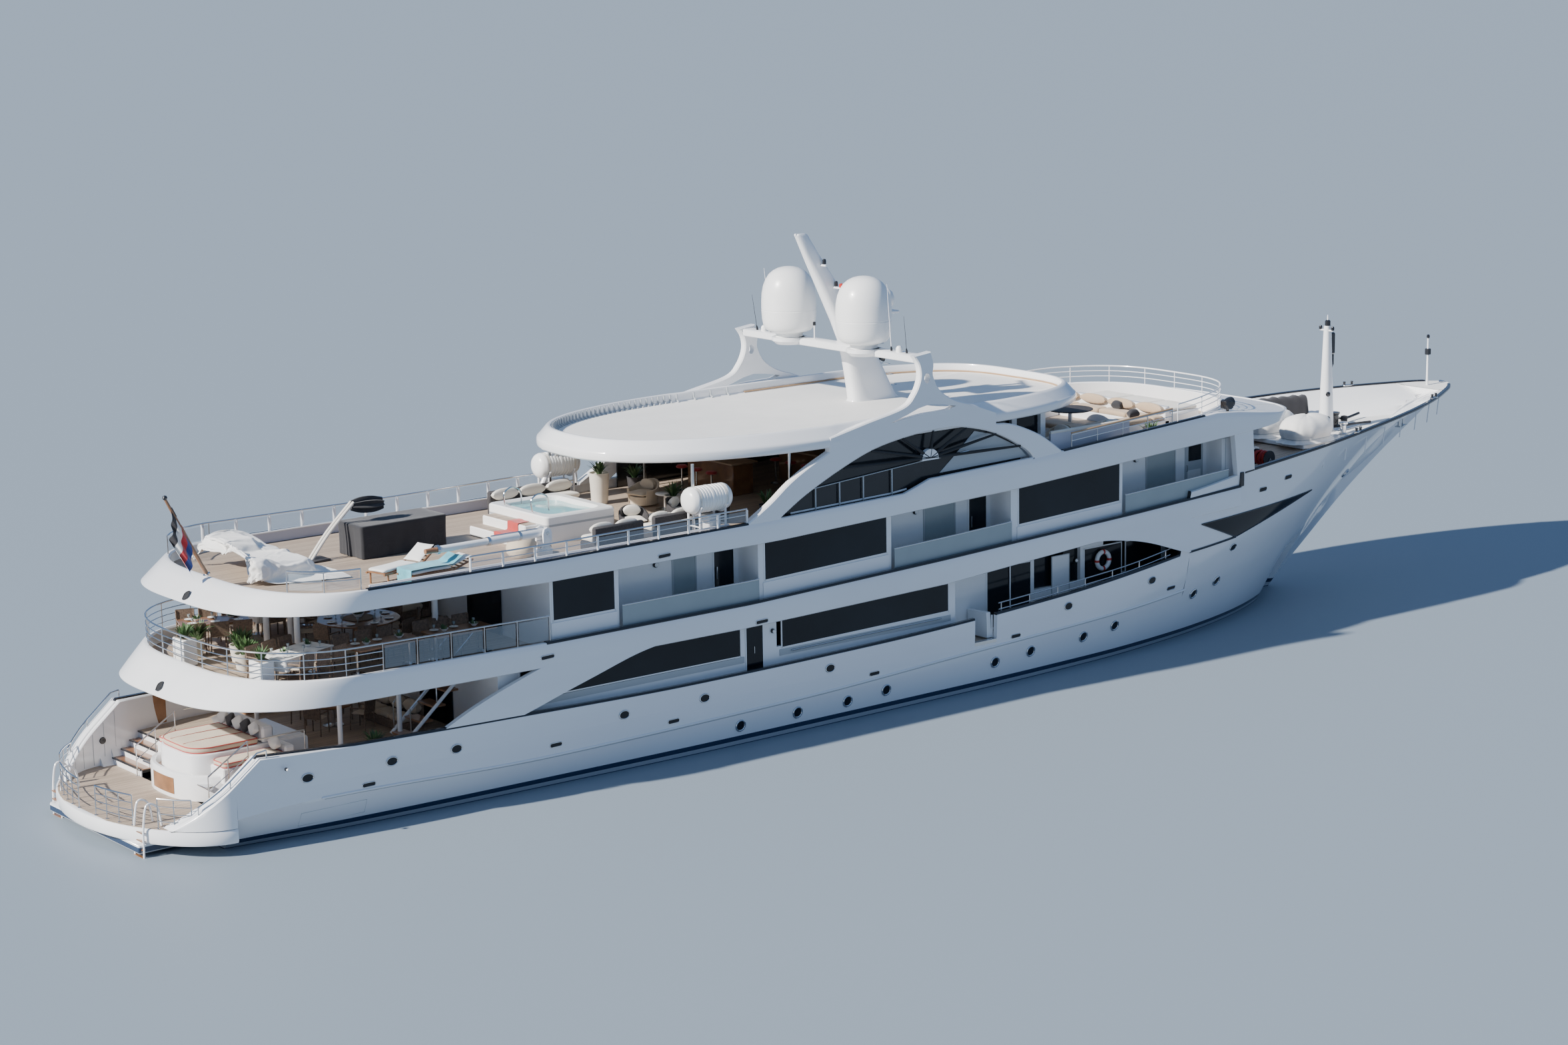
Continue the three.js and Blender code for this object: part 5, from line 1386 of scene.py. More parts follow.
def lamp(piece, place, out, size=0.07):
    """A small bulkhead lamp: a dark body with a pale lens facing out"""
    place, out = Vector(place), Vector(out)
    piece.lathe([(0, 0), (size, 0), (size, 0.05), (size * 0.8, 0.09)], place, "black", 14, axis=out)
    piece.lathe([(size * 0.8, 0.09), (size * 0.5, 0.12), (0, 0.13)], place, "dome", 14, axis=out)


def make_windows():
    windows = Piece("side_windows")
    for _, sign in SIDES:
        under = over(UPPER_LOW, 0.02)
        framed_pane(windows, sign, MAIN_WALL, 11.2, 18.78, lambda x: 2.53, under)
        framed_pane(windows, sign, MAIN_WALL, 20.28, 26.72, lambda x: 2.55 + (x - 20.3) * 0.012, under)
        framed_pane(windows, sign, MAIN_WALL, 18.97, 19.6, lambda x: 1.58, under)
        for aft, fore in ((10.7, 18.9), (20.2, 26.8)):
            xs = spread(aft, fore, 12)
            side_sheet(windows, sign, MAIN_WALL + 0.02, xs, lambda x: 2.32, lambda x: 2.5, "grey")
        windows.tube([(19.27, sign * 4.03, 2.55), (19.27, sign * 4.03, 2.75)], 0.012, "steel", 6)
        lamp(windows, (19.95, sign * 4.0, 3.1), (0, sign, 0))
        for x0, x1 in ((33.15, 34.8), (34.98, 36.6)):
            framed_pane(windows, sign, CABIN_WALL, x0, x1, lambda x: 2.3 + (x - 33) * 0.04, lambda x: 3.5)
        framed_pane(windows, sign, CABIN_WALL, 29.0, 30.85, lambda x: 1.56, lambda x: 3.45)
        windows.tube([(29.95, sign * 3.24, 1.58), (29.95, sign * 3.24, 3.44)], 0.025, "white", 6)
        framed_pane(
            windows, sign, CABIN_WALL, 31.75, 32.5, lambda x: 1.56, lambda x: 3.45, "white", "grey", 0.025
        )
        lamp(windows, (32.75, sign * 3.2, 3.2), (0, sign, 0))
        for x0, x1, sill in UPPER_PANES:
            shape = lambda x: sill + (line_at(UPPER_TOP, x) - line_at(UPPER_TOP, x0))
            framed_pane(windows, sign, UPPER_WALL, x0, x1, shape, over(SUN_LOW, -0.03))
            side_sheet(
                windows, sign, UPPER_WALL + 0.03, spread(x0 - 0.06, x1 + 0.06, 9), over(UPPER_TOP, -0.3),
                lambda x: shape(x) - 0.06, "white",
            )
        for x in (38.85, 39.3):
            low, high = over(UPPER_TOP, 0.1), over(SUN_LOW, -0.02)
            side_sheet(windows, sign, BRIDGE_WALL + 0.012, (x, x + 0.02), low, high, "grey")
    windows.finish(slot="tinted_glass")


def make_balconies():
    balconies = Piece("balcony_outfit")
    for _, sign in SIDES:
        y = sign * RECESS_WALL
        for aft, fore, lamp_x, panel, door in RECESSES:
            lamp(balconies, (lamp_x, y, line_at(SUN_LOW, lamp_x) - 0.35), (0, sign, 0), 0.09)
            wall = (balconies, sign, RECESS_WALL)
            framed_pane(*wall, *panel, over(UPPER_DECK, 0.5), over(SUN_LOW, -0.2), "frosted", "grey", 0.05)
            if door:
                low, high = over(UPPER_DECK, 0.12), over(SUN_LOW, -0.25)
                framed_pane(*wall, *door, low, high, "glass", "white", 0.05)
                x, floor = door[0] + 0.1, line_at(UPPER_DECK, aft)
                grip = [(x, sign * (RECESS_WALL + 0.06), floor + lift) for lift in (0.9, 1.25)]
                balconies.tube(grip, 0.014, "steel", 6)
            xs = spread(aft + 0.05, fore - 0.05, 10)
            side_sheet(balconies, sign, 4.2, xs, over(UPPER_TOP, -0.2), over(UPPER_TOP, 0.6), "frosted", 0.02)
            balconies.tube([(x, sign * 4.19, line_at(UPPER_TOP, x) + 0.61) for x in xs], 0.022, "steel", 8)
            for x in spread(aft + 0.12, fore - 0.12, 5):
                z = line_at(UPPER_TOP, x)
                balconies.tube([(x, sign * 4.165, z - 0.1), (x, sign * 4.165, z + 0.61)], 0.016, "steel", 8)
            above, below = over(SUNDECK, -SLAB - DECK_LIFT), over(UPPER_DECK, DECK_LIFT)
            for height, which in ((above, "ceiling"), (below, "teak")):
                rows = [[(x, sign * s, height(x)) for s in (RECESS_WALL, 4.19)] for x in spread(aft, fore, 4)]
                balconies.grid(rows, which)
    balconies.finish()


make_windows()
make_balconies()


# Arches, hardtop and mast


ARCH_OUTER = [
    (18.9, 6.3), (18.9, 6.47), (19.7, 6.93), (20.4, 7.42), (21.1, 7.8), (21.9, 8.15), (21.92, 8.56),
    (23.3, 8.84),
    (24.7, 9.12), (25.15, 9.45), (25.38, 9.9), (25.35, 10.3), (25.15, 10.6), (25.8, 10.68),
    (25.92, 10.3), (25.9, 9.95),
    (26.15, 9.5), (26.7, 9.15), (27.5, 8.9), (28.4, 8.58), (28.4, 8.22), (29.1, 8.12), (30.2, 7.67),
    (31.1, 7.08),
    (31.1, 6.8),
]
ARCH_INNER = [
    (29.9, 6.8), (29.9, 7.04), (29.5, 7.37), (28.4, 7.92), (27.2, 8.24), (26.3, 8.32), (25.0, 8.25),
    (23.6, 8.02),
    (22.3, 7.57), (21.0, 6.99), (20.1, 6.47), (20.1, 6.3),
]
ARCH_OUT = SIDE
ARCH_IN = SIDE - 0.25
EYE_SLOT = [
    (24.2, 8.72), (24.87, 8.9), (25.3, 9.04), (25.71, 9.11), (26.2, 9.06), (26.78, 8.95),
    (26.5, 8.87), (25.56, 8.85),
    (24.8, 8.78),
]
WING_HOLE = [(25.64 + 0.11 * c, 9.9 + 0.15 * s) for c, s in around(16)]
ARCH_PANEL = [(26.3, 6.95), (29.85, 7.02), (29.5, 7.36), (28.4, 7.88), (27.7, 8.05), (26.9, 7.4)]
ARCH_RAIL = [(21.3, 7.1), (31.3, 7.8)]
ARCH_SPOKES = ((22.45, 7.6), (23.5, 7.98), (24.7, 8.2), (25.9, 8.3), (27.2, 8.22), (28.4, 7.9), (29.4, 7.42))


def eased(points, sharp):
    """A closed outline smoothed between its points, except at those named sharp"""
    n = len(points)
    out = []
    for i in range(n):
        p1, p2 = Vector(points[i]), Vector(points[(i + 1) % n])
        p0 = p1 if i in sharp else Vector(points[i - 1])
        p3 = p2 if (i + 1) % n in sharp else Vector(points[(i + 2) % n])
        steps = 1 if i in sharp and (i + 1) % n in sharp else 5
        out += [on_curve(p0, p1, p2, p3, k / steps) for k in range(steps)]
    return out


def outline_inset(points, distance):
    """The same closed outline drawn a distance inside itself (points run counter-clockwise)"""
    n = len(points)
    out = []
    for i in range(n):
        a, b, c = Vector(points[i - 1]), Vector(points[i]), Vector(points[(i + 1) % n])
        d0, d1 = (b - a).normalized(), (c - b).normalized()
        normal = Vector((-(d0.y + d1.y), d0.x + d1.x))
        if normal.length < 1e-6:
            normal = Vector((-d0.y, d0.x))
        normal.normalize()
        out.append(b + normal * distance)
    return out


def counter_clockwise(points):
    area = sum(a[0] * b[1] - b[0] * a[1] for a, b in zip(points, points[1:] + points[:1]))
    return list(points) if area > 0 else list(points)[::-1]


def slab_with_holes(piece, outline, holes, y0, y1, which):
    """An upright plate between two half-breadths, with holes through it and its outer edge rounded"""
    round_off = 0.035
    outline = [Vector(p) for p in counter_clockwise(outline)]
    inner = outline_inset(outline, round_off)
    holes = [[Vector(p) for p in counter_clockwise(h)][::-1] for h in holes]
    sign = 1 if y1 > y0 else -1
    for y, edge in ((y0, y0 + sign * round_off), (y1, y1 - sign * round_off)):
        loops = [[Vector((p.x, y, p.y)) for p in inner]] + [[Vector((p.x, y, p.y)) for p in h] for h in holes]
        flat = [p for loop in loops for p in loop]
        faces = tessellate_polygon([[Vector((p.x, p.z, 0)) for p in loop] for loop in loops])
        piece.add(flat, faces, which)
        piece.grid([[(p.x, y, p.y) for p in inner], [(p.x, edge, p.y) for p in outline]], which, close=True)
    sides = (y0 + sign * round_off, y1 - sign * round_off)
    piece.grid([[(p.x, y, p.y) for p in outline] for y in sides], which, close=True)
    for hole in holes:
        piece.grid([[(p.x, y0, p.y) for p in hole], [(p.x, y1, p.y) for p in hole]], which, close=True)


def make_arches():
    sharp = {0, 1, 5, 6, 12, 13, 19, 20, 23, 24, 25, 35, 36}
    outline = eased([*ARCH_OUTER, *ARCH_INNER], sharp)
    outline = [Vector((p.x, max(p.y, line_at(SUN_TOP, p.x) - 0.05))) for p in outline]
    for side, sign in SIDES:
        arch = Piece("arch_skin_" + side)
        slab_with_holes(arch, outline, [EYE_SLOT, WING_HOLE], sign * ARCH_IN, sign * ARCH_OUT, "white")
        arch.finish(replaces=["side_arch_" + side], sharp=30)
    sun = Piece("arch_glazing")
    for _, sign in SIDES:
        hub = Vector((25.75, sign * (ARCH_OUT - 0.04), 7.5))
        half_disc = [
            (hub.x + 0.33 * math.cos(a), hub.z - 0.06 + 0.33 * math.sin(a)) for a in spread(0, math.pi, 21)
        ]
        sun.prism(half_disc, sign * (ARCH_OUT - 0.14), sign * (ARCH_OUT + 0.004), "white")
        for x, z in ARCH_SPOKES:
            tip = Vector((x, hub.y, z))
            sun.tube([hub, hub.lerp(tip, 0.5), tip], [0.05, 0.05, 0.035], "rubber", 8)
        sun.tube(along_side(SUN_TOP, sign * 4.1, 20.6, 25.0, 8, 0.02), 0.03, "white", 6)
        sun.prism(ARCH_PANEL, sign * 4.07, sign * 4.12, "grey")
        sun.tube(along_side(ARCH_RAIL, sign * 4.16, 21.4, 26.6, 12), 0.014, "grey", 8)
        for x in (21.5, 22.4, 23.3, 24.4):
            sun.tube([(x, sign * 4.16, line_at(table, x)) for table in (SUN_TOP, ARCH_RAIL)], 0.022, "grey", 8)
        sun.tube([(26.1, sign * 4.3, 7.46), (27.3, sign * 4.3, 7.52)], 0.03, "steel", 8)
    sun.finish()


def hardtop_edge(inset):
    """Half outline (x, y) of the hardtop's edge, aft tip first"""
    aft = stern_outline(22.5, HARDTOP_AFT + inset, SIDE + 0.008 - inset, 44, 0.78)[::-1]
    fore = stern_outline(28.4, 33.75 - inset, SIDE - inset, 44, 0.56)
    middle = [(x, SIDE - inset) for x in spread(22.5, 28.4, 10)[1:-1]]
    edge = aft + middle + fore
    return [(x, min(y, ARCH_OUT - 0.03 - inset) if 22.4 <= x <= 28.4 else y) for x, y in edge]


HARDTOP_AFT = 15.5
HARDTOP_UNDER = 8.24
HARDTOP_SHOULDER = 8.54
HARDTOP_DECK = 8.58
HARDTOP_RIM = 8.87


def make_hardtop():
    top = Piece("hardtop_skin")
    profile = [
        (0.6, HARDTOP_UNDER + 0.03), (
            0.16, HARDTOP_UNDER + 0.004
        ), (0.06, HARDTOP_UNDER + 0.02), (0.015, HARDTOP_UNDER + 0.06),
        (0, HARDTOP_UNDER + 0.12), (0, HARDTOP_SHOULDER - 0.06), (0.015, HARDTOP_SHOULDER - 0.01),
        (
            0.06, HARDTOP_SHOULDER + 0.03
        ), (0.26, HARDTOP_RIM - 0.06), (0.32, HARDTOP_RIM - 0.01), (0.37, HARDTOP_RIM),
        (
            0.41, HARDTOP_RIM - 0.015
        ), (0.43, HARDTOP_RIM - 0.06), (0.44, HARDTOP_DECK + 0.05), (0.5, HARDTOP_DECK + 0.01),
    ]
    rows = []
    for inset, z in profile:
        rows.append([(x, y, z) for x, y in mirrored(hardtop_edge(inset))])
    top.grid(rows, "white", close=True)
    top.face(rows[0], "ceiling")
    middle = 24.3
    crown = []
    for share, lift in ((1, 0.01), (0.8, 0.03), (0.55, 0.05), (0.25, 0.065), (0.001, 0.07)):
        ring = mirrored(hardtop_edge(0.5))
        crown.append([(middle + (x - middle) * share, y * share, HARDTOP_DECK + lift) for x, y in ring])
    top.grid(crown, "deck_white", close=True)
    # A brown line along the foot of the rim on the deck: painted shade of the gutter under the rim
    for s in (1, -1):
        rim_foot_shade_line = [(x, s * y, HARDTOP_DECK + 0.05) for x, y in hardtop_edge(0.47) if x > 25]
        top.tube(rim_foot_shade_line, 0.03, "tan", 6)
    half = hardtop_edge(0.435)
    for i in range(3, len(half) - 3):
        (ax, ay), (x, y), (bx, by) = half[i - 1:i + 2]
        if x > 24.5:
            continue
        along = Vector((bx - ax, by - ay, 0)).normalized()
        for s in (1, -1):
            base, inward = Vector((x, s * y, 0)), Vector((along.y, -s * along.x, 0))
            steps = ((0.01, HARDTOP_RIM - 0.03), (0.03, HARDTOP_DECK + 0.08), (0.12, HARDTOP_DECK + 0.015))
            top.tube([base + inward * reach + Vector((0, 0, z)) for reach, z in steps], 0.03, "grey", 6)
    for x in spread(17.0, 31.0, 8):
        for y in (-2.2, 0, 2.2):
            top.lathe([(0, -0.012), (0.08, -0.012), (0.09, 0)], (x, y, HARDTOP_UNDER + 0.02), "steel", 12)
    top.finish(replaces=["hardtop"], sharp=32)


def squircle(cx, cy, cz, rx, ry, power=3.2, sides=28):
    """A level ring between a box and an ellipse"""
    return [(cx + rx * bent(c, 2 / power), cy + ry * bent(s, 2 / power), cz) for c, s in around(sides)]


def closed_loft(piece, rings, which):
    piece.grid(rings, which, close=True)
    piece.ends(rings, which)


def whip(piece, foot, top, which="white", radius=0.014):
    foot, top = Vector(foot), Vector(top)
    piece.lathe([(0.035, 0), (0.035, 0.06), (0.02, 0.14)], foot, "black", 10, axis=top - foot)
    piece.tube([foot, foot.lerp(top, 0.5), top], [radius, radius * 0.8, radius * 0.45], which, 6)


def make_mast():
    mast = Piece("mast_skin")
    rows = [
        (
            8.62, 27.15, 0.95, 0.36
        ), (8.72, 27.12, 0.86, 0.33), (9.2, 26.95, 0.76, 0.31), (10.0, 26.66, 0.62, 0.3),
        (10.6, 26.42, 0.55, 0.29), (11.2, 26.1, 0.5, 0.27), (11.9, 25.66, 0.42, 0.24), (12.6, 25.22, 0.34, 0.2),
        (13.3, 24.78, 0.27, 0.15), (13.9, 24.43, 0.22, 0.11), (13.95, 24.42, 0.16, 0.08),
    ]
    closed_loft(mast, [squircle(x, 0, z, rx, ry) for z, x, rx, ry in rows], "white")
    mast.box((26.0, -0.95, 11.36), (27.5, 0.35, 11.44), "white", 0.03)
    mast.tube([(26.35, -0.3, 10.9), (26.9, -0.6, 11.36)], 0.05, "white", 8)
    mast.tube([(27.15, 0, 11.4), (27.15, 0, 12.13)], [0.13, 0.09], "white", 16)
    small_dome = [(0.2, 0), (0.2, 0.05), (0.34, 0.2), (0.36, 0.4), (0.3, 0.56), (0.16, 0.68), (0, 0.72)]
    mast.lathe(small_dome, (27.1, -0.62, 11.44), "dome", 28)
    for x, y, z in ((25.5, 0.33, 12.3), (25.5, -0.33, 12.3), (25.1, 0.27, 13.0), (25.1, -0.27, 13.0)):
        mast.lathe([(0, 0), (0.06, 0), (0.06, 0.1), (0.045, 0.15), (0, 0.16)], (x, y, z), "black", 12)
    for x, half, z, radius in ((25.5, 0.62, 12.25, 0.035), (25.05, 0.42, 12.96, 0.03)):
        mast.tube([(x, -half, z), (x, half, z)], radius, "white", 8)
    for y, which in ((0.58, "black"), (-0.58, "red")):
        mast.lathe([(0, 0), (0.07, 0), (0.07, 0.1), (0, 0.13)], (25.5, y, 12.28), which, 12)
    mast.lathe([(0, 0), (0.06, 0), (0.06, 0.12), (0, 0.15)], (24.42, 0, 13.78), "black", 12)
    mast.tube([(26.9, 0, 9.7), (27.45, 0, 9.85), (27.6, 0, 9.86)], [0.05, 0.05, 0.13], "black", 12)
    mast.lathe([(0, 0), (0.3, 0), (0.32, 0.05), (0.3, 0.08), (0, 0.09)], (26.75, 0, 10.2), "white", 20)
    for z in spread(9.0, 11.0, 7):
        x = 27.15 + 0.92 - (z - 8.62) * 0.39
        step = [(x + d, y, z) for d, y in ((-0.02, -0.16), (0.1, -0.16), (0.1, 0.16), (-0.02, 0.16))]
        mast.tube(step, 0.013, "steel", 6)
    mast.tube([(24.45, 0, 13.9), (24.2, 0, 13.93)], 0.04, "white", 8)
    mast.finish(replaces=["mast"], sharp=40)
    scanner = Piece("scanner_skin")
    turn = Matrix.Rotation(0.97, 3, "Z")
    centre = Vector((27.15, 0, 12.15))

    rings = [
        [centre + turn @ Vector((x, w * bent(c, 0.7), 0.155 + h * bent(s, 0.7))) for c, s in around(16)]
        for x, w, h in ((-0.65, 0.03, 0.03), (-0.63, 0.07, 0.06), (0.63, 0.07, 0.06), (0.65, 0.03, 0.03))
    ]
    closed_loft(scanner, rings, "dome")
    scanner.tube([centre, centre + Vector((0, 0, 0.12))], 0.1, "white", 20)
    scanner.finish(body="radar_scanner", replaces=["radar_scanner"])


DOME_X = 25.35
DOME_Y = 1.8


def make_domes():
    beam = Piece("beam_skin")
    section = (
        (-0.2, -0.09), (
            -0.18, -0.11
        ), (0.2, -0.11), (0.23, -0.08), (0.23, 0.08), (0.2, 0.11), (-0.18, 0.11), (-0.22, 0.08),
    )
    closed_loft(
        beam, [[(25.52 + dx, y, 10.47 + dz) for dx, dz in section] for y in spread(-4.095, 4.095, 40)], "white"
    )
    for _, sign in SIDES:
        profile = [(0, -0.11), (0.42, -0.11), (0.55, 0), (0.55, 0.1), (0.5, 0.115), (0, 0.115)]
        beam.lathe(profile, (DOME_X, sign * DOME_Y, 10.465), "white", 36)
        whip(beam, (25.5, sign * 2.9, 10.58), (25.3, sign * 2.95, 12.6))
        whip(beam, (25.5, sign * 3.6, 10.58), (25.35, sign * 3.65, 11.7), "black", 0.01)
        beam.lathe(
            [(0, 0), (0.1, 0), (0.1, 0.12), (0.06, 0.18), (0, 0.2)], (25.5, sign * 3.25, 10.58), "dome", 16
        )
        beam.tube([(25.5, sign * 0.75, 10.58), (25.5, sign * 0.75, 11.0)], 0.02, "white", 8)
        beam.lathe([(0, 0), (0.05, 0), (0.05, 0.1), (0, 0.12)], (25.5, sign * 0.75, 11.0), "black", 10)
    beam.finish(replaces=["radar_beam"])
    for side, sign in SIDES:
        dome = Piece("dome_skin_" + side)
        profile = [
            (0, 0.002), (0.42, 0.002), (0.42, 0.12), (0.5, 0.13), (0.68, 0.2), (0.755, 0.28), (0.8, 0.38),
            (0.835, 0.55),
        ]
        profile += [
            (0.85, 0.8), (0.852, 0.83), (0.846, 0.84), (0.846, 0.86), (0.852, 0.87), (0.85, 1.1), (0.835, 1.35)
        ]
        profile += [
            (0.79, 1.58), (0.715, 1.77), (0.61, 1.93), (0.48, 2.04), (0.33, 2.115), (0.17, 2.155), (0, 2.168)
        ]
        dome.lathe(profile, (DOME_X, sign * DOME_Y, 10.581), "dome", 48)
        dome.finish(slot="dome", replaces=["satcom_dome_" + side], sharp=30)


make_arches()
make_hardtop()
make_mast()
make_domes()

# Rails, ladders and flagstaff


def resample(path, gap):
    """Points at even distances of about gap along a path"""
    path = [Vector(p) for p in path]
    lengths = [(b - a).length for a, b in zip(path, path[1:])]
    total = sum(lengths)
    count = max(1, round(total / gap))
    out = []
    for k in range(count + 1):
        d = total * k / count
        i = 0
        while i < len(lengths) - 1 and d > lengths[i]:
            d -= lengths[i]
            i += 1
        out.append(path[i].lerp(path[i + 1], min(1.0, d / max(lengths[i], 1e-9))))
    return out


def raised(path, lift):
    return [Vector(p) + Vector((0, 0, lift)) for p in path]


def rail(piece, path, heights, gap=1.0, which="steel", radius=0.024, pane=None, foot=0):
    """A guard rail over a path on the deck: bars at some heights, posts, and panes between if asked for"""
    top = max(heights)
    for h in heights:
        piece.tube(
            resample(raised(path, h), 0.4), radius if h == top else radius * 0.6, which, 8 if h == top else 6
        )
    for p in resample(path, gap):
        piece.tube([p + Vector((0, 0, foot)), p + Vector((0, 0, top))], radius * 0.75, which, 6)
        piece.lathe([(0.05, 0), (0.05, 0.015), (0.02, 0.02)], p + Vector((0, 0, foot)), which, 10)
    if pane:
        posts = resample(path, gap)
        for a, b in zip(posts, posts[1:]):
            a, b = a.lerp(b, 0.05), b.lerp(a, 0.05)
            corners = ((a, foot + 0.08), (b, foot + 0.08), (b, top - 0.06), (a, top - 0.06))
            piece.face([p + Vector((0, 0, h)) for p, h in corners], pane)


def stern_path(arc, tip, table, forward):
    """A path round a deck's stern on its side plate's top edge, from starboard to port"""
    half_width = SIDE - 0.075
    places = spread(forward, arc["corner"] + 0.2, max(2, int(forward - arc["corner"]) + 2))
    line = [(x, half_width) for x in places] + stern_outline(arc["corner"], tip, half_width, 24)
    starboard = [Vector((x, -y, line_at(table, x))) for x, y in line]
    return starboard + [Vector((x, y, line_at(table, x))) for x, y in line[:-1]][::-1]


def make_upper_rails():
    rails = Piece("upper_deck_rails")
    path = stern_path(UPPER_STERN, 3.18, UPPER_TOP, 6.8)
    rail(rails, path, (0.16, 0.34, 0.52, 0.72), 1.15, foot=-0.03)
    for _, sign in SIDES:
        side = along_side(UPPER_TOP, sign * (SIDE - 0.075), 6.8, 12.05, 6)
        rail(rails, side, (0.72,), 1.15, pane="clear", foot=-0.03)
    rails.finish(slot="steel")


def make_sundeck_rails():
    rails = Piece("sundeck_rails")
    for _, sign in SIDES:
        run = along_side(SUN_TOP, sign * (SIDE - 0.085), 6.2 if sign > 0 else 9.6, 18.9, 13)
        bars = (0.5,) if sign > 0 else (0.26, 0.43)
        rail(rails, run, bars, 1.06, pane="clear", foot=-0.02)
        for p in resample(run, 1.06):
            rails.tube([p, p + Vector((0, 0, max(bars) - 0.03))], 0.05 if sign > 0 else 0.035, "white", 8)
    corner = stern_outline(SUN_STERN["corner"], 4.02, SIDE - 0.085, 24)
    panel = [Vector((x, -y, line_at(SUN_TOP, x))) for x, y in corner[1:14]]
    rail(rails, panel, (0.3, 0.56), 0.9, pane="clear", foot=-0.02)
    side = [Vector((x, y, line_at(SUN_TOP, x))) for x, y in corner[:14]]
    rail(rails, side, (0.5,), 1.0, pane="clear", foot=-0.02)
    for _, sign in SIDES:
        run = along_side(SUNDECK, sign * 4.06, 6.6, 18.4, 14, 0.01)
        tall = 0.3
        section = ((0, 0), (0.1, 0), (0.1, tall), (0, tall))
        # The low parapet's lavender-grey is painted shade on a white wall
        rails.grid([[p + Vector((0, sign * y, z)) for y, z in section] for p in run], "parapet", close=True)
        rails.tube(raised(run, tall + 0.01), 0.025, "white", 8)
    bow = [
        (x, y) for x, y in stern_outline(COAMING["start"], COAMING["tip"] - 0.08, SIDE - 0.14, 28) if x > 36.2
    ]
    line = [Vector((x, -y, line_at(COAMING_TOP, x))) for x, y in bow]
    line += [Vector((x, y, line_at(COAMING_TOP, x))) for x, y in bow[:-1]][::-1]
    rail(rails, line, (0.2, 0.38, 0.55), 1.3, "white", foot=-0.02)
    for _, sign in SIDES:
        side = along_side(SUN_TOP, sign * (SIDE - 0.1), 31.6, 36.0, 5)
        rail(rails, side, (0.22, 0.42), 1.1, foot=-0.02)
        rails.tube(raised(side, 0.46), 0.03, "tan", 8)
    rails.finish(slot="steel")


SIDE_RAIL = [(28.6, 2.62), (31.3, 2.78), (34.0, 2.98), (36.0, 3.26)]


def make_side_rails():
    """Handrails along the side decks, on the arches' feet and up the stern"""
    rails = Piece("side_rails")
    for _, sign in SIDES:
        for drop in (0, 0.2):
            run = [Vector((x, sign * 4.2, z)) - Vector((0, 0, drop)) for x, z in SIDE_RAIL]
            rails.tube(smooth_line(run), 0.022, "steel", 8)
        for x in spread(28.7, 35.8, 7):
            ends = (line_at(SHEER, x) - 0.02, line_at(SIDE_RAIL, x))
            rails.tube([(x, sign * 4.2, z) for z in ends], 0.02, "steel", 8)
        rails.tube([(20.6, sign * 4.05, 2.42), (26.4, sign * 4.05, 2.46)], 0.02, "steel", 8)
        xs = spread(1.5, 3.3, 8)
        grip = [Vector((x, sign * (side_half(x, wing_top(x)) - 0.06), wing_top(x) + 0.2)) for x in xs]
        rails.tube(grip, 0.022, "steel", 8)
        for p in (grip[0], grip[3], grip[-1]):
            rails.tube([p, p - Vector((0, 0, 0.2))], 0.018, "steel", 8)
        lamp(rails, (3.75, sign * 4.33, 2.1), (0, sign, 0), 0.05)
    x, y, z = 33.9, -3.3, 3.05
    middle = Vector((x, y, z))
    life_ring = [Vector((x + 0.27 * c, y, z + 0.27 * s)) for c, s in around(24)]
    rails.tube(life_ring, 0.075, "dome", 12, closed=True)
    for p in life_ring[::6]:
        away = (p - middle).normalized()
        tangent = away.cross(Vector((0, 1, 0)))
        band = []
        for a in spread(0, 2 * math.pi, 13):
            band.append(p + away * 0.082 * math.cos(a) + Vector((0, 0.082 * math.sin(a), 0)))
        rails.grid([[q - tangent * 0.035 for q in band], [q + tangent * 0.035 for q in band]], "red")
    rails.finish(slot="steel")


TREAD_HALF = 0.045


def ladder(piece, foot, head, width, rungs):
    """A ladder of two curved stringers with flat treads"""
    foot, head = Vector(foot), Vector(head)
    across = Vector((0, 1, 0)) * width / 2
    for s in (-1, 1):
        path = [foot + across * s, foot.lerp(head, 0.5) + across * s, head + across * s]
        over_top = head + across * s + Vector((0.12, 0, 0.62))
        path += [over_top, over_top + Vector((0.3, 0, -0.1)), over_top + Vector((0.4, 0, -0.6))]
        piece.tube(smooth_line(path), 0.03, "white", 8)
    for k in range(rungs):
        p = foot.lerp(head, (k + 0.5) / rungs)
        d = Vector((TREAD_HALF, 0, 0))
        corners = [(p.x + u * d.x, p.y + v * across.y) for u, v in ((-1, -1), (1, -1), (1, 1), (-1, 1))]
        piece.prism(corners, p.z, p.z + 0.03, "wood", plane="xy")


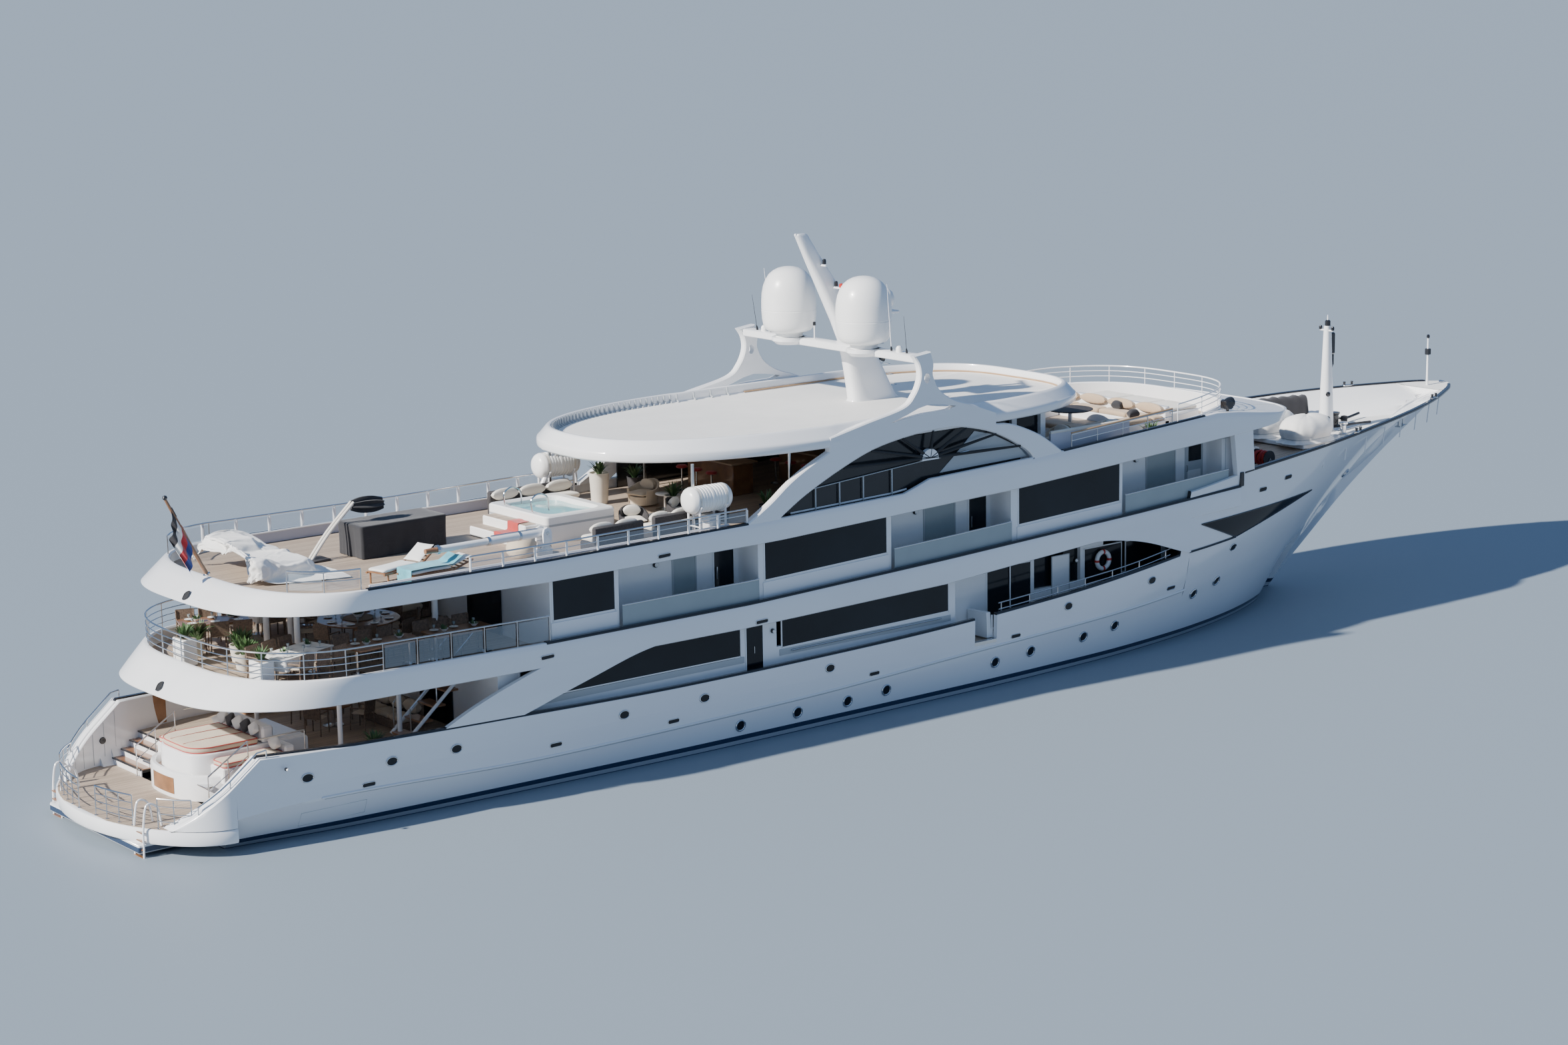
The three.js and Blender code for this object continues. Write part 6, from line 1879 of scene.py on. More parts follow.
def make_stern_gear():
    gear = Piece("stern_rails")
    edge = [Vector((*platform_edge(a, 0.14), PLATFORM_TOP)) for a in spread(-1.25, 1.25, 33)]
    for low, high in ((-3.65, -2.7), (-2.1, -0.55), (0.3, 2.1), (2.6, 3.7)):
        rail(gear, [p for p in edge if low <= p.y <= high], (0.2, 0.4, 0.6, 0.8), 0.5, radius=0.022)
    for y in (-2.4, 2.35):
        edge_x = min(p.x for p in edge if abs(p.y - y) < 0.4)
        ladder(gear, (edge_x - 0.03, y, -0.35), (edge_x, y, 0.75), 0.5, 5)
    for _, sign in SIDES:
        rise = (MAIN_DECK - PLATFORM_TOP) / STAIRS_COUNT
        path = [Vector((2.7 + k * STAIRS_GOING, sign * 2.05, PLATFORM_TOP + k * rise)) for k in range(5)]
        rail(gear, path, (0.45, 0.85), 0.6, radius=0.022)
        high = MAIN_DECK + 0.85
        gear.tube(
            [(4.2, sign * 2.1, high), (5.6, sign * 2.05, high), (5.6, sign * 2.05, MAIN_DECK)],
            0.022, "steel", 8,
        )
        stair = [Vector((8.2 + k * 0.42, sign * 2.6, MAIN_DECK + k * 0.36)) for k in range(6)]
        for k, p in enumerate(stair):
            gear.box((p.x, p.y - 0.42, p.z + 0.30), (p.x + 0.4, p.y + 0.42, p.z + 0.36), "wood", 0.01)
        for s in (-0.44, 0.44):
            string = [p + Vector((0, s, 0.3)) for p in stair]
            gear.tube(string, 0.05, "white", 8)
            hand = [p + Vector((0.1, s, 1.15)) for p in stair]
            gear.tube(hand, 0.024, "steel", 8)
            for p, q in zip(stair[::2], hand[::2]):
                gear.tube([p + Vector((0.1, s, 0.3)), q], 0.018, "steel", 6)
    for y in (-2.3, 2.3):
        for x in (6.55, 8.4):
            gear.tube([(x, y, MAIN_DECK), (x, y, line_at(UPPER_DECK, x) - SLAB)], 0.07, "white", 16)
    gear.finish(slot="steel")
    pillars = Piece("upper_deck_pillars")
    for x, y in ((6.2, 0.85), (6.95, 0.85), (6.2, -0.85), (9.9, 1.9), (9.9, -1.9)):
        pillars.tube([(x, y, line_at(UPPER_DECK, x)), (x, y, line_at(SUNDECK, x) - SLAB)], 0.085, "white", 20)
        pillars.lathe(
            [(0.15, 0), (0.15, 0.02), (0.1, 0.05), (0.085, 0.06)], (x, y, line_at(UPPER_DECK, x)), "white", 20
        )
    for x in spread(17.5, 28.0, 4):
        for y in (-3.6, 3.6):
            pillars.tube([(x, y, line_at(SUNDECK, x)), (x, y, HARDTOP_UNDER + 0.01)], 0.05, "steel", 14)
    pillars.tube([(16.9, 3.6, line_at(SUNDECK, 16.9)), (18.1, 3.6, HARDTOP_UNDER + 0.02)], 0.09, "white", 12)
    pillars.finish()


make_upper_rails()
make_sundeck_rails()
make_side_rails()
make_stern_gear()


# Sundeck outfit


def deck_z(x):
    return line_at(SUNDECK, x)


def rounded_ring(x0, x1, y0, y1, z, radius):
    """A level rounded rectangle"""
    ring = []
    left, right, low, high = x0 + radius, x1 - radius, y0 + radius, y1 - radius
    for cx, cy, start in ((right, high, 0), (left, high, 90), (left, low, 180), (right, low, 270)):
        for turn in (0, 18, 36, 54, 72, 90):
            a = math.radians(start + turn)
            ring.append((cx + radius * math.cos(a), cy + radius * math.sin(a), z))
    return ring


def make_spa():
    spa = Piece("spa_skin")
    x0, x1, y0, y1 = 13.9, 16.3, -1.5, 1.5

    def ring(inset, z, radius):
        return rounded_ring(x0 + inset, x1 - inset, y0 + inset, y1 - inset, z, radius)

    def ripple(x, y):
        return 6.78 + 0.012 * math.sin(3 * x + 2 * y) + 0.008 * math.sin(7 * x - 5 * y)

    profile = (
        (
            0, deck_z(14) + 0.002, 0.12
        ), (0, 6.82, 0.12), (0, 6.86, 0.13), (0.03, 6.898, 0.14), (0.27, 6.898, 0.3),
        (0.31, 6.86, 0.3), (0.36, 6.5, 0.3), (0.7, 6.48, 0.3), (0.8, 6.32, 0.25),
    )
    rings = [ring(*row) for row in profile]
    spa.grid(rings, "dome", close=True)
    spa.face(rings[-1], "dome")
    spa.grid([ring(-0.004, z, 0.13) for z in (6.6, 6.66)], "grey", close=True)
    for k, x in enumerate((13.0, 13.45)):
        top = 6.4 + k * 0.25
        spa.box((x, -1.1, deck_z(13) + 0.002), (14.0, 1.1, top), "dome", 0.03)
        spa.box((x + 0.03, -1.06, top - 0.004), (x + 0.42, 1.06, top + 0.01), "teak", 0.004)
    xs, ys = spread(x0 + 0.34, x1 - 0.34, 24), spread(y0 + 0.34, y1 - 0.34, 24)
    spa.grid([[(x, y, ripple(x, y)) for y in ys] for x in xs], "water")
    for y in (-0.7, 0.7):
        grip = [(x, y, z) for x, z in ((14.0, 6.9), (13.95, 7.25), (14.2, 7.42), (14.5, 7.3), (14.55, 6.9))]
        spa.tube(smooth_line(grip), 0.022, "steel", 8)
    for k in range(6):
        spa.lathe(
            [(0, 0), (0.035, 0), (0.04, 0.01)], (14.4 + 0.28 * k, 1.15, 6.56), "steel", 10, axis=(0, -1, 0)
        )
    spa.finish(replaces=["spa_tub"], sharp=30)


def make_rafts():
    for side, sign in SIDES:
        raft = Piece("life_raft_skin_" + side)
        y, z = sign * 3.78, 7.25
        profile = [(0, 0), (0.18, 0.01), (0.3, 0.05), (0.36, 0.12), (0.38, 0.19)]
        for k in range(5):
            h = 0.2 + k * 0.1
            profile += [(0.385, h), (0.385, h + 0.05), (0.36, h + 0.06), (0.36, h + 0.09)]
        profile += [(0.385, 0.7), (0.39, 0.725), (0.39, 0.745)]
        half = profile + [(r, 1.5 - h) for r, h in profile[::-1]]
        raft.lathe(half, (17.1, y, z), "dome", 36, axis=(1, 0, 0))
        for x in (17.4, 17.85, 18.3):
            band = [(x, y + 0.388 * math.cos(a), z + 0.388 * math.sin(a)) for a in spread(0, 2 * math.pi, 33)]
            raft.grid([[(x - 0.03, b, c) for x, b, c in band], [(x + 0.03, b, c) for x, b, c in band]], "cream")
        for x in (17.4, 18.3):
            angles = spread(math.pi * 1.12, math.pi * 1.88, 12)
            arc = [(x, y + 0.405 * math.cos(a), z + 0.405 * math.sin(a)) for a in angles]
            raft.tube(arc, 0.035, "white", 8)
            for dy in (-0.27, 0.27):
                raft.tube([(x, y + dy, deck_z(x) + 0.002), (x, y + dy, z - 0.28)], 0.035, "white", 10)
                raft.lathe(
                    [(0.07, 0), (0.07, 0.02), (0.035, 0.03)], (x, y + dy, deck_z(x) + 0.002), "white", 12
                )
            raft.tube([(x, y - 0.27, 6.5), (x, y + 0.27, 6.5)], 0.025, "white", 8)
        for dy in (-0.27, 0.27):
            raft.tube([(17.4, y + dy, 6.72), (18.3, y + dy, 6.72)], 0.025, "white", 8)
        raft.box((17.75, y - 0.2, deck_z(18) + 0.002), (18.2, y + 0.2, 6.78), "white", 0.03)
        for k in range(3):
            raft.box((17.79, y - 0.215, 6.24 + 0.18 * k), (18.16, y + 0.215, 6.3 + 0.18 * k), "grey", 0.01)
        raft.finish(slot="dome", replaces=["life_raft_" + side], sharp=34)


def make_crane():
    post = Piece("crane_post_skin")
    x, y = 12.4, -3.6
    profile = [(0.24, 6.502), (0.24, 6.54), (0.2, 6.56), (0.185, 6.72), (0.2, 6.74), (0.2, 6.8), (0, 6.81)]
    post.lathe([(r, z - 6.5) for r, z in profile], (x, y, 6.5), "white", 28)
    post.lathe([(0.215, 0), (0.215, 0.03)], (x, y, 6.6), "steel", 28)
    for s in (-1, 1):
        ear = ((-0.14, 6.75), (0.14, 6.75), (0.14, 7.0), (0.1, 7.12), (0, 7.16), (-0.1, 7.12), (-0.14, 7.0))
        post.prism([(x + d, z) for d, z in ear], y + s * 0.205, y + s * 0.135, "white")
        post.lathe([(0.05, 0), (0.05, 0.02), (0, 0.025)], (x, y + s * 0.205, 7.0), "steel", 12, axis=(0, s, 0))
    post.finish(body="crane_post", replaces=["crane_post"])
    boom = Piece("crane_boom_skin")
    z = 7.0
    boom.tube([(12.52, y, z), (x, y, z), (10.6, y, z)], [0.1, 0.118, 0.118], "white", 20)
    boom.tube([(10.6, y, z), (9.0, y, z)], 0.095, "dome", 20)
    boom.tube([(9.0, y, z), (8.62, y, z)], [0.075, 0.07], "wood", 16)
    for collar_x in (10.6, 9.0, 11.6):
        boom.tube([(collar_x - 0.04, y, z), (collar_x + 0.04, y, z)], 0.125, "steel", 20)
    boom.tube([(x, y - 0.13, z), (x, y + 0.13, z)], 0.06, "steel", 14)
    boom.tube([(8.66, y, z), (8.66, y, z - 0.07)], 0.02, "steel", 8)
    boom.tube([(12.2, y, z + 0.13), (10.7, y, z + 0.13)], 0.02, "steel", 8)
    boom.finish(body="crane_boom", replaces=["crane_boom"])


def placer(x, y, z, turn):
    """The function that sets a point of a thing in its place on the deck, turned about z"""
    rotation, centre = Matrix.Rotation(turn, 3, "Z"), Vector((x, y, z))
    return lambda p: centre + rotation @ Vector(p)


def armchair(piece, x, y, z, turn, seat="cream", shell="charcoal", wide=0.85):
    """A low club chair with a wrapped back and a seat cushion"""
    place = placer(x, y, z, turn)
    rows = []
    for k in range(13):
        a = math.radians(-125 + 250 * k / 12)
        c, s = math.cos(a), math.sin(a)
        r = wide / 2
        high = 0.5 + 0.24 * max(0, c)
        section = ((0.92, 0.06), (1, 0.35), (1.04, high), (0.92, high), (0.82, 0.3))
        rows.append([place((r * share * c, r * share * s, lift)) for share, lift in section])
    piece.grid(rows, shell)
    piece.ends(rows, shell)
    base = [place((wide * 0.42 * c, wide * 0.42 * s, 0.3)) for c, s in around(24)]
    low = [Vector((p.x, p.y, z + 0.05)) for p in base]
    piece.grid([low, base], shell, close=True)
    piece.face(base, shell)
    piece.pad(place((-0.03, 0, 0.38)), (wide * 0.78, wide * 0.74, 0.17), seat, turn=turn, steps=8)
    piece.pad(place((0.22, 0, 0.6)), (0.14, wide * 0.6, 0.36), seat, turn=turn, tilt=-0.2, steps=8)


def chair(piece, x, y, z, turn):
    """A dining armchair on four legs"""
    place = placer(x, y, z, turn)
    for sx, top_x, head in ((-1, 0.22, 0.62), (1, 0.27, 0.88)):
        for sy in (-1, 1):
            leg = ((sx * 0.24, sy * 0.25, 0), (sx * 0.22, sy * 0.24, 0.45), (sx * top_x, sy * 0.25, head))
            piece.tube([place(p) for p in leg], 0.02, "wicker", 6)
    for sy in (-1, 1):
        piece.tube([place((-0.22, sy * 0.25, 0.62)), place((0.24, sy * 0.25, 0.64))], 0.022, "wicker", 6)
    back = [
        [place((0.23 + 0.05 * v, u * 0.25, 0.48 + 0.42 * v)) for v in spread(0, 1, 4)] for u in spread(-1, 1, 5)
    ]
    piece.grid(back, "wicker")
    behind = Matrix.Rotation(turn, 3, "Z") @ Vector((0.03, 0, 0))
    piece.grid([[p + behind for p in row] for row in back], "wicker")
    piece.pad(place((0, 0, 0.47)), (0.46, 0.46, 0.08), "cushion", turn=turn, steps=6)


def table(piece, x, y, z, radius, tall, which):
    """A round table on one foot"""
    foot = [(0, 0), (0.3, 0), (0.3, 0.03), (0.06, 0.08), (0.05, tall - 0.1), (0.2, tall - 0.05)]
    piece.lathe(foot, (x, y, z), "steel", 20)
    top = [
        (0.2, -0.05), (radius - 0.03, -0.045), (radius, -0.02), (radius, 0), (radius - 0.02, 0.012), (0, 0.012)
    ]
    piece.lathe(top, (x, y, z + tall), which, 36)


PLATE_FORM = [(0, 0.004), (0.08, 0.006), (0.13, 0.02), (0.13, 0.024), (0, 0.012)]
GLASS_FORM = [
    (0, 0), (
        0.035, 0.002
    ), (0.006, 0.01), (0.006, 0.08), (0.035, 0.1), (0.04, 0.16), (0.034, 0.16), (0.03, 0.1),
    (0, 0.09),
]


def setting(piece, x, y, z, radius, places):
    """Plates and glasses laid round a table"""
    for k in range(places):
        a = 2 * math.pi * k / places
        plate = (PLATE_FORM, radius, a, "dome", 18)
        glass = (GLASS_FORM, radius * 0.72, a + 0.22, "frosted", 10)
        for form, r, b, which, sides in (plate, glass):
            piece.lathe(form, (x + r * math.cos(b), y + r * math.sin(b), z), which, sides)


def plant(piece, x, y, z, seed, spread_out=0.4, tall=0.6, leaves=46):
    """A tuft of curved leaves"""
    dice = random.Random(seed)
    for _ in range(leaves):
        a = dice.uniform(0, 2 * math.pi)
        lean = dice.uniform(0.15, 1.0)
        high = tall * dice.uniform(0.55, 1.0)
        out = Vector((math.cos(a), math.sin(a), 0))
        side = Vector((-math.sin(a), math.cos(a), 0)) * dice.uniform(0.02, 0.045)
        foot = Vector((x, y, z)) + out * 0.05
        rows = []
        for t in spread(0, 1, 5):
            p = foot + out * (spread_out * lean * t ** 1.4) + Vector((0, 0, high * (t - 0.35 * lean * t ** 3)))
            w = math.sin(math.pi * (0.12 + 0.86 * t))
            rows.append([p - side * w, p + side * w])
        piece.grid(rows, "leaf")


def planter(piece, x, y, z, seed, radius, tall, which="stone"):
    """A tapered pot with a plant in it"""
    form = [
        (0, 0), (0.78, 0), (0.85, 0.1), (1, tall - 0.04), (1.04, tall), (0.92, tall), (0.88, tall - 0.06),
        (0, tall - 0.08),
    ]
    piece.lathe([(radius * share, h) for share, h in form], (x, y, z), which, 28)
    plant(piece, x, y, z + tall - 0.08, seed)


def lounger(piece, x, y, z, turn, back):
    """A slatted wooden lounger with a raised back"""
    place = placer(x, y, z, turn)
    for sy in (-1, 1):
        piece.tube([place((-1.0, sy * 0.33, 0.32)), place((0.35, sy * 0.33, 0.32))], 0.03, "wood", 8)
        piece.tube(
            [place((0.35, sy * 0.33, 0.32)), place((1.0, sy * 0.33, 0.32 + back * 0.55))], 0.03, "wood", 8
        )
        for sx in (-0.85, 0.25):
            piece.tube([place((sx, sy * 0.33, 0)), place((sx, sy * 0.33, 0.32))], 0.028, "wood", 8)
    for k in range(12):
        u = -0.95 + k * 0.115
        piece.tube([place((u, -0.33, 0.34)), place((u, 0.33, 0.34))], 0.022, "wood", 6)
    for k in range(5):
        t = (k + 0.5) / 5
        slat = [place((0.35 + 0.65 * t, y, 0.34 + back * 0.55 * t)) for y in (-0.33, 0.33)]
        piece.tube(slat, 0.022, "wood", 6)


make_spa()
make_rafts()
make_crane()

# Soft goods


def rounded_rect(x0, x1, y0, y1, radius=0.12, pull=0.02, steps=4, side=5):
    """A rounded rectangle, counter-clockwise, whose sides pull in a little between the corners"""
    out = []
    corners = (
        (x1 - radius, y1 - radius, 0, (0, 1)), (x0 + radius, y1 - radius, 90, (-1, 0)),
        (x0 + radius, y0 + radius, 180, (0, -1)), (x1 - radius, y0 + radius, 270, (1, 0)),
    )
    for k, (cx, cy, start, normal) in enumerate(corners):
        for i in range(steps + 1):
            a = math.radians(start + 90 * i / steps)
            out.append((cx + radius * math.cos(a), cy + radius * math.sin(a)))
        nx, ny = normal
        ax, ay = out[-1]
        bx, by = corners[(k + 1) % 4][:2]
        bx, by = bx + radius * nx, by + radius * ny
        for i in range(1, side):
            t = i / side
            inward = pull * math.sin(math.pi * t)
            out.append((ax + (bx - ax) * t - nx * inward, ay + (by - ay) * t - ny * inward))
    return out


def turned(outline, centre, angle):
    c, s = math.cos(angle), math.sin(angle)
    cx, cy = centre
    return [(cx + (x - cx) * c - (y - cy) * s, cy + (x - cx) * s + (y - cy) * c) for x, y in outline]


def cushion(piece, outline, low, high, which, piping=None, crown=0.05, buttons=()):
    """A stuffed pad over an outline: full sides, welted edges and a crowned top that dips at its buttons"""
    cx = sum(p[0] for p in outline) / len(outline)
    cy = sum(p[1] for p in outline) / len(outline)
    reach = max(math.hypot(x - cx, y - cy) for x, y in outline)
    tall = high - low
    rise = min(crown, tall * 0.35)
    edge = high - rise

    def ring(inset, z):
        row = []
        for x, y in outline:
            d = math.hypot(x - cx, y - cy)
            share = max(0, 1 - inset / max(d, 1e-6))
            row.append((cx + (x - cx) * share, cy + (y - cy) * share, z))
        return row

    def dip(x, y):
        return sum(0.4 * rise * math.exp(-((x - bx) ** 2 + (y - by) ** 2) / 0.03) for bx, by in buttons)

    piece.stuffing = True
    rows = [
        ring(0.05, low), ring(0.015, low + tall * 0.12), ring(0, low + tall * 0.4),
        ring(0.005, edge - tall * 0.12), ring(0.02, edge),
    ]
    piece.grid(rows, which, close=True)
    piece.add(rows[0], [tuple(range(len(outline)))[::-1]], which)
    top = []
    for share in (1.0, 0.96, 0.88, 0.76, 0.6, 0.42, 0.24, 0.1):
        row = []
        for x, y, _ in ring(0.02, edge):
            px, py = cx + (x - cx) * share, cy + (y - cy) * share
            row.append((px, py, edge + rise * (1 - share ** 4) ** 0.6 - dip(px, py)))
        top.append(row)
    piece.grid(top, which, close=True)
    piece.add(top[-1], [tuple(range(len(outline)))], which)
    if piping:
        for inset, z in ((0.012, edge), (0.02, low + tall * 0.1)):
            piece.tube(ring(inset, z), 0.016 if reach > 0.6 else 0.01, piping, 6, closed=True)
    piece.stuffing = False


DRAPE_FRAMES = 34
DRAPE_STIFFNESS = 6.0
DRAPE_GAP = 0.006


def drape(name, corner, size, count, blocks, which, start, replaces):
    """A sheet of cloth let down over some blocks by simulation, kept as its own mesh"""
    dice = random.Random(3)
    nx, ny = count
    rows = []
    for i in range(nx):
        x = corner[0] + size[0] * i / (nx - 1)
        ys = [corner[1] + size[1] * j / (ny - 1) for j in range(ny)]
        rows.append([(x, y, start(x, y) + dice.uniform(0, 0.012)) for y in ys])
    piece = Piece(name)
    piece.grid(rows, which)
    sheet = piece.finish(slot="cover", replaces=replaces)
    solid = Piece(name + "_form")
    for low, high, soften in blocks:
        solid.box(low, high, "white", soften)
    mesh = bpy.data.meshes.new("form")
    mesh.from_pydata([at(p) for p in solid.points], [], solid.faces)
    form = bpy.data.objects.new("form", mesh)
    bpy.context.scene.collection.objects.link(form)
    form.modifiers.new("push", "COLLISION")
    form.collision.thickness_outer = DRAPE_GAP
    form.collision.cloth_friction = 12
    cloth = sheet.modifiers.new("drape", "CLOTH")
    cloth.settings.quality = 6
    cloth.settings.mass = 0.25
    cloth.settings.tension_stiffness = DRAPE_STIFFNESS * 4
    cloth.settings.compression_stiffness = DRAPE_STIFFNESS * 4
    cloth.settings.shear_stiffness = DRAPE_STIFFNESS
    cloth.settings.bending_stiffness = DRAPE_STIFFNESS * 0.12
    cloth.settings.air_damping = 2
    cloth.collision_settings.distance_min = DRAPE_GAP
    cloth.collision_settings.collision_quality = 3
    cloth.point_cache.frame_start = 1
    cloth.point_cache.frame_end = DRAPE_FRAMES
    scene = bpy.context.scene
    for frame_number in range(1, DRAPE_FRAMES + 1):
        scene.frame_set(frame_number)
    settled = sheet.evaluated_get(bpy.context.evaluated_depsgraph_get())
    points = [v.co.copy() for v in settled.data.vertices]
    sheet.modifiers.remove(cloth)
    for vertex, place in zip(sheet.data.vertices, points):
        vertex.co = place
    scene.frame_set(1)
    bpy.data.objects.remove(form)
    sheet.data.update()
    rise = sheet.modifiers.new("smooth", "SUBSURF")
    rise.levels = 1
    rise.render_levels = 1


def fitted_cover(piece, place, low, high, which, seed):
    """A tailored cover over a box: a top that sags between its edges and sides in soft folds to a loose hem"""
    dice = random.Random(seed)
    x0, x1, y0, y1 = place
    outline = rounded_rect(x0, x1, y0, y1, 0.07, 0, 4, 22)
    middle = Vector(((x0 + x1) / 2, (y0 + y1) / 2))
    folds = [dice.uniform(-1, 1) for _ in outline]
    folds = [(folds[i - 1] + 2 * folds[i] + folds[(i + 1) % len(folds)]) / 4 for i in range(len(folds))]
    rows = []
    for share in spread(0, 1, 12):
        z = low + (high - 0.03 - low) * share
        row = []
        for i, (x, y) in enumerate(outline):
            away = (Vector((x, y)) - middle).normalized()
            shift = 0.035 * folds[i] * (1 - share) ** 0.7 - 0.03 * (1 - share) - 0.012 * math.sin(
                math.pi * share
            )
            row.append((x + away.x * shift, y + away.y * shift, z))
        rows.append(row)
    for share, drop in ((0.985, 0.008), (0.94, 0), (0.8, 0.008), (0.55, 0.02), (0.3, 0.028), (0.1, 0.03)):
        rows.append([
            (
                middle.x + (x - middle.x) * share, middle.y + (y - middle.y) * share,
                high - drop - 0.006 * dice.random(),
            )
            for x, y in outline
        ])
    piece.grid(rows, which, close=True)
    piece.add(rows[-1], [tuple(range(len(outline)))], which)


def mound_cover(piece, centre, half, low, high, which, seed):
    """A slack cover over rounded machinery, drawn in by a cord near its foot, its hem spread on the deck"""
    dice = random.Random(seed)
    count = 72
    folds = [dice.uniform(-1, 1) for _ in range(count)]
    folds = [(folds[i - 1] + 2 * folds[i] + folds[(i + 1) % count]) / 4 for i in range(count)]
    lean = dice.uniform(0, 2 * math.pi)
    rows = []
    profile = (
        (1.06, 0), (1.0, 0.03), (0.9, 0.1), (0.87, 0.15), (0.93, 0.24), (0.97, 0.4), (0.95, 0.56), (0.87, 0.72),
        (0.74, 0.85), (0.56, 0.93), (0.36, 0.98), (0.18, 1.0), (0.06, 0.995),
    )
    for reach, rise in profile:
        row = []
        for i, (c, s) in enumerate(around(count)):
            a = 2 * math.pi * i / count
            loose = 0.07 * folds[i] * (1 - rise) ** 0.6
            swell = 1 + loose + 0.035 * math.sin(3 * a + lean) * rise
            x = centre[0] + half[0] * reach * swell * bent(c, 0.8)
            y = centre[1] + half[1] * reach * swell * bent(s, 0.8)
            dent = 0.035 * math.sin(2 * a + lean) * rise + 0.012 * folds[i] * rise
            row.append((x, y, low + (high - low) * rise + dent))
        rows.append(row)
    piece.grid(rows, which, close=True)
    piece.face(rows[-1], which)
    cord = [Vector(p) + (Vector(p) - Vector((*centre, p[2]))).normalized() * 0.012 for p in rows[3]]
    piece.tube(cord, 0.014, "grey", 6, closed=True)


def make_covers():
    deck = 6.14
    drape(
        "covered_lounge_skin", (4.15, -1.75), (3.75, 5.3), (64, 90),
        [
            ((3.0, -4.0, deck - 0.3), (9.0, 4.5, deck + 0.012), 0),
            ((4.95, -0.7, deck), (6.9, 2.6, deck + 0.45), 0.12),
            ((5.15, 1.2, deck), (6.4, 2.75, deck + 0.8), 0.25),
            ((4.95, -0.9, deck), (5.5, 1.4, deck + 0.64), 0.15),
            ((6.5, -0.2, deck), (7.2, 0.9, deck + 0.3), 0.1),
        ],
        "canvas", lambda x, y: deck + 0.84 - 0.05 * abs(y - 1), replaces=[
            "covered_lounge"
        ],
    )
    bar = Piece("covered_bar_skin")
    fitted_cover(bar, (8.9, 11.68, 0.16, 1.48), deck + 0.01, 7.07, "black_canvas", 5)
    made = bar.finish(slot="black_cover", replaces=["covered_bar"], sharp=75)
    base = Piece("windlass_base")
    z = line_at(UPPER_DECK, 46.4)
    base.box((45.2, -1.5, z - 0.05), (47.6, 1.5, z + 0.11), "white", 0.03)
    drum = [(0.16, 0), (0.16, 0.02), (0.1, 0.05), (0.1, 0.3), (0.16, 0.36), (0.16, 0.42), (0, 0.44)]
    for y in (-0.85, 0.85):
        base.lathe(drum, (47.95, y, z + 0.1), "steel", 20)
    for y in (-0.85, 0.85):
        base.tube(
            smooth_line([(47.4, y, z + 0.3), (48.2, y * 0.9, z + 0.22), (49.0, y * 0.75, z + 0.24)]),
            0.045, "steel", 8,
        )
    base.finish(slot="steel")
    for k, (side, sign) in enumerate(SIDES):
        cover = Piece("windlass_cover_" + side)
        mound_cover(cover, (46.0, sign * 0.88), (1.08, 0.72), z + 0.115, z + 1.02, "canvas", 7 + k)
        made = cover.finish(slot="cover", replaces=["windlass_covers"], sharp=75)


make_covers()

# Stern island and aft main deck


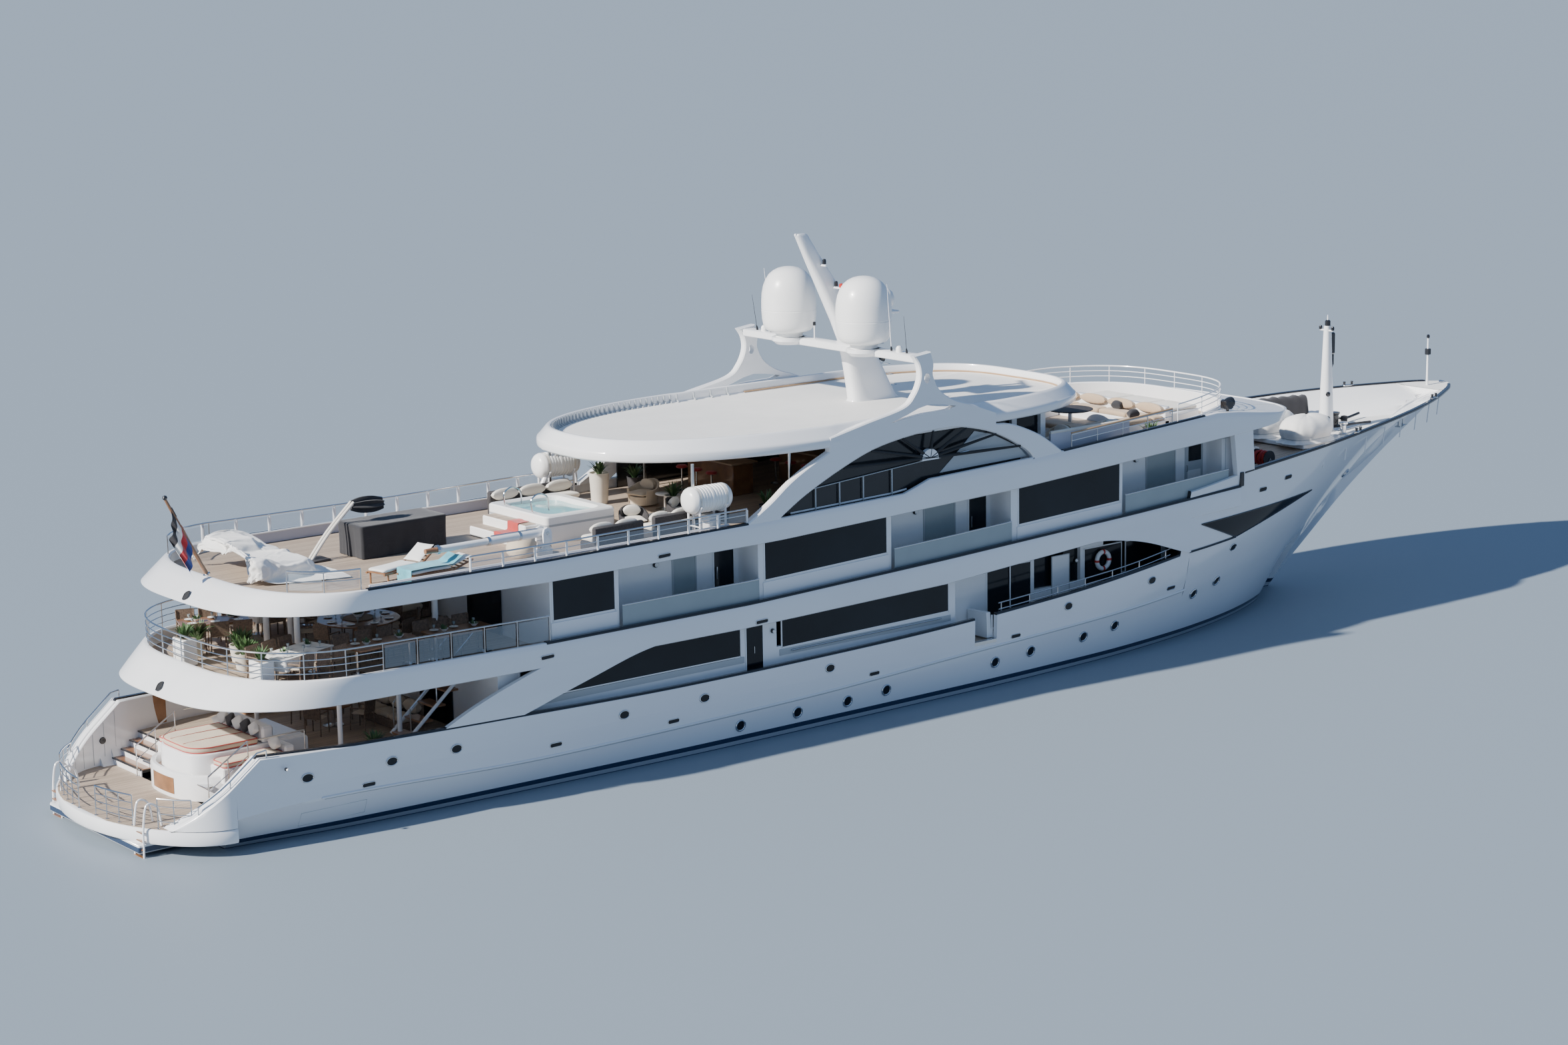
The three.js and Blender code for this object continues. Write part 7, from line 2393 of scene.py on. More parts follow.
def make_island():
    island = Piece("stern_island_skin")

    def outline(corner, tip, width, count, power, more):
        """Line round the island's aft end and forward to the points of more, the same on both sides"""
        half = stern_outline(corner, tip, width, count, power)[::-1] + more
        return half + [(x, -y) for x, y in half[::-1][:-1]]

    def level(points, inset, z):
        """A level line through the points, drawn in towards the island's middle"""
        middle = 4.3
        row = []
        for x, y in points:
            share = 1 - inset / math.hypot(x - middle, y)
            row.append((middle + (x - middle) * share, y * share, z))
        return row

    ring = outline(4.0, 2.42, 1.9, 28, 0.8, [(6.2, 1.9)])
    wall = (
        (
            0, PLATFORM_TOP + 0.003
        ), (0, 1.39), (0.015, 1.43), (0.05, 1.452), (0.13, 1.452), (0.15, 1.43), (0.16, 1.22),
    )
    rows = [level(ring, *step) for step in wall]
    island.grid(rows, "white", close=True)
    island.face(rows[-1], "wood")
    bed = outline(3.55, 2.75, 1.15, 16, 0.4, [(6.2, 1.15)])
    rows = [level(bed, *step) for step in ((0, 1.23), (0, 1.86), (0.02, 1.9), (0.06, 1.922))]
    island.grid(rows, "white", close=True)
    island.face(rows[-1], "white")
    for sign in (1, -1):
        island.box((3.25, sign * 1.15, 1.22), (5.4, sign * 1.88, 1.66), "white", 0.03)
        island.box((5.1, sign * 1.15, 1.5), (5.4, sign * 1.88, 1.95), "white", 0.05)
        island.box((2.75, sign * 1.55 - 0.25, 1.2), (3.0, sign * 1.55 + 0.25, 1.24), "steel", 0.01)
    island.box((4.85, -1.12, 1.9), (5.2, 1.12, 2.36), "white", 0.06)
    island.box((5.2, -1.1, 1.5), (6.18, 1.1, 1.95), "white", 0.03)
    for k in range(3):
        island.box((6.185, -0.95 + 0.65 * k, 1.56), (6.2, -0.4 + 0.65 * k, 1.86), "wood", 0.004)
    face = sorted([p for p in ring if abs(p[1]) < 0.62 and p[0] < 3], key=lambda p: p[1])
    island.grid([[(x - 0.012, y, z) for x, y in face] for z in spread(0.86, 1.3, 3)], "wood")
    island.finish(replaces=["stern_island"], sharp=30)
    pad = Piece("stern_sunpad_skin")
    edge = outline(3.5, 2.8, 1.08, 12, 0.45, [(x, 1.08) for x in spread(3.7, 4.7, 5)] + [(4.75, 1.04)])
    buttons = [(x, y) for x in (3.3, 3.9, 4.4) for y in (-0.6, 0, 0.6)]
    cushion(pad, counter_clockwise(edge), 1.923, 2.125, "cushion", "piping", 0.05, buttons)
    for y in (-0.36, 0.36):
        seam = [(x, y, z) for x, z in ((2.86 + 0.1 * abs(y), 2.112), (3.4, 2.128), (4.1, 2.13), (4.7, 2.11))]
        pad.tube(seam, 0.009, "piping", 6)
    pad.finish(slot="cushion", replaces=["stern_sunpad"], sharp=50)
    seats = Piece("stern_seat_cushions")
    for sign in (1, -1):
        y0, y1 = sorted((sign * 1.19, sign * 1.87))
        buttons = [(x, sign * 1.53) for x in (3.8, 4.5)]
        cushion(seats, rounded_rect(3.27, 5.08, y0, y1, 0.14), 1.662, 1.83, "cushion", "piping", 0.04, buttons)
    seats.finish(slot="cushion", sharp=50)
    pillows = Piece("stern_pillows")
    plump = {"crown": 0.6, "edge": 3.2}
    for k in range(5):
        place, tone = (4.74, -0.84 + 0.42 * k, 2.3), ("canvas", "pillow_black")[k % 2]
        pillows.pad(place, (0.16, 0.42, 0.4), tone, turn=0.12 * (k % 3 - 1), tilt=0.42, **plump)
    for sign in (1, -1):
        pillows.pad((4.98, sign * 1.52, 2.0), (0.16, 0.6, 0.36), "canvas", turn=sign * 0.1, tilt=0.4, **plump)
    pillows.finish(slot="cushion", sharp=60)


def sofa(piece, x0, x1, y0, y1, z, back, which="cushion"):
    """A straight sofa: a wicker base, seat cushions and a back along its +x or +y side"""
    piece.box((x0, y0, z), (x1, y1, z + 0.26), "wicker", 0.03)
    along_x = back == "+y"
    count = max(1, round((x1 - x0 if along_x else y1 - y0) / 0.8))
    for k in range(count):
        a, b = k / count, (k + 1) / count
        if along_x:
            cell = (x0 + (x1 - x0) * a + 0.01, x0 + (x1 - x0) * b - 0.01, y0, y1 - 0.2)
            middle, size = ((cell[0] + cell[1]) / 2, y1 - 0.12, z + 0.6), (cell[1] - cell[0], 0.2, 0.42)
        else:
            cell = (x0, x1 - 0.2, y0 + (y1 - y0) * a + 0.01, y0 + (y1 - y0) * b - 0.01)
            middle, size = (x1 - 0.12, (cell[2] + cell[3]) / 2, z + 0.6), (0.2, cell[3] - cell[2], 0.42)
        cushion(piece, rounded_rect(*cell, 0.08), z + 0.26, z + 0.44, which, None, 0.04)
        piece.pad(middle, size, which, crown=0.3)
    low = (x0, y1 - 0.04, z) if along_x else (x1 - 0.04, y0, z)
    high = (x1, y1 + 0.04, z + 0.75) if along_x else (x1 + 0.04, y1, z + 0.75)
    piece.box(low, high, "wicker", 0.02)


def make_main_deck_aft():
    things = Piece("main_deck_furniture")
    x, y, z = 8.0, 0.6, MAIN_DECK + 0.004
    sofa(things, 7.2, 9.4, 3.0, 3.75, z, "+y")
    sofa(things, 9.0, 9.7, -1.4, 0.8, z, "+x")
    table(things, x, y, z, 0.55, 0.62, "wood")
    for a in (0.6, 2.1, 3.7, 5.2):
        chair(things, x + 0.95 * math.cos(a), y + 0.95 * math.sin(a), z, a)
    planter(things, 6.9, 3.4, z, 21, 0.24, 0.5, "wood")
    planter(things, 6.9, -3.5, z, 22, 0.24, 0.5, "stone")
    things.furnish()


make_island()
make_main_deck_aft()


# Upper aft deck


def make_upper_aft():
    def floor_z(x):
        return line_at(UPPER_DECK, x) + 0.004

    things = Piece("upper_deck_furniture")
    cloths = Piece("table_cloths")
    laid = (
        (5.3, -2.35, 0.32, (1.9, 0.95), "canvas"), (7.6, -2.95, 0.05, (2.1, 0.95), "wood"),
        (10.0, -2.95, 0, (1.9, 0.95), "wood"), (
            5.4, 2.35, -0.32, (1.9, 0.95), "wood"
        ), (7.9, 2.95, 0, (2.1, 0.95), "canvas"),
    )
    for x, y, angle, (long, wide), top in laid:
        z = floor_z(x)

        def edge(out, radius):
            a, b = long / 2, wide / 2
            rect = rounded_rect(x - a - out, x + a + out, y - b - out, y + b + out, radius, 0)
            return turned(rect, (x, y), angle)

        def at(px, py):
            return turned([(px, py)], (x, y), angle)[0]

        things.prism(edge(0, 0.06), z + 0.7, z + 0.735, "wood", plane="xy")
        if top == "canvas":
            skirt = edge(0.03, 0.07)
            flare = []
            for px, py in skirt:
                a = math.atan2(py - y, px - x)
                flare.append(
                    (px + (px - x) * 0.03 * math.sin(9 * a), py + (py - y) * 0.05 * math.cos(11 * a), z + 0.42)
                )
            upper, lower = ([(px, py, z + lift) for px, py in skirt] for lift in (0.742, 0.69))
            cloths.grid([upper, lower, flare], "canvas", close=True)
            cloths.face(upper, "canvas")
        for dx in (-0.4, 0.4):
            foot = at(x + dx * long, y)
            things.tube([(*foot, z), (*foot, z + 0.7)], 0.05, "steel", 12)
            things.lathe([(0, 0.03), (0.22, 0.02), (0.22, 0)], (*foot, z), "steel", 16)
        seats = max(2, round(long / 0.65))
        for k in range(seats):
            row_x = x - long / 2 + long * (k + 0.5) / seats
            for s in (-1, 1):
                px, py = at(row_x, y + s * (wide / 2 + 0.22))
                if s < 0 and y < 0 and abs(py) > 3.6 - max(0, 5.5 - px) * 0.5:
                    continue
                chair(things, px, py, floor_z(px), angle + s * math.pi / 2)
                setting(things, *at(row_x, y + s * (wide / 2 - 0.2)), z + 0.745, 0, 1)
        for k in (-1, 1):
            bx, by = at(x + k * long * 0.25, y)
            things.lathe(
                [(0, 0.01), (0.05, 0.01), (0.12, 0.09), (0.11, 0.09), (0.04, 0.02)],
                (bx, by, z + 0.745), "dome", 16,
            )
            plant(things, bx, by, z + 0.78, 40 + int(10 * bx), 0.12, 0.2, 12)
    things.furnish()
    cloths.finish(slot="cushion")
    greens = Piece("upper_deck_planters")
    pots = (
        (3.75, 0.9, 0.75, "dome"), (
            4.05, -2.75, 0.75, "dome"
        ), (4.4, 1.6, 0.5, "stone"), (5.1, 0.4, 0.45, "stone"),
        (4.7, -0.6, 0.45, "stone"),
    )
    for k, (x, y, tall, which) in enumerate(pots):
        z = floor_z(x)
        if which == "dome":
            greens.box((x - 0.22, y - 0.3, z), (x + 0.22, y + 0.3, z + tall), "dome", 0.03)
            greens.box(
                (x - 0.19, y - 0.27, z + tall - 0.02), (x + 0.19, y + 0.27, z + tall + 0.004), "interior", 0.01
            )
            plant(greens, x, y, z + tall - 0.03, 60 + k, 0.34, 0.5, 60)
        else:
            planter(greens, x, y, z, 60 + k, 0.26, tall, which)
            plant(greens, x + 0.1, y, z + tall - 0.1, 80 + k, 0.5, 0.7, 50)
    greens.finish(slot="paint")
    dining = Piece("dining_table_skin")
    x, y, z = 8.6, 0, floor_z(8.6)
    top = 4.58 - z
    foot = [(0, 0), (0.5, 0), (0.52, 0.03), (0.2, 0.1), (0.16, top - 0.14), (0.34, top - 0.06)]
    dining.lathe(foot, (x, y, z), "wood", 32)
    board = [(0.3, -0.06), (1.08, -0.055), (1.14, -0.035), (1.15, -0.015), (1.13, 0), (0, 0)]
    dining.lathe(board, (x, y, 4.58), "wood", 56)
    dining.lathe(
        [(0, 0.002), (0.42, 0.002), (0.44, 0.016), (0.42, 0.03), (0, 0.032)], (x, y, 4.58), "interior", 36
    )
    setting(dining, x, y, 4.583, 0.86, 8)
    dining.lathe(
        [(0, 0.02), (0.1, 0.02), (0.17, 0.12), (0.16, 0.12), (0.08, 0.04), (0, 0.035)], (x, y, 4.6), "dome", 20
    )
    plant(dining, x, y, 4.64, 91, 0.2, 0.3, 26)
    dining.finish(slot="teak", replaces=["dining_table"], sharp=30)
    round_chairs = Piece("dining_chairs")
    for k in range(8):
        a = 2 * math.pi * (k + 0.5) / 8
        px, py = x + 1.42 * math.cos(a), y + 1.42 * math.sin(a)
        chair(round_chairs, px, py, floor_z(px), a)
    sofa(round_chairs, 10.6, 12.0, 2.6, 3.5, floor_z(11.3), "+y", "red")
    sofa(round_chairs, 10.9, 11.9, 1.6, 2.4, floor_z(11.3), "+x")
    round_chairs.furnish()


make_upper_aft()

# Furniture on the sundeck


def backed_seat(shell, soft, place, z, back, seats):
    """A low seat with a back along its y0 or y1 side"""
    x0, x1, y0, y1 = place
    shell.box((x0, y0, z), (x1, y1, z + 0.27), "charcoal", 0.04)
    thick = 0.16
    if back == "y0":
        wall, y0, pillow_y = (y0, y0 + thick), y0 + thick, y0 + thick + 0.09
    else:
        wall, y1, pillow_y = (y1 - thick, y1), y1 - thick, y1 - thick - 0.09
    shell.box((x0, wall[0], z + 0.2), (x1, wall[1], z + 0.72), "charcoal", 0.04)
    for k in range(seats):
        c0, c1 = x0 + (x1 - x0) * k / seats, x0 + (x1 - x0) * (k + 1) / seats
        cell = rounded_rect(c0 + 0.01, c1 - 0.01, y0 + 0.01, y1 - 0.01, 0.07)
        cushion(soft, cell, z + 0.275, z + 0.44, "cream")
        soft.pad(((c0 + c1) / 2, pillow_y, z + 0.62), (c1 - c0 - 0.06, 0.15, 0.36), "cream", steps=8)


def soft_piece(piece, replaces=()):
    """Finish a piece made of stuffed forms"""
    piece.finish(slot="cushion", replaces=replaces)


def towel(name, path, y0, y1, which, seed):
    """A towel laid over a path (x, z), with soft ripples and a hem that hangs unevenly"""
    dice = random.Random(seed)
    piece = Piece(name)
    points = resample([(x, 0, z) for x, z in path], 0.05)
    phase = dice.uniform(0, 6)
    rows = []
    for y in spread(y0, y1, 16):
        wave = 0.012 * math.sin(9 * y + phase) + 0.006 * math.sin(23 * y + phase)
        rows.append(
            [(p.x + wave * 0.6, y + 0.02 * math.sin(6 * p.x), p.z + 0.016 + wave * 0.5) for p in points]
        )
    piece.grid(rows, which)
    piece.finish(slot="cushion", sharp=80)


def make_sundeck_furniture():
    shell, soft = Piece("sundeck_furniture"), Piece("sundeck_cushions")
    z = deck_z(16)
    backed_seat(shell, soft, (16.35, 18.6, -3.3, -2.55), deck_z(17.5), "y0", 3)
    backed_seat(shell, soft, (14.2, 15.9, -3.45, -2.7), z, "y0", 2)
    for x, y, turn in ((16.75, -1.75, 1.2), (18.45, -1.7, 2.0), (19.25, -2.3, 0.1)):
        armchair(shell, x, y, deck_z(x), turn)
    table(shell, 17.55, -2.0, deck_z(17.5), 0.42, 0.42, "dome")
    table(shell, 19.3, 0.2, deck_z(19.3), 0.3, 0.5, "white")
    armchair(shell, 19.25, 1.25, deck_z(19.2), 0.2, "cushion", "cushion", 0.95)
    backed_seat(shell, soft, (15.0, 17.9, 2.55, 3.25), z, "y1", 3)
    planter(shell, 18.45, 2.38, deck_z(18.4), 31, 0.3, 0.95)
    planter(shell, 19.16, -0.4, deck_z(19.2), 32, 0.27, 0.55)
    for x, y, seed in ((20.2, 3.0, 33), (20.4, -3.3, 34), (27.6, 3.1, 35)):
        planter(shell, x, y, deck_z(x), seed, 0.24, 0.5, "charcoal")
    for x0, x1, y0, y1 in ((21.9, 22.7, 0.3, 2.6), (24.6, 25.3, -0.9, 1.5)):
        z = deck_z(x0)
        shell.box((x0, y0, z), (x1, y1, z + 0.95), "wood", 0.03)
        shell.box((x0 - 0.1, y0 - 0.1, z + 0.95), (x1 + 0.1, y1 + 0.1, z + 1.01), "tan", 0.02)
        for k in range(3):
            y = y0 + 0.4 + k * 0.75
            shell.lathe(
                [(0.17, 0), (0.17, 0.02), (0.03, 0.05), (0.03, 0.68), (0.1, 0.7)], (x0 - 0.5, y, z), "steel", 16
            )
            disc = [(x0 - 0.5 + 0.18 * c, y + 0.18 * s) for c, s in around(16)]
            cushion(soft, disc, z + 0.7, z + 0.8, "red_cushion", crown=0.03)
    for x, y, turn, back in ((8.45, -2.65, 0.25, 0.75), (8.95, -3.55, 0.06, 0.35)):
        lounger(shell, x, y, deck_z(x), turn, back)
        c, s = math.cos(turn), math.sin(turn)
        seat = turned(rounded_rect(x - 0.98, x + 0.33, y - 0.31, y + 0.31, 0.08), (x, y), turn)
        cushion(soft, seat, deck_z(x) + 0.365, deck_z(x) + 0.46, "canvas", crown=0.03)
        lean = math.atan2(back * 0.55, 0.65)
        middle = (x + c * 0.67, y + s * 0.67, deck_z(x) + 0.42 + back * 0.275)
        soft.pad(middle, (0.68, 0.6, 0.1), "canvas", turn=turn, tilt=-lean, steps=8)
    shell.furnish()
    soft_piece(soft)
    bag = Piece("bean_bag")
    profile = [
        (0, 0), (0.36, 0.01), (0.45, 0.1), (0.47, 0.24), (0.42, 0.4), (0.3, 0.53), (0.14, 0.6), (0, 0.61)
    ]
    bag.lathe(profile, (12.5, -2.35, deck_z(12.5) + 0.003), "cushion", 28)
    bag.points = [
        Vector(
            (p.x + 0.03 * math.sin(5 * p.y + 4 * p.z), p.y + 0.03 * math.sin(6 * p.x + 3 * p.z), p.z)
        ) for p in bag.points
    ]
    soft_piece(bag)
    over_steps = [(13.0, 6.2), (12.985, 6.42), (13.43, 6.42), (13.44, 6.67), (13.86, 6.67)]
    towel("red_towel", over_steps, -0.75, -0.2, "piping", 5)
    z = deck_z(8.9)
    over_lounger = [(7.95, z + 0.12), (7.96, z + 0.48), (8.6, z + 0.485), (9.26, z + 0.485), (9.6, z + 0.66)]
    towel("turquoise_towel", over_lounger, -3.92, -3.2, "towel", 6)


def make_parasol():
    stand = Piece("parasol_frame")
    x, y = 7.95, 1.0
    foot = deck_z(x)
    stand.box((x - 0.28, y - 0.3, foot), (x + 0.28, y + 0.3, foot + 0.07), "charcoal", 0.03)
    for d in (-0.07, 0.07):
        arm = [(x - 0.2, y + d, foot + 0.05), (x + 0.4, y + d, foot + 0.75), (x + 1.2, y + d, 7.62)]
        stand.tube(smooth_line(arm), 0.045, "cream", 12)
    stand.tube([(x + 1.2, y, 7.62), (x + 1.7, y, 7.7), (x + 2.15, y, 7.62)], 0.035, "steel", 10)
    stand.finish(slot="steel")
    canopy = Piece("parasol_canopy")
    rows = []
    for t in spread(0, 1, 12):
        radius = 0.07 + 0.13 * math.sin(math.pi * min(1.0, 0.1 + t * 0.75))
        row = []
        for k, (c, s) in enumerate(around(32)):
            fold = 1 + 0.28 * math.sin(8 * (2 * math.pi * k / 32))
            row.append((x + 1.15 + t, y + radius * fold * c, 7.52 - 0.05 * t + radius * fold * s))
        rows.append(row)
    canopy.grid(rows, "black_canvas", close=True)
    canopy.ends(rows, "black_canvas")
    canopy.finish(slot="cover", sharp=70)


def make_flag():
    """A flag hanging limp from the staff, its free end fallen down beside the hoist"""
    foot, head = Vector((4.05, 0, line_at(SUN_TOP, 4.05) + 0.03)), Vector((2.95, 0, 8.67))
    top, low = foot.lerp(head, 0.9), foot.lerp(head, 0.42)
    flag = Piece("flag")
    columns = spread(0, 1, 40)
    for band, which in enumerate(("charcoal", "canvas", "flag_red", "flag_blue")):
        rows = []
        for v in spread(band / 4, (band + 1) / 4, 7):
            hoist = top.lerp(low, v)
            row = []
            for u in columns:
                ripple = 0.09 * math.sin(15 * u + 1.5 * v) * (0.25 + u)
                swing = 0.06 * math.cos(11 * u + 2 * v) * u
                row.append(
                    (
                        hoist.x + 0.05 - 0.14 * u + swing * 0.5, hoist.y - 0.05 + ripple - 0.15 * u,
                        hoist.z - 0.92 * u,
                    )
                )
            rows.append(row)
        flag.grid(rows, which)
    flag.finish(slot="cushion", sharp=80, weld=1e-4)
    staff = Piece("ensign_staff_skin")
    staff.tube([foot - Vector((0, 0, 0.02)), foot.lerp(head, 0.5), head], [0.04, 0.036, 0.03], "charcoal", 12)
    staff.lathe([(0, 0.1), (0.05, 0.08), (0.07, 0.03), (0.05, -0.02), (0, -0.03)], head, "black", 14)
    staff.lathe(
        [(0.1, 0), (0.1, 0.03), (0.055, 0.05), (0.055, 0.2), (0.04, 0.2)], foot, "steel", 14, head - foot
    )
    staff.tube([top, top.lerp(low, 0.5) + Vector((-0.03, 0, 0)), low], 0.008, "canvas", 6)
    staff.finish(slot="teak")


def make_forward_lounge():
    """The sunken seating forward of the wheelhouse roof, its table and its sunpad"""
    shell, soft = Piece("forward_seating_base"), Piece("forward_seating_cushions")
    low, seat = line_at(SUNDECK, 35) - 0.02, 7.06
    blocks = (
        (33.6, 34.38, 0.52, 2.58, "x0"), (33.6, 34.38, -2.58, -0.52, "x0"),
        (34.38, 36.82, 1.82, 2.58, "y1"), (34.38, 36.82, -2.58, -1.82, "y0"),
        (36.82, 37.58, -2.58, 2.58, "x1"),
    )
    for x0, x1, y0, y1, back in blocks:
        shell.box((x0, y0, low), (x1, y1, seat), "white", 0.03)
        count = 4 if back == "x1" else 2
        for k in range(count):
            a0, a1, b0, b1 = x0, x1, y0, y1
            if back in ("y0", "y1"):
                a0, a1 = x0 + (x1 - x0) * k / count, x0 + (x1 - x0) * (k + 1) / count
            else:
                a1 -= 0.24 if back == "x1" else 0
                b0, b1 = y0 + (y1 - y0) * k / count, y0 + (y1 - y0) * (k + 1) / count
            cell = rounded_rect(a0 + 0.01, a1 - 0.01, b0 + 0.01, b1 - 0.01, 0.08)
            cushion(soft, cell, seat + 0.003, 7.24, "tan_cushion")
    shell.box((37.36, -2.58, low), (37.6, 2.58, 7.5), "white", 0.03)
    for k in range(4):
        y = -1.95 + 1.3 * k
        soft.pad((37.29, y, 7.42), (0.16, 1.22, 0.34), "tan_cushion", steps=8)
    shell.box((37.6, -2.18, low), (39.38, 2.18, 7.2), "white", 0.05)
    for k in range(3):
        y0 = -2.14 + 1.43 * k
        cushion(soft, rounded_rect(37.64, 39.34, y0, y0 + 1.41, 0.1), 7.203, 7.345, "cream")
    for x, y, turn in ((34.0, 1.6, 0.4), (36.3, -2.2, 1.4), (36.5, 2.2, -1.2), (37.15, -0.6, 0.1)):
        soft.pad((x, y, 7.36), (0.2, 0.4, 0.34), "pillow_black", turn=turn, tilt=-0.3, steps=8)
    shell.finish(slot="cushion", replaces=["forward_seating"])
    soft_piece(soft, replaces=["forward_seating"])
    round_table = Piece("forward_table_skin")
    foot = [(0, 0), (0.34, 0), (0.34, 0.03), (0.08, 0.08), (0.07, 0.55), (0.3, 0.6)]
    round_table.lathe(foot, (35.6, 0, line_at(SUNDECK, 35.6)), "steel", 24)
    board = [(0.3, -0.06), (0.7, -0.055), (0.745, -0.03), (0.745, -0.01), (0.72, 0), (0, 0)]
    round_table.lathe(board, (35.6, 0, 7.355), "charcoal", 40)
    round_table.finish(slot="teak", replaces=["forward_table"])
    side = Piece("forward_lounge_outfit")
    x0, x1, high = 31.0, 34.4, 7.56
    for sign in (1, -1):
        outer = [(x, sign * (3.95 + 0.02 * (i % 2))) for i, x in enumerate(spread(x0, x1, 35))]
        inner = [(x, y - sign * 0.07) for x, y in outer]
        rows = [[(x, y, line_at(SUNDECK, x)) for x, y in outer], [(x, y, high) for x, y in outer]]
        rows += [[(x, y, high) for x, y in inner], [(x, y, line_at(SUNDECK, x)) for x, y in inner]]
        # Ribbed side wall in lavender-grey: painted shade on a white wall
        side.grid(rows, "parapet")
        side.tube([(x, sign * 3.93, high + 0.02) for x in spread(x0, x1, 3)], 0.05, "cream", 8)
        for x in (32.2, 33.2):
            side.lathe([(0.07, 0), (0.07, 0.9), (0, 0.92)], (x, sign * 3.6, line_at(SUNDECK, x)), "cream", 14)
    plant(side, 36.0, -3.3, line_at(SUNDECK, 36), 41, 0.5, 0.75)
    side.lathe(
        [(0, 0), (0.22, 0), (0.26, 0.35), (0.24, 0.36), (0, 0.33)],
        (36.0, -3.3, line_at(SUNDECK, 36)), "charcoal", 20,
    )
    for x, y, turn in ((32.9, -2.3, 0.3), (34.6, -3.1, 1.3)):
        armchair(side, x, y, line_at(SUNDECK, x), turn, "cream", "cushion", 0.9)
    side.furnish()


make_sundeck_furniture()
make_parasol()
make_flag()
make_forward_lounge()

# Foredeck


def bollard(piece, x, y, turn):
    """A pair of mooring posts on one foot"""
    z = line_at(UPPER_DECK, x)
    piece.box((x - 0.32, y - 0.13, z), (x + 0.32, y + 0.13, z + 0.04), "steel", 0.012, turn)
    for d in (-0.19, 0.19):
        place = (x + d * math.cos(turn), y + d * math.sin(turn), z + 0.03)
        piece.lathe([(0.075, 0), (0.07, 0.26), (0.095, 0.29), (0.09, 0.32), (0, 0.34)], place, "steel", 16)


def make_foremast():
    mast = Piece("foremast_skin")
    x = 48.0
    foot = line_at(UPPER_DECK, x)
    rows = [
        (foot, 0.3), (foot + 0.04, 0.3), (foot + 0.06, 0.27), (6.4, 0.23), (7.6, 0.18), (8.7, 0.14),
        (8.88, 0.13),
    ]
    closed_loft(mast, [squircle(x, 0, z, r, r * 0.86, 2.6, 24) for z, r in rows], "white")
    mast.lathe([(0.36, 0), (0.36, 0.03), (0.3, 0.05)], (x, 0, foot + 0.002), "steel", 28)
    mast.tube([(x, 0, 8.86), (x, 0, 9.05), (x, 0, 9.26)], [0.045, 0.03, 0.015], "white", 10)
    mast.tube([(47.95, -0.3, 8.72), (47.95, 0.3, 8.72)], 0.03, "white", 8)
    for y in (-0.28, 0.28):
        mast.lathe([(0, 0), (0.055, 0), (0.06, 0.09), (0.04, 0.13), (0, 0.14)], (47.95, y, 8.74), "black", 14)
    mast.lathe([(0, 0), (0.1, 0), (0.1, 0.16), (0.06, 0.2), (0, 0.21)], (x, 0, 8.88), "black", 18)
    mast.box((48.13, -0.09, 7.85), (48.34, 0.09, 8.62), "black", 0.05)
    mast.tube([(48.3, 0, 7.9), (48.3, 0, 7.5), (48.2, 0, 7.3)], 0.035, "black", 8)
    facing = Vector((-0.55, -0.83, 0)).normalized()
    for z, radius in ((6.48, 0.25), (5.62, 0.28)):
        place = Vector((x, 0, z)) + facing * (radius - 0.05)
        mast.lathe([(0, 0.07), (0.06, 0.06), (0.085, 0.03), (0.085, 0)], place, "black", 18, axis=facing)
    mast.finish(replaces=["foremast"], sharp=35)


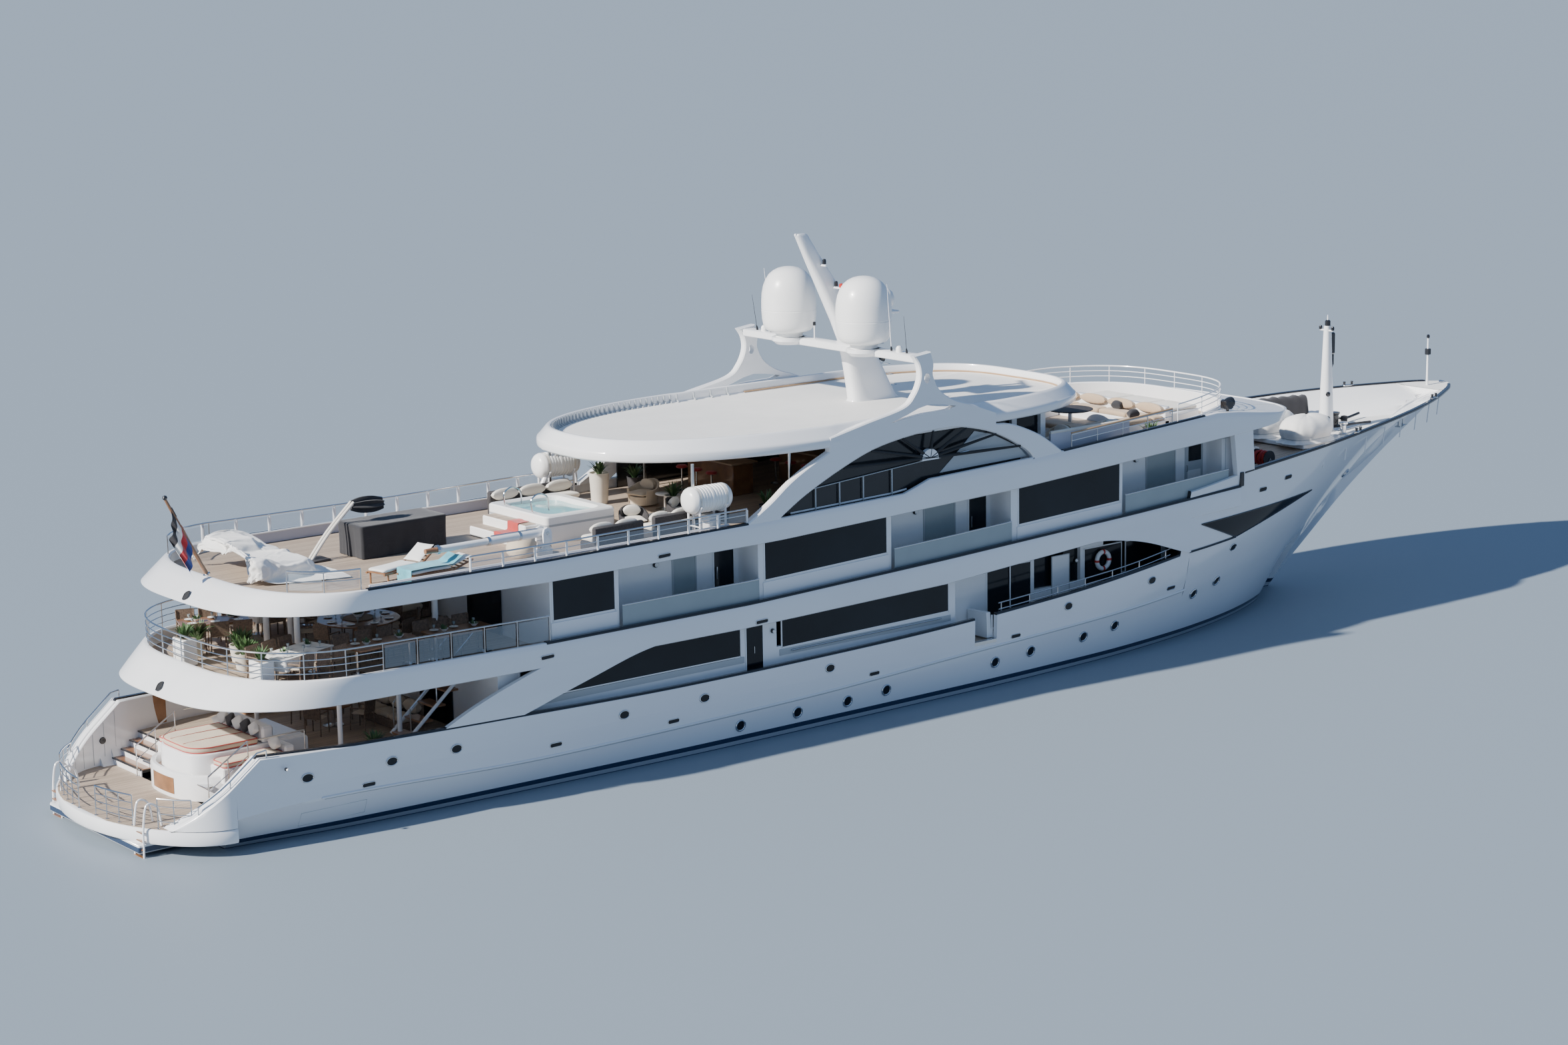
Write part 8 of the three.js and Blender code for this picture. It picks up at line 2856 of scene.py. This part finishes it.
def make_foredeck():
    gear = Piece("foredeck_gear")
    for sign in (1, -1):
        bollard(gear, 42.2, sign * 3.2, -sign * 0.16)
        bollard(gear, 50.2, sign * 1.55, -sign * 0.4)
        for x in (45.4, 51.4):
            top = curve_at(TOP, x)
            y = sign * (half_at(x, top) - 0.08)
            gear.box(
                (x - 0.22, y - 0.07, top + 0.03), (x + 0.22, y + 0.07, top + 0.09), "steel", 0.02, -sign * 0.3
            )
            for d in (-0.15, 0.15):
                horn = (x + d, y - sign * d * 0.3, top + 0.08)
                gear.lathe([(0.05, 0), (0.04, 0.06), (0.055, 0.12), (0, 0.13)], horn, "black", 12)
        for x in spread(38.6, 52.4, 12):
            top = curve_at(TOP, x)
            foot = line_at(UPPER_DECK, x)
            y = sign * (half_at(x, top) - 0.18)
            gear.tube([(x, y, top - 0.04), (x, y - sign * 0.1, foot + 0.02)], 0.02, "white", 6)
    z = line_at(UPPER_DECK, 48.8)
    capstan = [(0.24, 0), (0.24, 0.05), (0.17, 0.08), (0.17, 0.42), (0.21, 0.46), (0.21, 0.52), (0, 0.54)]
    gear.lathe(capstan, (48.75, 0.3, z), "black", 24)
    gear.lathe([(0.12, 0), (0.12, 0.3), (0, 0.33)], (49.35, 0.35, z), "charcoal", 18)
    gear.tube(
        smooth_line([(48.9, 0.3, z + 0.3), (49.5, 0.42, z + 0.2), (50.3, 0.5, z + 0.28)]), 0.05, "black", 8
    )
    gear.tube(
        smooth_line([(48.5, -0.2, z + 0.1), (49.2, -0.35, z + 0.14), (50.0, -0.3, z + 0.1)]),
        0.04, "charcoal", 8,
    )
    for x, y, radius in ((42.3, -2.3, 0.27), (43.1, 2.0, 0.3)):
        z = line_at(UPPER_DECK, x)
        disc = [(0, 0), (radius, 0), (radius, 0.03), (0, 0.03)]
        for s in (-1, 1):
            gear.lathe(disc, (x, y + s * 0.28, z + 0.42), "black", 28, axis=(0, s, 0))
            trestle = [(x + d, y + s * 0.33, z + lift) for d, lift in ((-0.22, 0), (0, 0.42), (0.22, 0))]
            gear.tube(trestle, 0.03, "steel", 8)
        for wrap in range(9):
            reach = 0.2 + 0.03 * math.sin(wrap * 2.3)
            side = y - 0.24 + 0.06 * wrap
            coil = []
            for a in spread(0, 2 * math.pi, 19)[:-1]:
                sway = 0.02 * math.sin(3 * a + wrap)
                coil.append((x + reach * math.cos(a), side + sway, z + 0.42 + reach * math.sin(a)))
            gear.tube(coil, 0.034, "red" if wrap % 3 else "flag_red", 6, closed=True)
    for k, (x, y) in enumerate(((40.4, -2.6), (40.9, -3.1), (40.5, 2.8))):
        z = line_at(UPPER_DECK, x)
        for turn_index in range(4):
            r = 0.3 - 0.02 * turn_index
            ring = [(x + r * c, y + r * s, z + 0.05 + 0.07 * turn_index) for c, s in around(24)]
            gear.tube(ring, 0.04, "black" if k != 1 else "red", 8, closed=True)
    for x, y in ((39.6, -1.6), (39.6, 1.6)):
        z = line_at(UPPER_DECK, x)
        gear.box((x - 0.3, y - 0.5, z), (x + 0.3, y + 0.5, z + 0.42), "white", 0.04)
        gear.box((x - 0.28, y - 0.48, z + 0.42), (x + 0.28, y + 0.48, z + 0.45), "grey", 0.01)
    gear.finish(slot="steel")
    # Black covers along the port bulwark, built as tall as the bulwark: partly black canvas, partly painted shade
    # of the bulwark's inner face
    covers = Piece("stowed_covers_and_shade")
    rows = []
    for i, x in enumerate(spread(45.0, 48.75, 40)):
        outer = half_at(x, 5.3) - 0.24
        inner = outer - 0.46
        z = line_at(UPPER_DECK, x) + 0.01
        swell = 1 - 0.06 * abs(math.sin(i * 0.9)) if 0 < i < 39 else 0.55
        middle, reach, tall = (outer + inner) / 2, (outer - inner) / 2 * swell, 1.02 * swell
        rows.append(
            [(x, middle + reach * bent(c, 0.6), z + tall / 2 + tall / 2 * bent(s, 0.6)) for c, s in around(18)]
        )
    closed_loft(covers, rows, "pillow_black")
    covers.finish(slot="black_cover", sharp=60)


def make_hatch():
    lid = Piece("foredeck_hatch_frame")
    low, high = real_box("foredeck_hatch_lid")
    top = high[2]
    inset = 0.1
    lid.box(
        (low[0] + inset, low[1] + inset, top - 0.01), (high[0] - inset, high[1] - inset, top + 0.008),
        "frosted", 0.004,
    )
    for y in (low[1] + 0.2, high[1] - 0.2):
        grip = [
            (low[0] + 0.03, y + d, top + lift)
            for d, lift in ((-0.06, 0), (-0.06, 0.035), (0.06, 0.035), (0.06, 0))
        ]
        lid.tube(grip, 0.01, "steel", 8)
        lid.box(
            (high[0] - 0.12, y - 0.05, top - 0.004), (high[0] - 0.02, y + 0.05, top + 0.016), "steel", 0.006
        )
    lid.finish(body="foredeck_hatch_lid", slot="steel")


def real_box(node_name):
    """Low and high corners of a carried-over solid, in metres of the real vessel"""
    low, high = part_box(node_name)
    return tuple([p[0] / SCALE + LENGTH / 2, p[1] / SCALE, p[2] / SCALE] for p in (low, high))


def make_bridge_doors():
    """Wheelhouse doors with a window in their upper half"""
    for side, sign in SIDES:
        name = "bridge_door_" + side
        low, high = real_box(name)
        door = Piece(name + "_skin")
        door.box(low, high, "grey", 0.012)
        face = high[1] if sign > 0 else low[1]
        middle = (low[2] + high[2]) / 2
        y0, y1 = sorted((face - sign * 0.02, face + sign * 0.012))
        door.box((low[0] + 0.16, y0, middle + 0.2), (high[0] - 0.1, y1, high[2] - 0.16), "glass", 0.006)
        door.box(
            (low[0] + 0.12, y0, low[2] + 0.14), (high[0] - 0.12, y1 - (sign > 0) * 0.006, middle - 0.1),
            "ceiling", 0.004,
        )
        grip = ((0, -0.12), (0.05, -0.12), (0.05, 0.08), (0, 0.08))
        door.tube([(low[0] + 0.07, face + sign * out, middle + lift) for out, lift in grip], 0.012, "steel", 8)
        door.finish(body=name, replaces=[name])


make_foremast()
make_foredeck()
make_hatch()
make_bridge_doors()


# Stern quarters


def make_stern_quarters():
    quarters = Piece("stern_quarter_fittings")
    for sign in (1, -1):
        for x in spread(1.5, 2.9, 5):
            top = wing_top(x) - 0.08
            y = sign * (inner_half(x, top) - 0.004)
            quarters.tube([(x, y, PLATFORM_TOP + 0.05), (x, y, top)], 0.008, "grey", 4)
        y = sign * (inner_half(2.6, 1.6) - 0.01)
        quarters.lathe([(0, 0.03), (0.09, 0.025), (0.1, 0)], (2.5, y, 1.45), "black", 18, axis=(0, -sign, 0))
        y = sign * (inner_half(4.3, 2.0) - 0.012)
        quarters.box((4.0, y, MAIN_DECK + 0.05), (4.6, y + sign * 0.03, 2.38), "wood", 0.01)
    quarters.finish(slot="paint")


make_stern_quarters()
